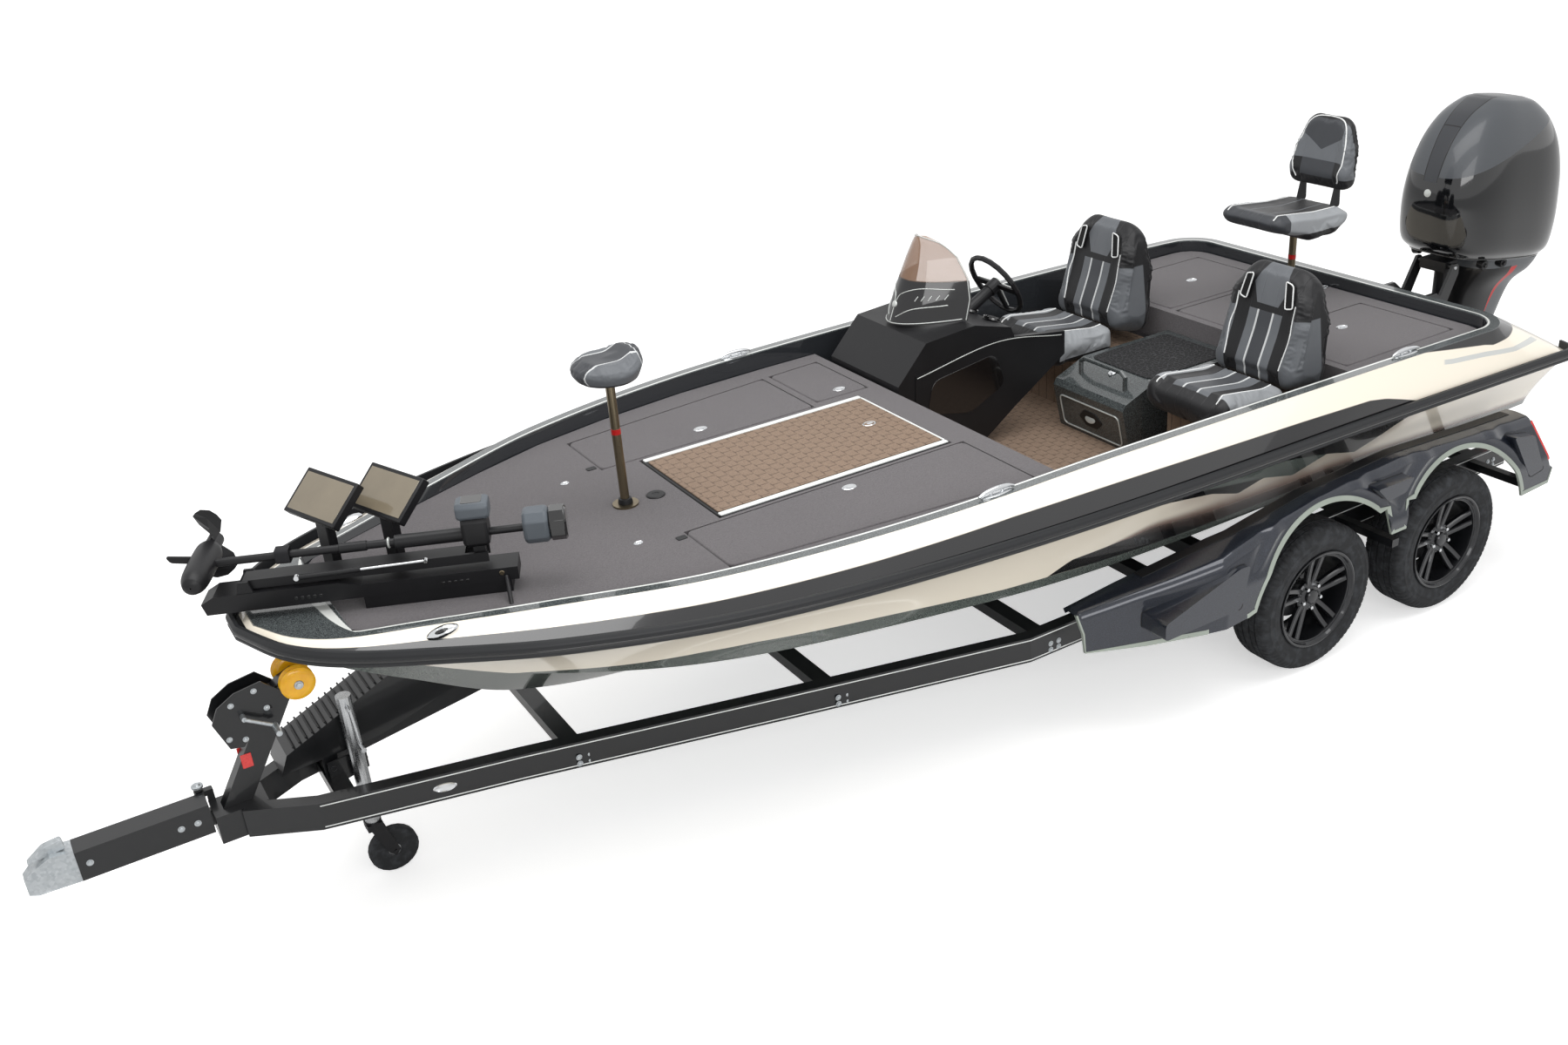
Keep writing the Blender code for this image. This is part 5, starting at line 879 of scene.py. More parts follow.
def build_cap():
    """The cap as rows across the four lines, with the outside swelling 4 mm between foot and top."""
    (foot, outer, inner, base), station = cap_lines()
    t = np.linspace(0, 1, 7)[None, :, None]
    slope = foot[:, None] + (outer - foot)[:, None] * t
    slope[..., 2] += 0.004 * np.sin(math.pi * t[..., 0])
    lip = outer[:, None] + (inner - outer)[:, None] * np.linspace(0.08, 1, 5)[None, :, None]
    down = inner[:, None] + (base - inner)[:, None] * np.linspace(0.06, 1, 4)[None, :, None]
    points = np.concatenate([slope, lip, down], 1)
    up = np.concatenate([t[0, :, 0], 1 + np.linspace(0.08, 1, 5), 2 + np.linspace(0.06, 1, 4)])
    points = np.concatenate([points, points[::-1] * (1, -1, 1)])
    both = np.concatenate([station, station[::-1]])
    sheet = np.stack([both[:, None] + 0 * up, up[None, :] + 0 * both[:, None]], -1)
    points, sheet = np.concatenate([points, points[:1]]), np.concatenate([sheet, sheet[:1]])
    make("gunwale", sheeted(points, sheet), CAP, stands_for=["gunwale_cap"], sharp=28, soften=(0.004, 2))


def build_rail():
    """Rub rail: a grooved profile carried along the sheer, square to it in plan."""
    share = np.concatenate([np.linspace(0, 0.03, 12), 0.03 + 0.97 * (1 - (1 - np.linspace(0.01, 1, 120)) ** 1.4)])
    port = np.column_stack([share * MOULD_LENGTH, sheer_half(share), sheer_z(share * MOULD_LENGTH)])
    path = np.concatenate([port, port[::-1] * (1, -1, 1)])
    run = np.gradient(path[:, :2], axis=0)
    out = np.column_stack([-run[:, 1], run[:, 0], 0 * run[:, 0]])
    out /= np.linalg.norm(out, axis=1)[:, None]
    profile = np.array([(0.0, -0.0215), (0.015, -0.0210), (0.0225, -0.014), (0.0235, -0.006), (0.0195, -0.002),
                        (0.0195, 0.006), (0.0236, 0.010), (0.0236, 0.026), (0.0195, 0.030), (0.0130, 0.0395),
                        (0.0, 0.0400)])
    points = path[:, None] + out[:, None] * profile[None, :, :1] + np.array([0, 0, 1.0]) * profile[None, :, 1:]
    make("rail", surface(points, ring=True, ends=True), BLACK_RAIL, stands_for=["rub_rail"], sharp=50)
    groove = np.array([(0.0196, -0.0025), (0.0206, -0.001), (0.0206, 0.005), (0.0196, 0.0065)])
    points = path[:, None] + out[:, None] * groove[None, :, :1] + np.array([0, 0, 1.0]) * groove[None, :, 1:]
    make("rail_insert", surface(points, ring=True, ends=True), GLOSS, slot="rub_rail", sharp=50)


# Decks and lids

LIDS = {
    "rod_lid_port": ((3.300, 0.895), (4.670, 0.762), (4.670, 0.392), (3.300, 0.392)),
    "rod_lid_starboard": ((3.580, -0.870), (4.670, -0.762), (4.670, -0.392), (3.580, -0.392)),
    "day_box_lid": ((3.250, -0.895), (3.535, -0.875), (3.535, -0.430), (3.250, -0.430)),
    "bow_hatch": ((4.497, 0.3645), (4.497, -0.3645), (3.345, -0.3645), (3.345, 0.3645)),
    "rear_lid_port": ((0.640, 0.860), (1.400, 0.860), (1.400, 0.300), (0.640, 0.300)),
    "rear_lid_starboard": ((0.640, -0.860), (1.400, -0.860), (1.400, -0.300), (0.640, -0.300)),
    "livewell_lid": ((1.400, 0.255), (1.400, -0.255), (0.920, -0.255), (0.920, 0.255)),
}
LATCHES = {"rod_lid_port": (3.942, 0.467), "rod_lid_starboard": (4.121, -0.507), "day_box_lid": (3.367, -0.497),
           "bow_hatch": (3.504, -0.035), "rear_lid_port": (1.000, 0.490), "rear_lid_starboard": (0.980, -0.570),
           "livewell_lid": (1.210, -0.020)}


def latch_ring(x, y, z, wide=0.034, turn=0.0):
    """A flush oval latch: a lathed rim drawn out into an oval, a dished floor and a pull tongue."""
    rim = lathed([(0.0, 0.0012), (0.70, 0.0012), (0.74, 0.0016), (0.78, 0.0032), (0.90, 0.0042), (1.0, 0.0024),
                  (1.0, -0.002)], (0, 0, 0), (0, 0, 1), 36)
    rim.verts[:, :2] *= (wide, wide * 0.72)
    pull = plan(rounded([(-0.5, -0.25), (0.35, -0.25), (0.35, 0.25), (-0.5, 0.25)], 0.2, 4), 0.0, 0.0034)
    pull.verts[:, :2] *= wide
    return (rim + pull).turned(Matrix.Translation((x, y, z)) @ Matrix.Rotation(turn, 4, 'Z'))


def build_lids():
    """The lids: carpet slabs with rounded corners, the matted hatch with its trims, and each lid's latch."""
    for name, corners in LIDS.items():
        edge = rounded(corners, 0.035, 6)
        top = DECK_Z + 0.001
        if name == "bow_hatch":
            make("hatch_panel", plan(edge, 1.2445, top), SATIN, name, [name], soften=(0.004, 2))
            mat = rounded([(4.482, 0.322), (4.482, -0.322), (3.362, -0.322), (3.362, 0.322)], 0.012, 4)
            make("hatch_mat", plan(mat, top - 0.002, top + 0.006), MAT, name, slot=name, soften=(0.003, 2))
            trims = NOTHING
            for side in (1, -1):
                strip = [(4.49, side * 0.330), (4.49, side * 0.358), (3.350, side * 0.358), (3.350, side * 0.330)]
                trims = trims + plan(rounded(strip, 0.006, 3), top - 0.001, top + 0.005)
            trims = trims + plan(rounded([(3.349, 0.328), (3.349, -0.328), (3.359, -0.328), (3.359, 0.328)],
                                         0.003, 3), top - 0.001, top + 0.005)
            make("hatch_trims", trims, WHITE_TRIM, name, slot=name, soften=(0.0015, 2))
        else:
            make(name + "_carpet", plan(edge, 1.2445, top), CARPET, name, [name], soften=(0.007, 3))
        make(name + "_latch", latch_ring(*LATCHES[name], top + (0.004 if name == "bow_hatch" else 0.0)), CHROME,
             name, slot=name, sharp=30)


def build_deck_trim():
    """What stands on the decks: hinge cups, the round hole cover, rings and cleats."""
    cups = NOTHING
    for side in (1, -1):
        cup = plan(rounded([(-0.022, -0.016), (0.022, -0.016), (0.022, 0.016), (-0.022, 0.016)], 0.008, 4),
                   0.0, 0.0035)
        cups = cups + cup.turned(Matrix.Translation((4.705, side * 0.429, DECK_Z)))
    cover = lathed([(0, 0.004), (0.014, 0.004), (0.017, 0.0065), (0.036, 0.0065), (0.041, 0.003), (0.041, -0.001)],
                   (4.604, 0.0, DECK_Z), (0, 0, 1), 32)
    make("deck_cups", cups + cover, SATIN, slot="bow_deck", soften=(0.001, 1))
    rings = latch_ring(0.57, 0.0, DECK_Z, 0.030)
    for x, y in ((4.86, 0.36), (4.86, -0.36)):
        rings = rings + latch_ring(x, y, DECK_Z, 0.020)
    make("deck_rings", rings, CHROME, slot="rear_deck", sharp=30)
    cleats = NOTHING
    for x, y, turn in ((3.626, 1.070, 0.03), (3.626, -1.070, -0.03), (1.247, 1.085, -0.02), (1.247, -1.085, 0.02)):
        top = KEEL_Z + float(line_at(x / MOULD_LENGTH, GUNWALE_RISE))
        horn = smooth_line([(-0.088, 0, 0.010), (-0.055, 0, 0.020), (0, 0, 0.024), (0.055, 0, 0.020),
                            (0.088, 0, 0.010)], 21)
        thick = 0.4 + 0.6 * np.sin(np.linspace(0.15, math.pi - 0.15, 21))
        cleat = tube(horn, 0.0105, 10, sizes=thick)
        base = lathed([(0, 0.007), (0.8, 0.007), (1.0, 0.004), (1.0, 0.0)], (0, 0, 0), (0, 0, 1), 30)
        base.verts[:, :2] *= (0.078, 0.024)
        for foot in (-0.03, 0.03):
            cleat = cleat + rod((foot, 0, 0.004), (foot * 0.8, 0, 0.022), 0.007, 10)
        side = y - math.copysign(0.026, y)
        cleats = cleats + (cleat + base).turned(Matrix.Translation((x, side, top)) @ Matrix.Rotation(turn, 4, 'Z'))
    make("cleats", cleats, CHROME, slot="gunwale_cap", sharp=40)


NOTHING = Form(np.zeros((0, 3)), [])


def carve(obj, *forms):
    """Takes closed forms out of a piece, and keeps the result as its mesh."""
    for form in forms:
        mesh = bpy.data.meshes.new("cutter")
        mesh.from_pydata((form.verts - (AFT, 0, 0)).tolist(), [], form.faces)
        bm = bmesh.new()
        bm.from_mesh(mesh)
        bmesh.ops.remove_doubles(bm, verts=bm.verts, dist=0.00002)
        bmesh.ops.recalc_face_normals(bm, faces=bm.faces)
        bm.to_mesh(mesh)
        bm.free()
        cutter = bpy.data.objects.new("cutter", mesh)
        bpy.context.scene.collection.objects.link(cutter)
        step = obj.modifiers.new("carve", 'BOOLEAN')
        step.operation, step.object, step.solver = 'DIFFERENCE', cutter, 'EXACT'
        bpy.context.view_layer.update()
        done = bpy.data.meshes.new_from_object(obj.evaluated_get(bpy.context.evaluated_depsgraph_get()))
        obj.modifiers.clear()
        obj.data = done
        bpy.data.objects.remove(cutter)
    return obj


# Wheels

WHEELS = {"front_port": (1.916, 1), "front_starboard": (1.916, -1), "rear_port": (1.007, 1),
          "rear_starboard": (1.007, -1)}
AXLE_Z, WHEEL_MID_Y = 0.3628, 1.1315


def tyre_form():
    """A profile turned about Y: the radius is the profile's, less ring grooves, and less notches at the
    shoulder that repeat round the tread."""
    side = np.array([(0.2165, 0.094), (0.2440, 0.0985), (0.2540, 0.1065), (0.2740, 0.1105), (0.2860, 0.1112),
                     (0.2880, 0.1122), (0.2930, 0.1122), (0.2950, 0.1114), (0.3120, 0.1116), (0.3140, 0.1124),
                     (0.3190, 0.1122), (0.3210, 0.1108), (0.3330, 0.1075), (0.3440, 0.1010), (0.3520, 0.0930),
                     (0.3570, 0.0850), (0.3600, 0.0740), (0.3618, 0.0640)])
    crown = np.array([(0.3622, 0.0600), (0.3560, 0.0590), (0.3560, 0.0510), (0.3624, 0.0500), (0.3627, 0.0260),
                      (0.3565, 0.0250), (0.3565, 0.0170), (0.3628, 0.0160), (0.3628, 0.0)])
    half = np.vstack([side, crown])
    profile = np.vstack([half, half[-2::-1] * (1, -1)])
    angle = np.linspace(0, 2 * math.pi, 300, endpoint=False)
    across = np.abs(profile[:, 1])
    shoulder = ((across > 0.060) & (profile[:, 0] > 0.330)).astype(float)
    block = ((across > 0.0255) & (across < 0.0505)).astype(float)
    notch = np.sin(75 * angle)[None, :] > 0.35
    sipe = np.sin(60 * angle + 0.6)[None, :] > 0.82
    radius = profile[:, :1] - 0.0048 * shoulder[:, None] * notch - 0.0035 * block[:, None] * sipe
    points = np.stack([radius * np.cos(angle), profile[:, 1:] + 0 * radius, radius * np.sin(angle)], -1)
    return surface(points, ring=True, loop=True)


def rim_form():
    """Barrel and hub turned about Y, and five pairs of spokes that rise from the hub to the flange."""
    barrel = [(0.2395, 0.1040), (0.2400, 0.1070), (0.2350, 0.1085), (0.2290, 0.1060), (0.2230, 0.0960),
              (0.2120, 0.0900), (0.2080, 0.0700), (0.2060, -0.0500), (0.2140, -0.0900), (0.2330, -0.0960),
              (0.2330, -0.1020), (0.2130, -0.1000), (0.2155, 0.0880), (0.2260, 0.0940)]
    hub = [(0.0, 0.0580), (0.0420, 0.0580), (0.0460, 0.0560), (0.0720, 0.0540), (0.0780, 0.0480),
           (0.0780, 0.0250), (0.0500, -0.0300), (0.0, -0.0300)]
    cap = [(0.0, 0.0790), (0.0200, 0.0785), (0.0300, 0.0760), (0.0345, 0.0700), (0.0360, 0.0570)]
    drum = [(0.0, -0.0310), (0.1350, -0.0310), (0.1420, -0.0380), (0.1420, -0.0850), (0.0, -0.0850)]
    whole = lathed(barrel, (0, 0, 0), (0, 1, 0), 90, loop=True)
    for profile, sides in ((hub, 60), (cap, 40), (drum, 40)):
        whole = whole + lathed(profile, (0, 0, 0), (0, 1, 0), sides)
    reach = np.linspace(0.055, 0.2100, 9)
    height = 0.055 + 0.030 * ((reach - 0.055) / 0.155) ** 1.3
    profile = [(-0.0125, -0.024), (-0.0135, -0.006), (-0.0100, 0.0), (-0.0020, -0.0015), (0.0020, -0.0015),
               (0.0100, 0.0), (0.0135, -0.006), (0.0125, -0.024)]
    for k in range(5):
        for side in (1, -1):
            a = math.radians(72 * k + 90) + side * (0.235 - 0.55 * (reach - 0.055))
            path = np.stack([reach * np.cos(a), height, reach * np.sin(a)], -1)
            whole = whole + swept(path, profile, flat=(0, 1, 0))
    return whole


def nut_form():
    """Six-sided nuts with a domed top, on a ring round the hub."""
    nuts = NOTHING
    for k in range(5):
        a = math.radians(72 * k + 54)
        spot = (0.058 * math.cos(a), 0.052, 0.058 * math.sin(a))
        nuts = nuts + lathed([(0.0, 0.026), (0.005, 0.0255), (0.0095, 0.022), (0.0105, 0.019), (0.0105, 0.0),
                              (0.0, 0.0)], spot, (0, 1, 0), 6)
    return nuts


def build_wheels():
    """Four tyres with tread, four alloy rims and their nuts."""
    forms = (("tread", tyre_form(), TYRE, "tyre_"), ("alloy", rim_form(), ALLOY, "rim_"),
             ("nuts", nut_form(), CHROME, None))
    for where, (x, side) in WHEELS.items():
        place = Matrix.Translation((x, WHEEL_MID_Y, AXLE_Z))
        for name, form, finish, node in forms:
            placed = form.turned(place)
            placed = placed if side > 0 else placed.mirrored()
            extra = {"stands_for": [node + where]} if node else {"slot": "rim_" + where}
            make(name + "_" + where, placed, finish, "wheel_" + where, sharp=30, **extra)


# Fenders

FENDER_TOP = np.array(((0.312, 0.577), (0.450, 0.868), (0.800, 0.880), (1.374, 0.912), (1.955, 0.885),
                       (2.490, 0.805), (2.950, 0.708), (3.200, 0.647)))
FENDER_PLAN = np.array(((0.212, 1.085, 1.290, 1.0), (2.400, 1.085, 1.290, 1.0), (2.560, 1.057, 1.290, 0.85),
                        (2.800, 1.015, 1.195, 0.45), (3.200, 0.945, 1.030, 0.0)))
FRONT_X, REAR_X, ARCH = 1.916, 1.007, 0.485
POCKETS = {
    "front_pocket": ((2.930, 0.540), (2.930, 0.620), (2.500, 0.745), (2.440, 0.740), (2.480, 0.540)),
    "mid_pocket": ((1.640, 0.855), (1.560, 0.775), (1.440, 0.785), (1.390, 0.850)),
    "rear_pocket": ((0.660, 0.835), (0.490, 0.575), (0.385, 0.590), (0.500, 0.805)),
}


def fender_lower():
    """The lower edge from tail to tip: circle arcs over the wheels, a step between them and the skirt."""
    low, post = math.asin((0.490 - AXLE_Z) / ARCH), math.asin((0.715 - AXLE_Z) / ARCH)
    arcs = []
    for x, start, end in ((REAR_X, math.pi - low, post), (FRONT_X, math.pi - post, low)):
        a = np.linspace(start, end, 44)
        arcs.append(np.stack([x + ARCH * np.cos(a), AXLE_Z + ARCH * np.sin(a)], -1))
    step = [(1.3865, 0.721), (1.4115, 0.590), (1.5115, 0.590), (1.5365, 0.721)]
    skirt = [(2.430, 0.478), (2.650, 0.458), (2.900, 0.448), (3.160, 0.455), (3.170, 0.550), (3.1995, 0.6465)]
    return np.vstack([[(0.3125, 0.5765), (0.332, 0.500)], arcs[0], step, arcs[1], skirt])


def fender_outer(x, z):
    """Outer face: the plan's outer edge, less a lean that grows over the shoulder, plus a ridge round each
    arch that is a bell curve of the distance from the wheel's centre."""
    outer = np.interp(x, FENDER_PLAN[:, 0], FENDER_PLAN[:, 2])
    lean = np.interp(x, FENDER_PLAN[:, 0], FENDER_PLAN[:, 3]) * 0.30 * np.maximum(0.0, z - 0.640)
    near = np.minimum(np.hypot(x - FRONT_X, z - AXLE_Z), np.hypot(x - REAR_X, z - AXLE_Z))
    ridge = 0.010 * np.exp(-((near - 0.548) / 0.016) ** 2) - 0.006 * np.exp(-((near - 0.590) / 0.02) ** 2)
    return outer - lean + ridge * np.clip((z - 0.680) / 0.08, 0, 1)


def fender_skin():
    """The fender as one skin: outer side by its plan and lower line, rounded over to its roof."""
    lower = fender_lower()
    x = np.unique(np.concatenate([np.linspace(0.3125, 3.1995, 330), lower[:, 0]]))
    low = np.interp(x, lower[:, 0], lower[:, 1])
    top = np.maximum(np.interp(x, FENDER_TOP[:, 0], FENDER_TOP[:, 1]), low + 0.0005)
    turn = np.minimum(0.035, 0.45 * (top - low))
    rows = np.linspace(0, 1, 30)[None, :]
    z = low[:, None] + (top - turn - low)[:, None] * rows
    skin = np.stack([x[:, None] + 0 * z, fender_outer(x[:, None], z), z], -1)
    a = np.linspace(0.15, 1, 6)[None, :] * math.pi / 2
    edge_y = fender_outer(x, top - turn)
    round_y = edge_y[:, None] - turn[:, None] * (1 - np.cos(a)) - 0.30 * turn[:, None] * np.sin(a)
    round_z = (top - turn)[:, None] + turn[:, None] * np.sin(a)
    shoulder = np.stack([x[:, None] + 0 * round_y, round_y, round_z], -1)
    inner = np.interp(x, FENDER_PLAN[:, 0], FENDER_PLAN[:, 1])
    share = np.linspace(0.2, 1, 5)[None, :]
    roof_y = round_y[:, -1:] + (inner[:, None] - round_y[:, -1:]) * share
    crown = top[:, None] + 0.004 * np.sin(math.pi * share) * (roof_y > 0)
    roof = np.stack([x[:, None] + 0 * roof_y, roof_y, crown], -1)
    drop = np.stack([x, inner, np.maximum(top - 0.025, low)], -1)[:, None]
    return surface(np.concatenate([skin, shoulder, roof, drop], 1))


def on_fender(outline, lift=0.0):
    """A side outline laid on the fender's outer face."""
    o = np.asarray(outline, float)
    return np.stack([o[:, 0], fender_outer(o[:, 0], o[:, 1]) + lift, o[:, 1]], -1)


def filled(points):
    """A closed line as one face."""
    return Form(points, [list(range(len(points)))])


def build_fenders():
    """Each fender's skin with its pockets cut, then lip, cups, rims, pad, marker, lamp and reflector."""
    lower = fender_lower()
    run = np.gradient(lower, axis=0)
    into = np.stack([-run[:, 1], run[:, 0]], -1)
    into /= np.linalg.norm(into, axis=1)[:, None]
    wide = np.interp(lower[:, 0], [0.31, 0.34, 3.10, 3.16], [0.004, 0.022, 0.022, 0.006])[:, None]
    band = np.stack([on_fender(lower - into * 0.001, 0.0025), on_fender(lower + into * wide, 0.0025),
                     on_fender(lower + into * wide, -0.002), on_fender(lower - into * 0.001, -0.012)], 1)
    band[:, :, 1] = np.minimum(band[:, :, 1], 1.2899)
    lip = surface(band, ring=True, ends=True)
    skin = fender_skin()
    skin.verts[:, 1] = np.minimum(skin.verts[:, 1], 1.2885)
    cutters, cups, rims, ribs = [], NOTHING, NOTHING, NOTHING
    for name, corners in POCKETS.items():
        edge = rounded(corners, 0.018, 5)
        middle = edge.mean(0)
        mouth = on_fender(edge, 0.0)
        mouth[:, 1] = 1.2896
        cutters.append(surface(np.stack([on_fender(edge, -0.08), mouth]), ring=True, ends=True))
        floor = on_fender(middle + (edge - middle) * 0.95, -0.045)
        inside = on_fender(edge, 0.0)
        away = (edge - middle) / np.linalg.norm(edge - middle, axis=1)[:, None]
        outside = on_fender(edge + away * 0.004, -0.004)
        wall = surface(np.stack([outside, inside, on_fender(edge, -0.004), floor]), ring=True)
        cups = cups + wall + filled(floor)
        rims = rims + tube(on_fender(edge, 0.0008), 0.0026, 6, closed=True, flat=(0, 1, 0))
    for k in range(4):
        x, tall = 2.505 + 0.093 * k, 0.708 - 0.026 * k
        panel = rounded([(x + 0.008, 0.556), (x + 0.078, 0.556), (x + 0.078, tall - 0.046),
                         (x + 0.050, tall - 0.016), (x + 0.008, tall - 0.006)], 0.006, 3)
        ribs = ribs + surface(np.stack([on_fender(panel, -0.048), on_fender(panel, -0.030)]), ring=True, ends=True)
        ribs = ribs + tube(on_fender(panel, -0.030), 0.0018, 5, closed=True, flat=(0, 1, 0))
    rims.verts[:, 1] = np.minimum(rims.verts[:, 1], 1.2899)
    x = np.linspace(0.52, 2.86, 60)
    top = np.interp(x, FENDER_TOP[:, 0], FENDER_TOP[:, 1])
    inner = np.interp(x, FENDER_PLAN[:, 0], FENDER_PLAN[:, 1])
    pad = np.stack([np.stack([x, inner + d, top + h], -1) for d, h in
                    ((0.010, 0.0), (0.012, 0.007), (0.062, 0.007), (0.064, 0.0))], 1)
    strip = surface(pad, ring=True, ends=True)
    marker = lathed([(0, 0.006), (0.7, 0.005), (1.0, 0.0), (1.0, -0.006)], (0, 0, 0), (0, 1, 0), 28)
    marker.verts[:, [0, 2]] *= (0.034, 0.011)
    marker = marker.turned(Matrix.Translation((2.475, 1.2820, 0.512)))
    tail_line = np.array([(0.452, 0.842), (0.352, 0.632)])
    lamp_path = on_fender(np.linspace(tail_line[0], tail_line[1], 12), -0.010)
    lamp = swept(lamp_path, [(-0.012, -0.004), (-0.012, 0.006), (-0.006, 0.010), (0.006, 0.010), (0.012, 0.006),
                             (0.012, -0.004)], flat=(0, 1, 0))
    reflector = box((0.306, 0.316), (1.150, 1.215), (0.556, 0.590))
    for name, flip in (("port", lambda f: f), ("starboard", Form.mirrored)):
        slot = "fender_" + name
        shell = make("fender_skin_" + name, flip(skin), FENDER, stands_for=[slot], sharp=32, wall=0.006)
        carve(shell, *[flip(c) for c in cutters])
        shell.data.set_sharp_from_angle(angle=math.radians(32))
        make("fender_lip_" + name, flip(lip), SAGE_TRIM, slot=slot)
        make("fender_pockets_" + name, flip(cups), GLOSS, slot=slot, wall=0.003)
        make("fender_pocket_rims_" + name, flip(rims + ribs), SATIN, slot=slot)
        make("fender_pad_" + name, flip(strip), SATIN, slot=slot)
        make("fender_marker_" + name, flip(marker), AMBER_LENS, slot=slot)
        make("fender_lamp_" + name, flip(lamp), RED_LENS, slot=slot, soften=(0.002, 2))
        make("fender_reflector_" + name, flip(reflector), RED_LENS, slot=slot, soften=(0.002, 2))


# Trailer trim

RAIL_LINE = ((0.180, 0.940), (3.370, 0.940), (4.388, 0.682), (5.477, 0.397), (6.228, 0.221), (6.440, 0.106))


def bolt(place, axis, size=0.009):
    """A flanged hexagon bolt head."""
    return lathed([(0.0, 0.0065), (0.75, 0.0065), (0.95, 0.0055), (1.0, 0.0015), (1.45, 0.0012), (1.45, -0.001)]
                  * np.array((size, 1.0)), place, axis, 12)


def build_trailer_trim():
    """The frame's pinstripes and bolts, the winch's strap and crank, rollers, step ribs and markers."""
    line = np.array([(x, y + 0.0006) for x, y in RAIL_LINE])
    stripes = NOTHING
    for z in (0.548, 0.452):
        path = np.column_stack([line, np.full(len(line), z)])
        stripe = swept(path, [(-0.0004, -0.0022), (0.0006, -0.0022), (0.0006, 0.0022), (-0.0004, 0.0022)])
        stripes = stripes + stripe + stripe.mirrored()
    make("rail_pinstripes", stripes, WHITE_TRIM, slot="trailer_frame", sharp=60)
    bolts = NOTHING
    for x in (0.300, 2.500, 3.240, 4.200, 5.250):
        y = float(np.interp(x, *zip(*RAIL_LINE)))
        for dx in (-0.022, 0.022):
            for z in (0.462, 0.492):
                bolts = bolts + bolt((x + dx, y, z), (0, 1, 0)) + bolt((x + dx, -y, z), (0, -1, 0))
    for x, z in ((6.455, 0.850), (6.420, 0.985), (6.330, 1.015), (6.300, 0.930), (6.400, 0.830)):
        for side in (1, -1):
            bolts = bolts + bolt((x, side * 0.046, z), (0, side, 0), 0.008)
    for x in (5.985, 6.110):
        bolts = bolts + bolt((x, -0.022, 0.530), (0, -1, 0), 0.008)
    make("frame_bolts", bolts, ZINC, slot="trailer_frame")
    reflector = box((6.395, 6.435), (0.028, 0.031), (0.700, 0.760))
    make("stand_reflectors", reflector + reflector.mirrored(), RED_LENS, slot="winch_stand", soften=(0.001, 1))
    strap = [(6.386, 0.0, 0.969), (6.330, 0.0, 0.985), (6.262, 0.0, 0.990)]
    strap = swept(smooth_line(strap, 20), [(-0.024, -0.001), (0.024, -0.001), (0.024, 0.001), (-0.024, 0.001)],
                  flat=(0, 0, 1))
    wound = lathed([(0.0405, -0.026), (0.0475, -0.025), (0.0480, 0.025), (0.0405, 0.026)], (6.390, 0.0, 0.930),
                   (0, 1, 0), 40)
    make("winch_strap", strap + wound, SATIN, slot="winch_stand")
    crank = rod((6.390, 0.046, 0.930), (6.390, 0.082, 0.930), 0.010) + rod((6.390, 0.078, 0.930),
                                                                          (6.290, 0.078, 0.865), 0.008)
    crank = crank + rod((6.292, 0.074, 0.866), (6.292, 0.150, 0.866), 0.012)
    make("winch_crank", crank, ZINC, slot="winch_stand", sharp=40)
    build_bow_rollers()
    build_step_ribs()
    build_rail_marker()


def build_bow_rollers():
    """Two turned rollers with a waist and hub, on the stand's shaft."""
    rollers = NOTHING
    for side in (1, -1):
        profile = [(0.018, 0.0), (0.044, 0.0), (0.060, 0.004), (0.066, 0.012), (0.063, 0.020), (0.057, 0.027),
                   (0.063, 0.034), (0.066, 0.042), (0.058, 0.050), (0.040, 0.053), (0.018, 0.053)]
        rollers = rollers + lathed(profile, (6.175, side * 0.031, 1.0), (0, side, 0), 44, loop=True)
    make("bow_rollers", rollers, AMBER, stands_for=["bow_roller"], sharp=40)
    hub = NOTHING
    for side in (1, -1):
        hub = hub + rod((6.175, side * 0.028, 1.0), (6.175, side * 0.088, 1.0), 0.0175, 24)
        hub = hub + bolt((6.175, side * 0.0875, 1.0), (0, side, 0), 0.011)
    make("bow_roller_hubs", hub, ZINC, slot="bow_roller")


def build_step_ribs():
    """Ribs across the step board's two faces."""
    ribs = NOTHING
    for (x0, z0), (x1, z1), count in (((6.250, 0.655), (5.835, 0.842), 15), ((5.805, 0.832), (5.575, 0.702), 8)):
        for t in np.linspace(0.04, 0.96, count):
            x, z = x0 + (x1 - x0) * t, z0 + (z1 - z0) * t
            ribs = ribs + rod((x, -0.236, z + 0.001), (x, -0.056, z + 0.001), 0.0042, 8)
    make("step_ribs", ribs, SATIN, slot="step_board")


def build_rail_marker():
    """The oval plate on the frame's side."""
    rim = lathed([(0, 0.004), (0.72, 0.004), (0.86, 0.0075), (1.0, 0.003), (1.0, -0.002)], (0, 0, 0),
                 (0, 1, 0), 30)
    rim.verts[:, [0, 2]] *= (0.046, 0.020)
    turn = Matrix.Rotation(math.atan2(0.221 - 0.397, 6.228 - 5.477), 4, 'Z')
    x = 5.780
    place = Matrix.Translation((x, float(np.interp(x, *zip(*RAIL_LINE))), 0.500)) @ turn
    marker = rim.turned(place)
    make("rail_markers", marker + marker.mirrored(), CHROME, slot="trailer_frame", sharp=40)


# Seats

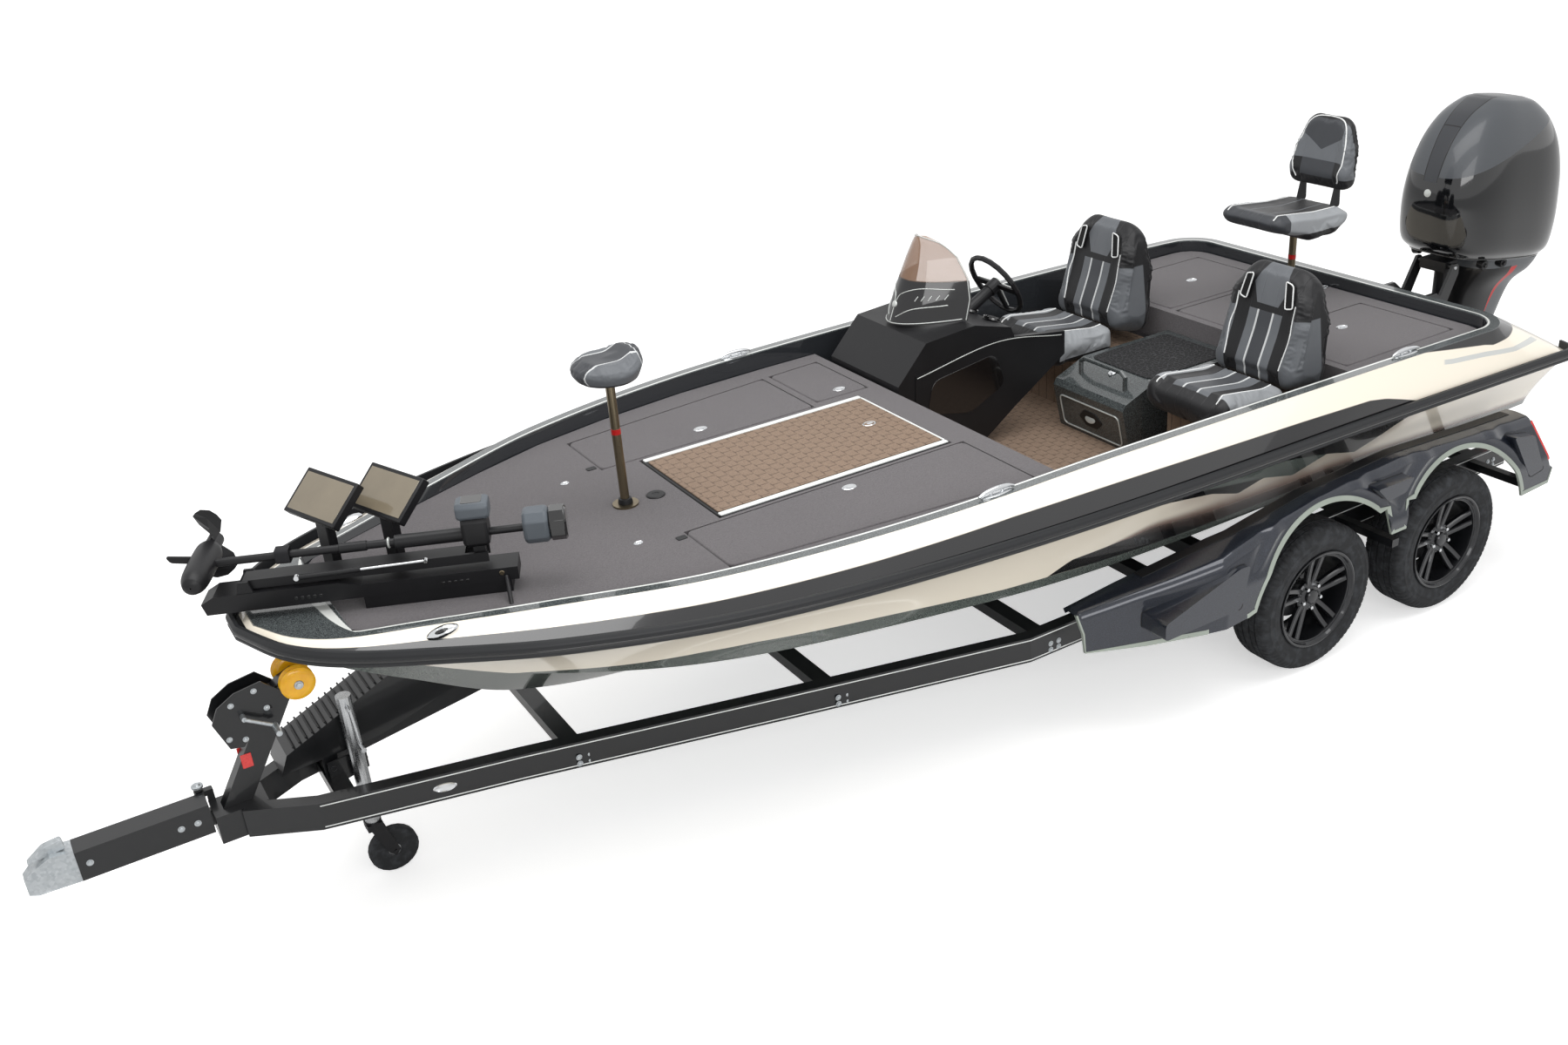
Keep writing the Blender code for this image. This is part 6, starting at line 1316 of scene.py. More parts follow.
def striped(name, centre, rules, seams=()):
    """Vinyl sewn from panels. u is the distance to port of the seat's middle; each rule gives a share from u, x
    and z and the colour that it lays over those before it, and each seam is a crease at one distance."""
    paint = Paint(name, Sheen_Weight=0.06)
    place = paint.place()
    x, y, z = paint.split(place)
    u = (y.abs() - centre).abs()
    shade = tone(62, 64, 68)
    height = paint.cells(place, 260.0, 'SMOOTH_F1') * 0.35 + paint.noise(place, 16.0, 5.0) * 0.6
    for rule, colour in rules(u, x + AFT, z):
        shade = paint.mix(rule, shade, colour)
    for seam in seams:
        height = height - (u - seam).abs().ease(0.004, 0.0) * 3.0
    crease = paint.noise(place, 18.0, 5.0, 0.6)
    shade = paint.mix(crease * 0.14, shade, tone(12, 12, 12))
    return paint.done(colour=shade, rough=crease * 0.2 + 0.36, normal=paint.bump(height, 0.3, 0.0014))


V_BLACK, V_DARK, V_MID = tone(24, 24, 26), tone(58, 60, 64), tone(98, 101, 105)
V_LIGHT, V_LINE = tone(150, 153, 156), tone(206, 208, 208)


def helm_cushion_rules(u, x, z):
    """The panels of the helm cushion."""
    return ((u.band(0.052, 0.112), V_MID), (u.band(0.040, 0.050), V_LINE), (u.band(0.112, 0.172), V_BLACK),
            (u.band(0.172, 0.40), V_LIGHT), (x.ease(2.130, 2.134), V_BLACK),
            ((1.150 - z).ease(0.0, 0.004), V_BLACK))


def helm_back_rules(u, x, z):
    """The panels of the helm seat's back, with a kite at its head."""
    head = (0.105 - u - (z - 1.655).abs() * 0.45).ease(0.0, 0.002).both((z - 1.565).ease(0, 0.002))
    return ((u.band(0.040, 0.050), V_LINE), (u.band(0.052, 0.100), V_MID), (u.band(0.100, 0.172), V_BLACK),
            (u.band(0.172, 0.40), V_MID), ((z - 1.535).ease(0.0, 0.002), V_BLACK), (head, V_MID),
            ((1.560 - x).ease(0.0, 0.004), V_BLACK))


def rear_cushion_rules(u, x, z):
    """The panels of the rear cushion."""
    return ((u.band(0.0, 0.148), V_BLACK), (u.band(0.148, 0.40), V_LIGHT), (u.band(0.060, 0.068), V_MID),
            ((x - 1.095).ease(0.0, 0.004), V_DARK), ((1.690 - z).ease(0.0, 0.004), V_BLACK))


def rear_back_rules(u, x, z):
    """The panels of the folding back, with a point at its top."""
    point = (z - 2.035 - u * 0.55).ease(0.0, 0.002).both((0.120 - u).ease(0.0, 0.002))
    return ((u.band(0.0, 0.105), V_DARK), (u.band(0.105, 0.150), V_BLACK), (u.band(0.150, 0.40), V_MID),
            ((z - 1.985).ease(0.0, 0.003).both((0.150 - u).ease(0.0, 0.002)), V_MID), (point, V_DARK),
            ((1.905 - z).ease(0.0, 0.004), V_BLACK), ((0.636 - x).ease(0.0, 0.004), V_BLACK))


def bow_seat_rules(u, x, z):
    """The panels of the bow seat."""
    return ((u.band(0.0, 0.070), V_DARK), (u.band(0.070, 0.30), V_MID), (u.band(0.066, 0.073), V_LINE),
            ((4.640 - x).ease(0.0, 0.003), V_DARK), ((x - 4.640).abs().ease(0.004, 0.0), V_LINE),
            ((1.850 - z).ease(0.0, 0.004), V_BLACK))


def swell(obj, pressure=4.0, cap=0.012, voxel=0.0062):
    """Evens a pad's mesh, swells it as stuffed cloth under pressure without gravity, and keeps every point within
    the cap of where it was: move = (swollen - rest) * min(1, cap / |swollen - rest|)."""
    step = obj.modifiers.new("even", 'REMESH')
    step.mode, step.voxel_size = 'VOXEL', voxel
    ease = obj.modifiers.new("ease", 'SMOOTH')
    ease.factor, ease.iterations = 0.5, 6
    bpy.context.view_layer.update()
    done = bpy.data.meshes.new_from_object(obj.evaluated_get(bpy.context.evaluated_depsgraph_get()))
    obj.modifiers.clear()
    obj.data = done
    done.shade_smooth()
    cloth = obj.modifiers.new("swell", 'CLOTH')
    cloth.settings.use_pressure = True
    cloth.settings.uniform_pressure_force = pressure
    cloth.settings.effector_weights.gravity = 0
    cloth.settings.quality = 4
    cloth.settings.mass = 0.3
    cloth.point_cache.frame_start, cloth.point_cache.frame_end = 1, 20
    rest = np.empty(len(done.vertices) * 3, np.float32)
    done.vertices.foreach_get("co", rest)
    scene = bpy.context.scene
    for frame_number in range(1, 21):
        scene.frame_set(frame_number)
    swollen = np.empty_like(rest)
    held = obj.evaluated_get(bpy.context.evaluated_depsgraph_get())
    held.data.vertices.foreach_get("co", swollen)
    move = (swollen - rest).reshape(-1, 3)
    move *= np.minimum(1.0, cap / np.maximum(np.linalg.norm(move, axis=1), 1e-9))[:, None]
    obj.modifiers.clear()
    scene.frame_set(1)
    obj.data.vertices.foreach_set("co", (rest.reshape(-1, 3) + move).ravel())
    obj.data.update()
    return obj


def pad_form(section, half, y, count=41):
    """A pad lofted from side outlines. section(t) gives the outline of X and Z at the share t of the half width,
    and the outline draws in to its middle at the ends as 1 - 0.16 |t|^10 does."""
    rows = []
    for t in np.linspace(-1, 1, count):
        outline = np.asarray(section(t), float)
        centre = outline.mean(0)
        keep = 1 - 0.16 * abs(t) ** 10
        outline = centre + (outline - centre) * keep
        rows.append(np.column_stack([outline[:, 0], np.full(len(outline), y + half * t), outline[:, 1]]))
    return surface(np.array(rows), ring=True, ends=True)


def helm_cushion(t):
    """The helm cushion in side view, its bolsters up by 0.016 exp(-((|t| - 0.84) / 0.14)^2)."""
    lift = 0.016 * math.exp(-((abs(t) - 0.84) / 0.14) ** 2)
    return rounded([(1.735, 1.120), (2.160, 1.120), (2.200, 1.180), (2.188, 1.244 + lift), (2.130, 1.268 + lift),
                    (1.860, 1.228 + lift), (1.750, 1.245)], 0.03, 5)


def helm_back(t):
    """The helm seat's back in side view; its wings stand forward by 0.03 exp(-((|t| - 0.84) / 0.15)^2)."""
    wing = 0.030 * math.exp(-((abs(t) - 0.84) / 0.15) ** 2)
    return rounded([(1.530, 1.150), (1.745, 1.215), (1.735 + wing * 0.3, 1.290), (1.672 + wing, 1.450),
                    (1.622 + wing, 1.640), (1.592, 1.735), (1.560, 1.758), (1.512, 1.720), (1.482, 1.500),
                    (1.492, 1.250)], 0.035, 5)


def rear_cushion(t):
    """The rear cushion in side view, its sides up by 0.012 exp(-((|t| - 0.82) / 0.14)^2)."""
    lift = 0.012 * math.exp(-((abs(t) - 0.82) / 0.14) ** 2)
    return rounded([(0.738, 1.652), (0.938, 1.650), (0.980, 1.682), (1.172, 1.734), (1.200, 1.772),
                    (1.170, 1.792 + lift), (0.890, 1.760 + lift), (0.700, 1.762), (0.640, 1.745), (0.648, 1.706),
                    (0.700, 1.678)], 0.02, 4)


def rear_back(t):
    """The folding back in side view, its sides forward by 0.014 exp(-((|t| - 0.80) / 0.16)^2)."""
    wing = 0.014 * math.exp(-((abs(t) - 0.80) / 0.16) ** 2)
    return rounded([(0.692, 1.838), (0.700 + wing, 1.918), (0.666 + wing, 2.050), (0.636, 2.186), (0.616, 2.214),
                    (0.588, 2.196), (0.591, 2.050), (0.620, 1.880), (0.640, 1.838)], 0.02, 4)


def narrowed(form, low, high, share):
    """Draws a pad's sides in above a height: half width * (1 - share * s^2), s from 0 at low to 1 at high."""
    s = np.clip((form.verts[:, 2] - low) / (high - low), 0, 1)
    form.verts[:, 1] *= 1 - share * s ** 2
    return form


def bow_seat_form():
    """Ovals of X and Y radii at a height, raised at the back by lift * max(0, -cos a)^1.5."""
    a = np.linspace(0, 2 * math.pi, 64, endpoint=False)
    rows = []
    for rx, ry, z, back, lift in ((0.02, 0.02, 0.002, 0, 0), (0.048, 0.055, 0.020, 0, 0),
                                  (0.125, 0.142, 0.042, 0, 0.008), (0.148, 0.163, 0.080, 0, 0.028),
                                  (0.140, 0.156, 0.106, 0, 0.046),
                                  (0.105, 0.120, 0.112, 0.02, 0.042), (0.040, 0.050, 0.108, 0.02, 0.014)):
        ring_x = 4.7425 - back + rx * np.cos(a) * np.where(np.cos(a) > 0, 1.0, 0.92)
        rise = lift * np.clip(-np.cos(a), 0, 1) ** 1.5
        rows.append(np.column_stack([ring_x, ry * np.sin(a), 1.8003 + z + rise]))
    return surface(np.array(rows), ring=True, ends=True)


def sewn(obj, path, radius=0.0036):
    """Piping on a pad: the path's points move to the pad's nearest places and a tube follows them."""
    tree = BVHTree.FromObject(obj, bpy.context.evaluated_depsgraph_get())
    found = [tree.find_nearest(Vector((p[0] - AFT, p[1], p[2])))[0] for p in path]
    line = np.array([(p.x + AFT, p.y, p.z) for p in found])
    for _ in range(3):
        line[1:-1] = (line[:-2] + 2 * line[1:-1] + line[2:]) / 4
    return tube(line, radius, 8, flat=(0, 1, 0.05))


def along_top(outline, y, count=60):
    """A smooth line through points of X and Z, at one value of Y."""
    part = smooth_line(np.asarray(outline, float), count)
    return np.column_stack([part[:, 0], np.full(count, y), part[:, 1]])


def build_helm_seats():
    """The helm seats. The passenger's pads take the driver's swollen meshes, moved across."""
    hide_low = striped("helm_cushion_vinyl", 0.583, helm_cushion_rules, (0.045, 0.112, 0.172))
    hide_back = striped("helm_back_vinyl", 0.583, helm_back_rules, (0.045, 0.100, 0.172))
    finished = {}
    for name, side in (("driver_seat", -1), ("passenger_seat", 1)):
        y = side * 0.583
        for part, section, finish, cap in (("cushion", helm_cushion, hide_low, 0.014),
                                           ("back", helm_back, hide_back, 0.012)):
            low = part == "cushion"
            form = pad_form(section, 0.255, 0.0)
            if not low:
                form = narrowed(form, 1.50, 1.78, 0.42)
            form.verts[:, 1] += y
            obj = make(name + "_" + part, form, finish, stands_for=(name,) if low else (), slot=name)
            if side == -1:
                finished[part] = swell(obj, cap=cap).data
            else:
                twin = finished[part].copy()
                co = np.empty(len(twin.vertices) * 3, np.float32)
                twin.vertices.foreach_get("co", co)
                co = co.reshape(-1, 3)
                co[:, 1] += 1.166
                twin.vertices.foreach_set("co", co.ravel())
                twin.update()
                obj.data = twin
            bpy.context.view_layer.update()
            pipes = NOTHING
            line = [(1.80, 1.30), (1.86, 1.29), (2.00, 1.30), (2.13, 1.32), (2.19, 1.29)] if low else [
                (1.76, 1.31), (1.73, 1.45), (1.69, 1.52), (1.67, 1.60)]
            for edge in (-0.172, 0.172):
                pipes = pipes + sewn(obj, along_top(line, y + edge * (1.0 if low else 0.97)))
            make(name + "_" + part + "_piping", pipes, PIPING, slot=name, sharp=60)
        rim = NOTHING
        # each opening is plugged with a near-black prism: painted shade inside the hole
        shade_plugs = NOTHING
        for s in (1, -1):
            gap = rounded([(0.118, 1.575), (0.160, 1.585), (0.140, 1.690), (0.098, 1.700)], 0.012, 4)
            depth = np.interp(gap[:, 1], (1.45, 1.66), (1.702, 1.650))
            path = np.column_stack([depth, y + s * gap[:, 0], gap[:, 1]])
            rim = rim + tube(path, 0.0035, 8, closed=True, flat=(1, 0, 0.2))
            inner = np.vstack([path, path - (0.012, 0, 0)]).reshape(2, -1, 3)
            shade_plugs = shade_plugs + surface(inner, ring=True, ends=True)
        make(name + "_openings", shade_plugs, HOLE_SHADE, slot=name)
        make(name + "_opening_rims", rim, PIPING, slot=name, sharp=60)


# near-black for the seat backs' openings: painted shade
HOLE_SHADE = plastic("painted_shade_recess", tone(8, 8, 9), 0.7)


def build_pedestal_seats():
    """The rear seat with its folding back and hinges, the bow seat, and the two poles' trims."""
    rear_low = striped("rear_cushion_vinyl", 0.0, rear_cushion_rules, (0.064, 0.148))
    rear_up = striped("rear_back_vinyl", 0.0, rear_back_rules, (0.105, 0.150))
    bow = striped("bow_seat_vinyl", 0.0, bow_seat_rules, (0.070,))
    cushion = make("rear_seat_pad", pad_form(rear_cushion, 0.213, 0.0), rear_low, "rear_seat",
                   ["rear_seat_cushion"])
    swell(cushion, cap=0.010)
    back = narrowed(pad_form(rear_back, 0.195, 0.0), 1.955, 2.225, 0.42)
    back = make("rear_seat_back_pad", back, rear_up, "rear_seat_back", ["rear_seat_backrest"])
    swell(back, cap=0.010)
    top = make("bow_seat_pad", bow_seat_form(), bow, "bow_seat_top", ["bow_seat"])
    swell(top, cap=0.010)
    bpy.context.view_layer.update()
    pipes = NOTHING
    for edge in (-0.148, 0.148):
        line = [(0.72, 1.79), (0.89, 1.80), (1.08, 1.815), (1.19, 1.81)]
        pipes = pipes + sewn(cushion, along_top(line, edge))
    make("rear_cushion_piping", pipes, PIPING, "rear_seat", slot="rear_seat_cushion", sharp=60)
    line = [(0.135, 1.88), (0.150, 1.96), (0.138, 2.08), (0.100, 2.18), (0.0, 2.205), (-0.100, 2.18),
            (-0.138, 2.08), (-0.150, 1.96), (-0.135, 1.88)]
    line = smooth_line([(0.72 - 0.28 * (z - 1.88), y, z) for y, z in line], 80)
    make("rear_back_piping", sewn(back, line), PIPING, "rear_seat_back", slot="rear_seat_backrest", sharp=60)
    arms = NOTHING
    for side in (1, -1):
        arm = rounded([(0.640, 1.752), (0.712, 1.752), (0.684, 1.872), (0.646, 1.872)], 0.018, 5)
        arms = arms + side_view(arm, side * 0.110 - 0.004, side * 0.110 + 0.004)
        arms = arms + rod((0.663, side * 0.100, 1.855), (0.663, side * 0.122, 1.855), 0.009, 16)
    make("rear_seat_hinges", arms, SATIN, "rear_seat", slot="rear_seat_cushion", soften=(0.001, 1))
    for name, x, top_z in (("bow_pedestal", 4.7425, 1.8), ("rear_pedestal", 0.838, 1.64)):
        low = DECK_Z + 0.006
        band = lathed([(0.0190, -0.012), (0.0202, -0.011), (0.0202, 0.011), (0.0190, 0.012)],
                      (x, 0, low + (top_z - low) * 0.62), (0, 0, 1), 32)
        make(name + "_band", band, RED, slot=name, sharp=40)
        socket = lathed([(0.0195, 0.024), (0.027, 0.022), (0.031, 0.006), (0.031, 0.0)], (x, 0, DECK_Z + 0.008),
                        (0, 0, 1), 32)
        make(name + "_socket", socket, SATIN, slot=name, sharp=40)


# Console and helm

SHIELD_ROWS = np.array(((1.5003, 3.000, 0.235, 0.300), (1.6, 2.960, 0.230, 0.290), (1.7, 2.915, 0.205, 0.250),
                        (1.8, 2.870, 0.155, 0.180), (1.87, 2.835, 0.095, 0.090), (1.903, 2.815, 0.040, 0.020)))


def on_shield(t, z, out=0.0):
    """A place on the windshield: x = nose(z) - depth(z) t^2, y = half(z) t, out is how far it stands proud."""
    t, z = np.asarray(t, float), np.asarray(z, float)
    nose, half, depth = (np.interp(z, SHIELD_ROWS[:, 0], SHIELD_ROWS[:, k]) for k in (1, 2, 3))
    return np.stack([nose - depth * t * t + out, -0.585 + (half + out) * t, z], -1)


def build_console():
    """The windshield and its silver lines, the console's lines and gauges, and the port step's plate."""
    z = np.linspace(1.5003, 1.903, 40)
    t = np.linspace(-1, 1, 61)
    grid = on_shield(t[None, :] + 0 * z[:, None], z[:, None] + 0 * t[None, :])
    inner = on_shield(t[None, :] * 0.98, z[:, None] + 0 * t[None, :], -0.005)
    outer = surface(grid, across=np.linspace(0, 1, 61), along=np.linspace(0, 1, 40))
    outer.sheet = outer.sheet[:, ::-1]
    back = surface(inner[:, ::-1], across=np.linspace(0, 1, 61), along=np.linspace(0, 1, 40))
    back.sheet = back.sheet[:, ::-1]
    make("shield", outer + back, SHIELD, stands_for=["windshield"], sharp=60)
    lines = NOTHING
    routes = [[(-0.86, 1.655), (-0.45, 1.668), (-0.10, 1.640), (0, 1.600), (0.10, 1.640), (0.45, 1.668),
               (0.86, 1.655)],
              [(0, 1.512), (0, 1.600)],
              [(-0.80, 1.585), (-0.40, 1.575), (-0.12, 1.535)], [(0.80, 1.585), (0.40, 1.575), (0.12, 1.535)],
              [(-0.95, 1.512), (-0.5, 1.508), (0, 1.506), (0.5, 1.508), (0.95, 1.512)]]
    for k in range(5):
        routes.append([(0.40 + 0.09 * k, 1.612), (0.44 + 0.09 * k, 1.634)])
        routes.append([(-0.40 - 0.09 * k, 1.612), (-0.44 - 0.09 * k, 1.634)])
    for route in routes:
        path = smooth_line(np.asarray(route, float), 12 + 8 * len(route))
        lines = lines + tube(on_shield(path[:, 0], path[:, 1], 0.001), 0.0026, 8, flat=(0.3, 0.1, 1))
    edge = smooth_line([(-0.985, 1.505), (-0.985, 1.65), (-0.985, 1.78), (-0.96, 1.87), (-0.6, 1.897), (0, 1.901),
                        (0.6, 1.897), (0.96, 1.87), (0.985, 1.78), (0.985, 1.65), (0.985, 1.505)], 120)
    lines = lines + tube(on_shield(edge[:, 0], edge[:, 1]), 0.0030, 8, flat=(1, 0.1, 0.2))
    disc = lathed([(0, 0.004), (0.014, 0.004), (0.017, 0.002), (0.017, -0.004)], (2.966, -0.585, 1.590),
                  (1, 0, 0.4), 32)
    make("shield_lines", lines + disc, SILVER_TRIM, slot="windshield", sharp=60)
    dash = NOTHING
    for k in range(5):
        y = -0.50 - 0.040 * k
        dash = dash + rod((3.1295, y, 1.343), (3.0845, y, 1.394), 0.0035, 8)
    path = [(3.1800, y, 1.240) for y in np.linspace(-0.84, -0.30, 24)]
    dash = dash + tube(np.array(path), 0.0028, 8)
    shelf = smooth_line([(x, -0.2655, z) for x, z in ((2.180, 1.325), (2.590, 1.385), (3.070, 1.318))], 40)
    make("console_lines", dash + tube(shelf, 0.0026, 8), SILVER_TRIM, slot="console", sharp=60)
    panel = rounded([(2.60, 1.330), (2.98, 1.280), (3.02, 1.120), (2.76, 1.060), (2.54, 1.160)], 0.05, 6)
    make("console_panel", side_view(panel, -0.2662, -0.2640), COWL_BLACK, slot="console", soften=(0.0015, 2))
    gauges = NOTHING
    for y in (-0.42, -0.60, -0.78):
        gauges = gauges + lathed([(0, 0.006), (0.036, 0.006), (0.040, 0.010), (0.044, 0.010), (0.046, 0)],
                                 (2.500, y, 1.446), (-0.35, 0, 1), 32)
    make("dash_gauges", gauges, GLOSS, slot="console", sharp=30)
    n = np.array([math.cos(math.radians(28)), 0, -math.sin(math.radians(28))])
    hub = np.array([2.330, -0.600, 1.545])
    face = lathed([(0, -0.010), (0.026, -0.010), (0.032, -0.004), (0.034, 0.002)], hub - n * 0.012, n, 32)
    up = np.cross(n, (0, 1, 0))
    inlays = face
    for direction in ((0, 1.0, 0), (0, -1.0, 0), up if up[2] < 0 else -up):
        d = np.asarray(direction, float)
        inlays = inlays + rod(hub + d * 0.045 - n * 0.013, hub + d * 0.150 - n * 0.009, 0.0055, 10)
    make("wheel_inlays", inlays, SILVER_TRIM, "steering", slot="steering_wheel", sharp=40)
    plate = plan(rounded([(2.900, 0.500), (3.150, 0.500), (3.150, 0.800), (2.900, 0.800)], 0.02, 4),
                 1.0600, 1.0630)
    make("port_step_plate", plate, STEEL, slot="cockpit_floor", soften=(0.001, 1))
    treads = NOTHING
    for i in range(9):
        for j in range(11):
            spot = (2.918 + i * 0.027, 0.520 + j * 0.026, 1.0630)
            stud = lathed([(0, 0.0016), (0.55, 0.0013), (1.0, 0.0)], (0, 0, 0), (0, 0, 1), 10)
            stud.verts[:, :2] *= (0.010, 0.0035)
            turn = Matrix.Rotation(0.785 if (i + j) % 2 else -0.785, 4, 'Z')
            treads = treads + stud.turned(Matrix.Translation(spot) @ turn)
    make("port_step_treads", treads, STEEL, slot="cockpit_floor")
    cap = lathed([(0, 0.010), (0.030, 0.010), (0.036, 0.007), (0.038, 0.0)], (2.985, 0.650, 1.063), (0, 0, 1), 36)
    make("port_step_cap", cap, SATIN, slot="cockpit_floor", sharp=30)


def build_step():
    """The step between the seats: traction mat, light frame, recess and latch."""
    top = rounded([(1.510, -0.215), (2.030, -0.215), (2.030, 0.215), (1.510, 0.215)], 0.05, 6)
    make("step_mat", plan(top, 1.1800, 1.1850), STEP_MAT, slot="cockpit_step", soften=(0.002, 2))
    frame_line = rounded([(2.2325, -0.215, 1.035), (2.2325, 0.215, 1.035), (2.1965, 0.215, 0.872),
                          (2.1965, -0.215, 0.872)], 0.03, 6)
    trims = tube(frame_line, 0.0040, 8, closed=True, flat=(1, 0, 0.2))
    make("step_frame", trims, SILVER_TRIM, slot="cockpit_step", sharp=60)
    hexagon = np.array([(2.2145, 0.085 * math.cos(a), 0.955 + 0.050 * math.sin(a))
                        for a in np.arange(6) * math.pi / 3])
    hexagon[:, 0] = np.interp(hexagon[:, 2], (0.850, 1.080), (2.190, 2.240)) + 0.001
    recess = surface(np.stack([hexagon - (0.004, 0, 0), hexagon + (0.002, 0, 0)]), ring=True, ends=True)
    make("step_recess", recess, SATIN, slot="cockpit_step", soften=(0.001, 1))
    oval = lathed([(0, 0.004), (0.85, 0.004), (1.0, 0.002), (1.0, -0.002)], (0, 0, 0), (0, 0, 1), 30)
    oval.verts[:, :2] *= (0.020, 0.036)
    oval = oval.turned(Matrix.Translation((2.2170, 0, 0.958)) @ Matrix.Rotation(math.radians(77.7), 4, 'Y'))
    make("step_oval", oval, SILVER_TRIM, slot="cockpit_step", sharp=40)
    ring = latch_ring(2.075, 0.0, 1.1690, 0.026)
    ring = ring.turned(Matrix.Translation((2.075, 0, 1.169)) @ Matrix.Rotation(math.radians(21), 4, 'Y')
                       @ Matrix.Translation((-2.075, 0, -1.167)))
    make("step_latch", ring, CHROME, slot="cockpit_step", sharp=30)


# Outboard

COWL_ROWS = np.array(((0.000, -0.300, -1.080, 0.250), (0.060, -0.235, -1.130, 0.285),
                      (0.200, -0.210, -1.164, 0.290), (0.350, -0.215, -1.170, 0.285),
                      (0.500, -0.250, -1.165, 0.270), (0.650, -0.320, -1.125, 0.245),
                      (0.770, -0.420, -1.050, 0.205), (0.850, -0.540, -0.950, 0.150),
                      (0.875, -0.600, -0.880, 0.100)))
LEG_ROWS = np.array(((1.2617, -0.360, -1.075, 0.245, 0.15), (1.252, -0.365, -1.070, 0.240, 0.15),
                     (1.244, -0.530, -1.068, 0.232, 0.15), (1.150, -0.530, -1.030, 0.205, 0.10),
                     (1.000, -0.520, -0.960, 0.130, 0.0), (0.800, -0.515, -0.890, 0.092, 0.0),
                     (0.640, -0.510, -0.860, 0.065, 0.0), (0.560, -0.510, -0.840, 0.030, 0.0),
                     (0.400, -0.520, -0.800, 0.025, 0.0)))


def full_ring(z, front, back, half, slope=0.0, count=96):
    """x = middle + length |cos a|^0.65, y = half |sin a|^0.65, z rises by the slope ahead of the steering axis."""
    a = np.linspace(0, 2 * math.pi, count, endpoint=False)
    c, s = np.cos(a), np.sin(a)
    x = (front + back) / 2 + (front - back) / 2 * np.sign(c) * np.abs(c) ** 0.65
    y = half * np.sign(s) * np.abs(s) ** 0.65
    return np.column_stack([x, y, z + slope * (x + 0.430)])


def cowl_finish():
    """The cowl's panels: a dark centre strip down the top, satin grey facets beside it and gloss black sides.
    With s the distance aft of the nose, the strip is |y| < 0.045 + 0.075 s and the facet lies over
    z = 1.735 + 0.30 s."""
    paint = Paint("cowl_panels", Coat_Roughness=0.05)
    x, y, z = paint.split(paint.place())
    s = (x + AFT + 0.25) * -1.0
    side = y.abs()
    strip = (s * 0.075 + 0.045 - side)
    above = z - s * 0.30 - 1.735
    upper = above.ease(-0.001, 0.001)
    centre = strip.ease(-0.001, 0.001).both((z - 1.70).ease(0.0, 0.001))
    grooves = (strip.abs().ease(0.0045, 0.0015).both((z - 1.70).ease(0, 0.001)))
    grooves = grooves.either((s - 0.335).abs().ease(0.0035, 0.001).both(centre))
    grooves = grooves.either((s - 0.115).abs().ease(0.0035, 0.001).both(centre))
    fine = paint.noise(paint.place(), 420.0, 2.0)
    shade = paint.mix(upper, tone(13, 14, 16), tone(74, 77, 81))
    shade = paint.mix(centre, shade, tone(50, 52, 56))
    shade = paint.mix(grooves, shade, tone(10, 10, 11))
    satin = upper.either(centre)
    height = fine * 0.05 - grooves
    return paint.done(colour=shade, rough=satin * 0.26 + 0.10, coat=satin * -0.7 + 1.0,
                      normal=paint.bump(height, 0.35, 0.002))


def leg_finish():
    """The leg: satin grey chaps and midsection, with a black panel inside edged by a red stripe."""
    paint = Paint("leg_panels", Coat_Weight=0.3)
    x, _, z = paint.split(paint.place())
    station = x + AFT
    edge = (z - 1.14) * -0.10 - 0.740
    panel = (station - edge).ease(0.0, 0.002).both((1.165 - z).ease(0, 0.002)).both((z - 0.66).ease(0, 0.002))
    stripe = (edge - station).ease(0.0, 0.002).both((station - edge + 0.052 - (1.15 - z) * 0.16).ease(0.0, 0.002))
    stripe = stripe.both((1.155 - z).ease(0, 0.002)).both((z - 0.83).ease(0, 0.002))
    grain = paint.noise(paint.place(), 500.0, 2.0)
    shade = paint.mix(grain, tone(84, 87, 91), tone(94, 97, 101))
    shade = paint.mix(panel, shade, tone(16, 16, 18))
    shade = paint.mix(stripe, shade, tone(196, 26, 24))
    return paint.done(colour=shade, rough=grain * 0.1 + 0.32, normal=paint.bump(grain, 0.08, 0.0006))


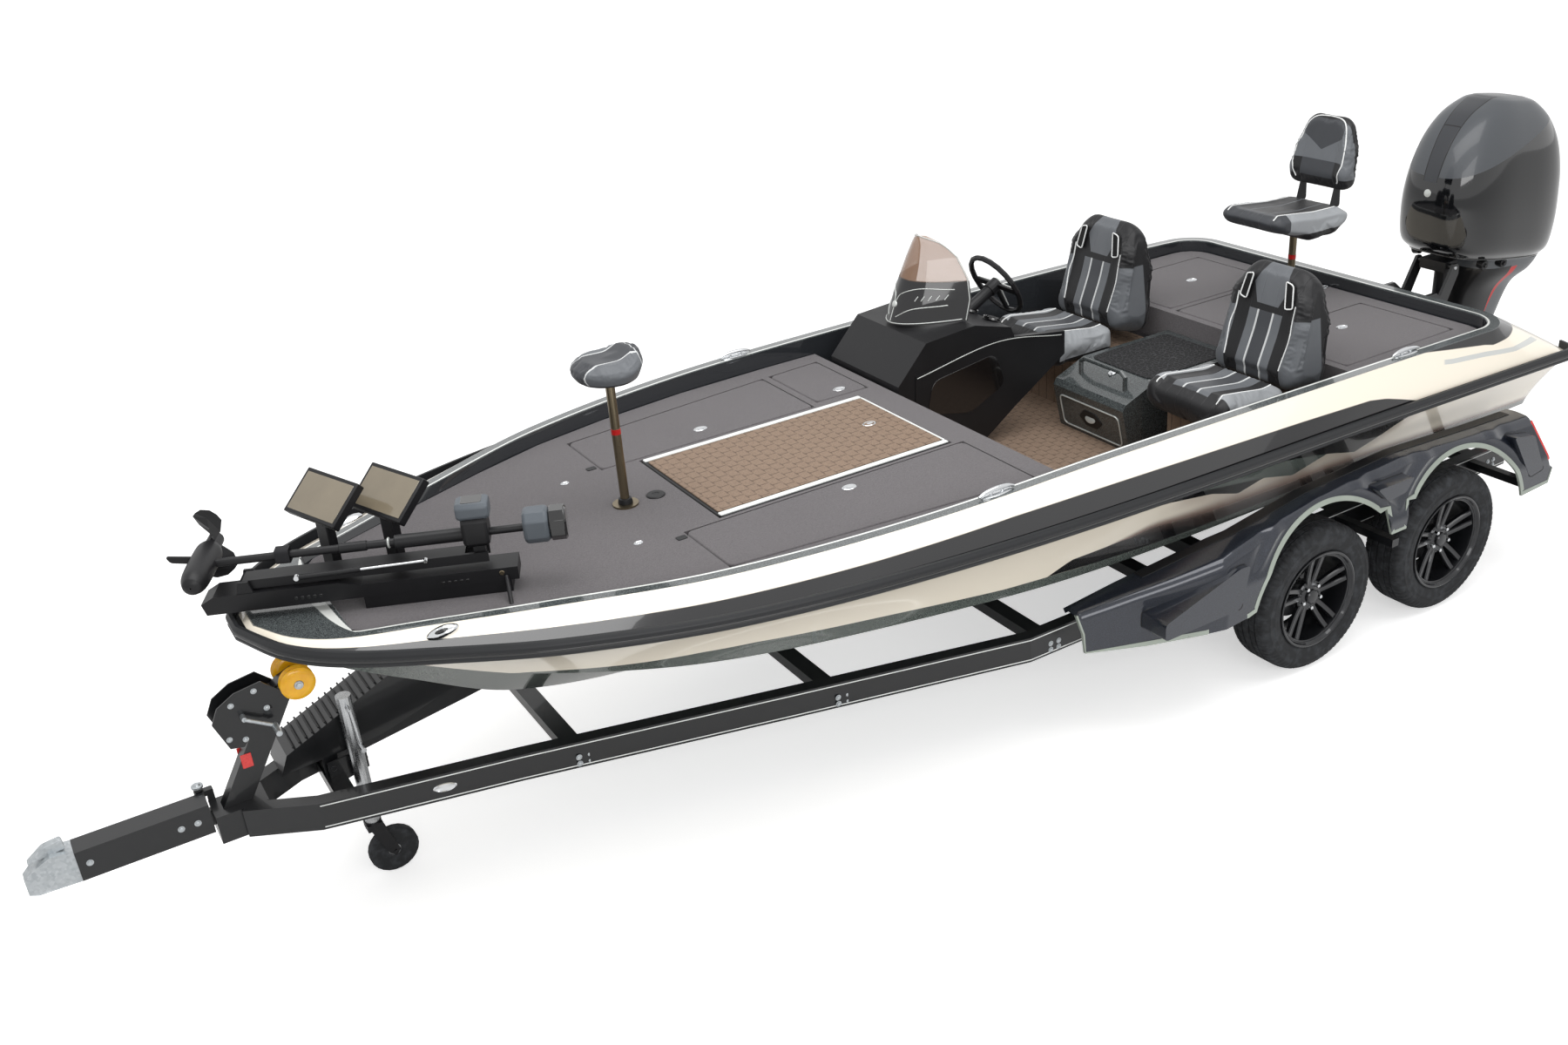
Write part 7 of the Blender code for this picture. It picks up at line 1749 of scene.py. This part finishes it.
def build_outboard():
    """Cowl and leg from their tables of ovals, gearcase, bolts, seam and the jack plate's fittings."""
    rows = [full_ring(1.2620 + r[0], r[1], r[2], r[3], 0.150) for r in smooth_line(COWL_ROWS, 56)]
    top = rows[-1]
    centre = top.mean(0)
    for share in (0.7, 0.35, 0.02):
        ring = centre + (top - centre) * share
        ring[:, 2] += 0.008 * (1 - share ** 2)
        rows.append(ring)
    cowl = surface(np.array(rows), ring=True, ends=True)
    make("cowl_shell", cowl, cowl_finish(), "outboard", ["motor_cowl"], sharp=60)
    rows = [full_ring(*r) for r in smooth_line(LEG_ROWS, 64)]
    leg = surface(np.array(rows), ring=True, ends=True)
    make("leg_shell", leg, leg_finish(), "outboard", ["motor_leg"], sharp=50)
    plate = rounded([(-0.500, 0.060), (-0.720, 0.125), (-0.950, 0.130), (-1.020, 0.070), (-1.020, -0.070),
                     (-0.950, -0.130), (-0.720, -0.125), (-0.500, -0.060)], 0.04, 6)
    torpedo = [(0.003, -0.430), (0.020, -0.450), (0.040, -0.480), (0.060, -0.560), (0.064, -0.700),
               (0.060, -0.830), (0.052, -0.928)]
    torpedo = smooth_line(torpedo, 40)
    gear = lathed(np.column_stack([torpedo[:, 0], -torpedo[:, 1]]), (0, 0, 0.400), (-1, 0, 0), 40)
    skeg = side_view(rounded([(-0.560, 0.380), (-0.800, 0.380), (-0.860, 0.270), (-0.840, 0.215), (-0.760, 0.220)],
                             0.03, 5), -0.007, 0.007)
    fins = plan(plate, 0.618, 0.630) + gear + skeg
    make("gearcase", fins, SATIN, "outboard", slot="motor_leg", soften=(0.002, 2))
    bolts = NOTHING
    for side in (1, -1):
        for x, z in ((-0.471, 1.285), (-0.640, 1.262)):
            spot = (x, side * 0.226, z - 0.060)
            bolts = bolts + lathed([(0, 0.020), (0.012, 0.020), (0.013, 0.012), (0.024, 0.012), (0.027, 0.008),
                                    (0.027, -0.030)], spot, (0, side, -0.15), 28)
    make("chaps_bolts", bolts, SATIN, "outboard", slot="motor_leg", sharp=30)
    disc = lathed([(0, 0.0035), (0.018, 0.0035), (0.022, 0.002), (0.023, -0.004)], (-0.2165, 0.0, 1.640),
                  (1, 0, 0.18), 32)
    make("nose_disc", disc, SILVER_TRIM, "outboard", slot="motor_cowl", sharp=30)
    seam = full_ring(1.2619, -0.3005, -1.0795, 0.2502, 0.150, 120)
    make("cowl_seam", tube(seam, 0.0035, 8, closed=True), GLOSS, "outboard", slot="motor_cowl", sharp=60)
    nuts = NOTHING
    for side in (1, -1):
        nuts = nuts + lathed([(0, 0.004), (0.009, 0.004), (0.011, 0.0)], (-0.360, side * 0.1292, 1.210),
                             (0, side, 0), 20)
    make("tilt_nuts", nuts, STEEL, slot="clamp_bracket", sharp=40)
    lift = lathed([(0.012, 0.0), (0.012, 0.200), (0.022, 0.204), (0.022, 0.210)], (-0.150, 0.0, 0.850),
                  (0.1, 0, 1), 24)
    make("lift_ram", lift, STEEL, slot="jack_plate", sharp=40)
    plates = NOTHING
    for side in (1, -1):
        for x, z in ((-0.080, 1.040), (-0.080, 0.900), (-0.240, 0.900), (-0.240, 0.990)):
            plates = plates + bolt((x, side * 0.150, z), (0, side, 0), 0.010)
    make("jack_plate_bolts", plates, STEEL, slot="jack_plate")


# Bow motor and screens

BOW_MOUNT = Matrix.Translation((6.380, -0.095, 1.325)) @ Matrix.Rotation(math.radians(-24.6), 4, 'Z')
SHAFT_FRAME = BOW_MOUNT @ Matrix.Translation((-1.000, 0.0, 0.110))
ARM_FRAME = BOW_MOUNT @ Matrix.Translation((-0.150, 0.0, 0.095))
GLASS = plastic("screen_face", tone(128, 118, 100), 0.18, 200.0, 0.01, coat=0.6)
HOUSING = plastic("housing_grey", tone(86, 92, 98), 0.42)


def block(x, y, z, cut):
    """A box with its long corners cut off, drawn in slightly at its ends."""
    half, mid, centre = (y[1] - y[0]) / 2, (y[0] + y[1]) / 2, (z[0] + z[1]) / 2
    ring = [(-half, z[0] + cut), (-half + cut, z[0]), (half - cut, z[0]), (half, z[0] + cut), (half, z[1] - cut),
            (half - cut, z[1]), (-half + cut, z[1]), (-half, z[1] - cut)]
    rows = []
    for share, keep in ((0, 0.86), (0.12, 1.0), (0.88, 1.0), (1, 0.86)):
        at = x[0] + (x[1] - x[0]) * share
        rows.append([(at, mid + a * keep, centre + (b - centre) * keep) for a, b in ring])
    return surface(np.array(rows), ring=True, ends=True)


def build_bow_motor():
    """The bow motor's shaft, pod, housing, strap and gas spring, its stay, and the bow lamps."""
    pole = rod((-0.290, 0, 0.070), (0.985, 0, 0.070), 0.0150, 24)
    pole = pole + rod((0.045, 0, 0.070), (0.300, 0, 0.070), 0.0262, 28)
    pole = pole + rod((0.40, 0, 0.070), (0.50, 0, 0.070), 0.0195, 24)
    pole = pole + block((-0.045, 0.050), (-0.0545, 0.0545), (0.030, 0.150), 0.018)
    pole = pole + box((-0.022, 0.022), (-0.0270, 0.0270), (-0.017, 0.040))
    pod = smooth_line([(0.003, 0.190), (0.022, 0.184), (0.036, 0.168), (0.048, 0.110), (0.049, -0.060),
                       (0.044, -0.105), (0.034, -0.129)], 36)
    pod = lathed(np.column_stack([pod[:, 0], -pod[:, 1]]), (0.985, 0, 0.070), (0, -1, 0), 36)
    fin = side_view(rounded([(0.975, 0.070), (1.095, 0.090), (1.108, 0.118), (0.985, 0.100)], 0.012, 4),
                    -0.005, 0.005)
    shaft = (pole + pod + fin).turned(SHAFT_FRAME)
    make("bow_motor_shaft", shaft, SATIN, "bow_motor", ["trolling_shaft"], soften=(0.0015, 2), sharp=40)
    head = block((-0.265, -0.170), (-0.059, 0.059), (0.012, 0.139), 0.030)
    cover = block((-0.058, 0.062), (-0.052, 0.052), (0.138, 0.206), 0.016)
    make("bow_motor_housing", (head + cover).turned(SHAFT_FRAME), HOUSING, "bow_motor", slot="trolling_shaft",
         soften=(0.004, 2))
    end = block((-0.330, -0.262), (-0.056, 0.056), (0.014, 0.136), 0.030)
    panel = plan(rounded([(-0.036, -0.034), (0.040, -0.034), (0.040, 0.034), (-0.036, 0.034)], 0.01, 4),
                 0.2050, 0.2075)
    make("bow_motor_caps", (end + panel).turned(SHAFT_FRAME), GLOSS, "bow_motor", slot="trolling_shaft",
         soften=(0.003, 2))
    band = rod((0.318, 0, 0.070), (0.326, 0, 0.070), 0.0205, 28)
    make("bow_motor_ring", band.turned(SHAFT_FRAME), SILVER_TRIM, "bow_motor", slot="trolling_shaft", sharp=40)
    strap = rounded([(0.026, 0.098), (0.026, 0.045), (-0.026, 0.045), (-0.026, 0.098)], 0.012, 5)
    strap = np.column_stack([np.full(len(strap), 0.700), strap[:, 0], strap[:, 1]])
    strap = swept(strap, [(-0.0012, -0.025), (0.0012, -0.025), (0.0012, 0.025), (-0.0012, 0.025)], closed=True,
                  flat=(1, 0, 0.02))
    make("shaft_strap", strap.turned(SHAFT_FRAME), WEBBING, "bow_motor", slot="trolling_shaft", sharp=40)
    spring = rod((-0.200, 0.052, 0.012), (-0.420, 0.052, 0.016), 0.0095, 20)
    make("gas_spring_body", spring.turned(ARM_FRAME), SATIN, "bow_motor_arm", slot="trolling_arm", sharp=40)
    spring = rod((-0.400, 0.052, 0.0155), (-0.650, 0.052, 0.020), 0.0055, 16)
    spring = spring + rod((-0.190, 0.041, 0.012), (-0.190, 0.062, 0.012), 0.010, 16)
    spring = spring + rod((-0.655, 0.041, 0.020), (-0.655, 0.060, 0.020), 0.008, 16)
    make("gas_spring_rod", spring.turned(ARM_FRAME), CHROME, "bow_motor_arm", slot="trolling_arm", sharp=40)
    ribs = NOTHING
    for k in range(5):
        ribs = ribs + box((-0.330 - 0.022 * k, -0.318 - 0.022 * k), (0.0590, 0.0612), (0.020, 0.034))
        ribs = ribs + box((-0.860 - 0.022 * k, -0.848 - 0.022 * k), (0.0590, 0.0612), (0.012, 0.024))
    stud = lathed([(0, 0.002), (0.008, 0.002), (0.010, 0.0)], (-1.070, 0.060, 0.032), (0, 1, 0), 20)
    make("bow_mount_ribs", ribs.turned(BOW_MOUNT), GLOSS, slot="trolling_base", soften=(0.001, 1))
    make("bow_mount_stud", stud.turned(BOW_MOUNT), BRONZE, slot="trolling_base", sharp=40)
    stay = rod((-1.085, 0.062, 0.020), (-1.100, 0.170, -0.070), 0.008, 14)
    foot = lathed([(0, 0.010), (0.018, 0.010), (0.024, 0.004), (0.024, 0.0)], (-1.102, 0.176, -0.0768),
                  (0, 0, 1), 24)
    make("bow_motor_stay", (stay + foot).turned(BOW_MOUNT), SATIN, slot="trolling_base", sharp=40)
    screens()
    lamp = [(0, 0.024), (0.6, 0.022), (0.9, 0.013), (1.0, 0.003), (1.0, -0.004)]
    for name, side in (("port", 1), ("starboard", -1)):
        spot, aim = NAV_LAMP
        shell = lathed(lamp, (0, 0, 0), (0, 0, 1), 40)
        shell.verts *= (0.062, 0.026, 1.0)
        n = Vector((aim[0], side * aim[1], aim[2]))
        turn = n.to_track_quat('Z', 'Y').to_matrix().to_4x4()
        turn = turn @ Matrix.Rotation(math.radians(18 * side), 4, 'Z')
        place = Matrix.Translation((spot[0], side * spot[1], spot[2]))
        make("nav_lamp_" + name, shell.turned(place @ turn), CHROME, slot="gunwale_cap", sharp=40)
        eye = lathed([(0, 0.027), (0.6, 0.026), (1.0, 0.020), (1.0, 0.015)], (0, 0, 0), (0, 0, 1), 28)
        eye.verts *= (0.030, 0.011, 1.0)
        make("nav_eye_" + name, eye.turned(place @ turn), GLOSS, slot="gunwale_cap", sharp=40)


NAV_LAMP = ((5.731, 0.568, 1.287), (0.30, 0.62, 0.72))
WEBBING = plastic("strap_webbing", tone(30, 30, 33), 0.8, 900.0, 0.4)


def screens():
    """Two sonar screens: black backs with cooling ribs, and blank faces in a thin frame."""
    for name, x, y in (("sonar_display_forward", 5.912, -0.130), ("sonar_display_aft", 5.700, -0.010)):
        base = Matrix.Translation((x, y, DECK_Z + 0.0003)) @ Matrix.Rotation(math.radians(20), 4, 'Z')
        tilt = base @ Matrix.Translation((-0.020, 0, 0.330)) @ Matrix.Rotation(math.radians(-50), 4, 'Y')
        body = box((-0.050, 0.050), (-0.060, 0.060), (0.0, 0.012)) + box((-0.020, 0.018), (-0.035, 0.035),
                                                                         (0.006, 0.290))
        body = body + box((-0.034, 0.004), (-0.042, 0.042), (0.262, 0.304))
        shell = box((-0.0178, 0.0178), (-0.155, 0.155), (-0.095, 0.095))
        make(name + "_body", body.turned(base) + shell.turned(tilt), SATIN, stands_for=[name], soften=(0.004, 2))
        face = box((0.0172, 0.0188), (-0.142, 0.142), (-0.080, 0.080))
        make(name + "_face", face.turned(tilt), GLASS, slot=name, soften=(0.0008, 1))
        trim = NOTHING
        for k in range(7):
            trim = trim + box((-0.022, -0.0178), (-0.105 + 0.032 * k, -0.098 + 0.032 * k), (-0.060, 0.060))
        trim = trim + box((-0.030, -0.0178), (-0.030, 0.030), (-0.030, 0.030))
        make(name + "_back", trim.turned(tilt), SATIN, slot=name, soften=(0.001, 1))
        knobs = NOTHING
        for side in (1, -1):
            knobs = knobs + lathed([(0, 0.014), (0.014, 0.014), (0.018, 0.010), (0.018, 0.0)],
                                   (0.0, side * 0.040, 0.300), (0, side, 0), 20)
        make(name + "_knobs", knobs.turned(base), SATIN, slot=name, sharp=30)


# Coupler, jack and tongue

def build_front_gear():
    """The coupler's latch, the tongue's bolts and the jack wheel's hubs."""
    latch = side_view(rounded([(7.080, 0.628), (7.215, 0.612), (7.150, 0.660), (7.085, 0.668)], 0.01, 4),
                      -0.016, 0.016)
    make("coupler_latch", latch, ZINC, "tongue", slot="coupler", soften=(0.002, 2))
    bolts = NOTHING
    for x in (6.640, 6.700, 7.020):
        for side in (1, -1):
            bolts = bolts + bolt((x, side * 0.050, 0.555), (0, side, 0), 0.009)
    make("tongue_bolts", bolts, ZINC, "tongue", slot="tongue")
    pin = lathed([(0, 0.016), (0.010, 0.016), (0.014, 0.010), (0.022, 0.008), (0.022, 0.0)],
                 (6.600, -0.076, 0.628), (0, 0, 1), 24)
    make("hinge_pin_cap", pin, ZINC, slot="trailer_frame", sharp=30)
    hubs = lathed([(0, -0.027), (0.020, -0.026), (0.028, -0.018)], (5.965, 0.02, 0.1015), (0, 1, 0), 28)
    hubs = hubs + lathed([(0, 0.027), (0.020, 0.026), (0.028, 0.018)], (5.965, 0.02, 0.1015), (0, 1, 0), 28)
    make("jack_wheel_hubs", hubs, STEEL, "jack_wheel", slot="jack_wheel", sharp=30)


# Order of making

place_camera()
light_and_floor()
build_hull_shell()
build_cap()
build_rail()
build_lids()
build_deck_trim()
build_wheels()
build_fenders()
build_trailer_trim()
build_helm_seats()
build_pedestal_seats()
build_console()
build_step()
build_outboard()
build_bow_motor()
build_front_gear()
give(SATIN, "console", "steering_wheel", "trolling_base", "trolling_arm", "trolling_propeller", "swivel_bracket",
     "jack_fork")
give(FRAME, "clamp_bracket")
give(ZINC, "coupler")
give(STEEL, "propeller", "jack_leg")
give(TYRE, "jack_wheel")
give(BRONZE, "bow_pedestal", "rear_pedestal")
give(CARPET, "bow_deck", "rear_deck")
give(CARPET_DARK, "bunk_port", "bunk_starboard")
give(MAT, "cockpit_floor")
give(FLAKE, "cockpit_step")
give(FRAME, "trailer_frame", "axle_front", "axle_rear", "jack_plate", "winch_stand", "step_board", "tongue")
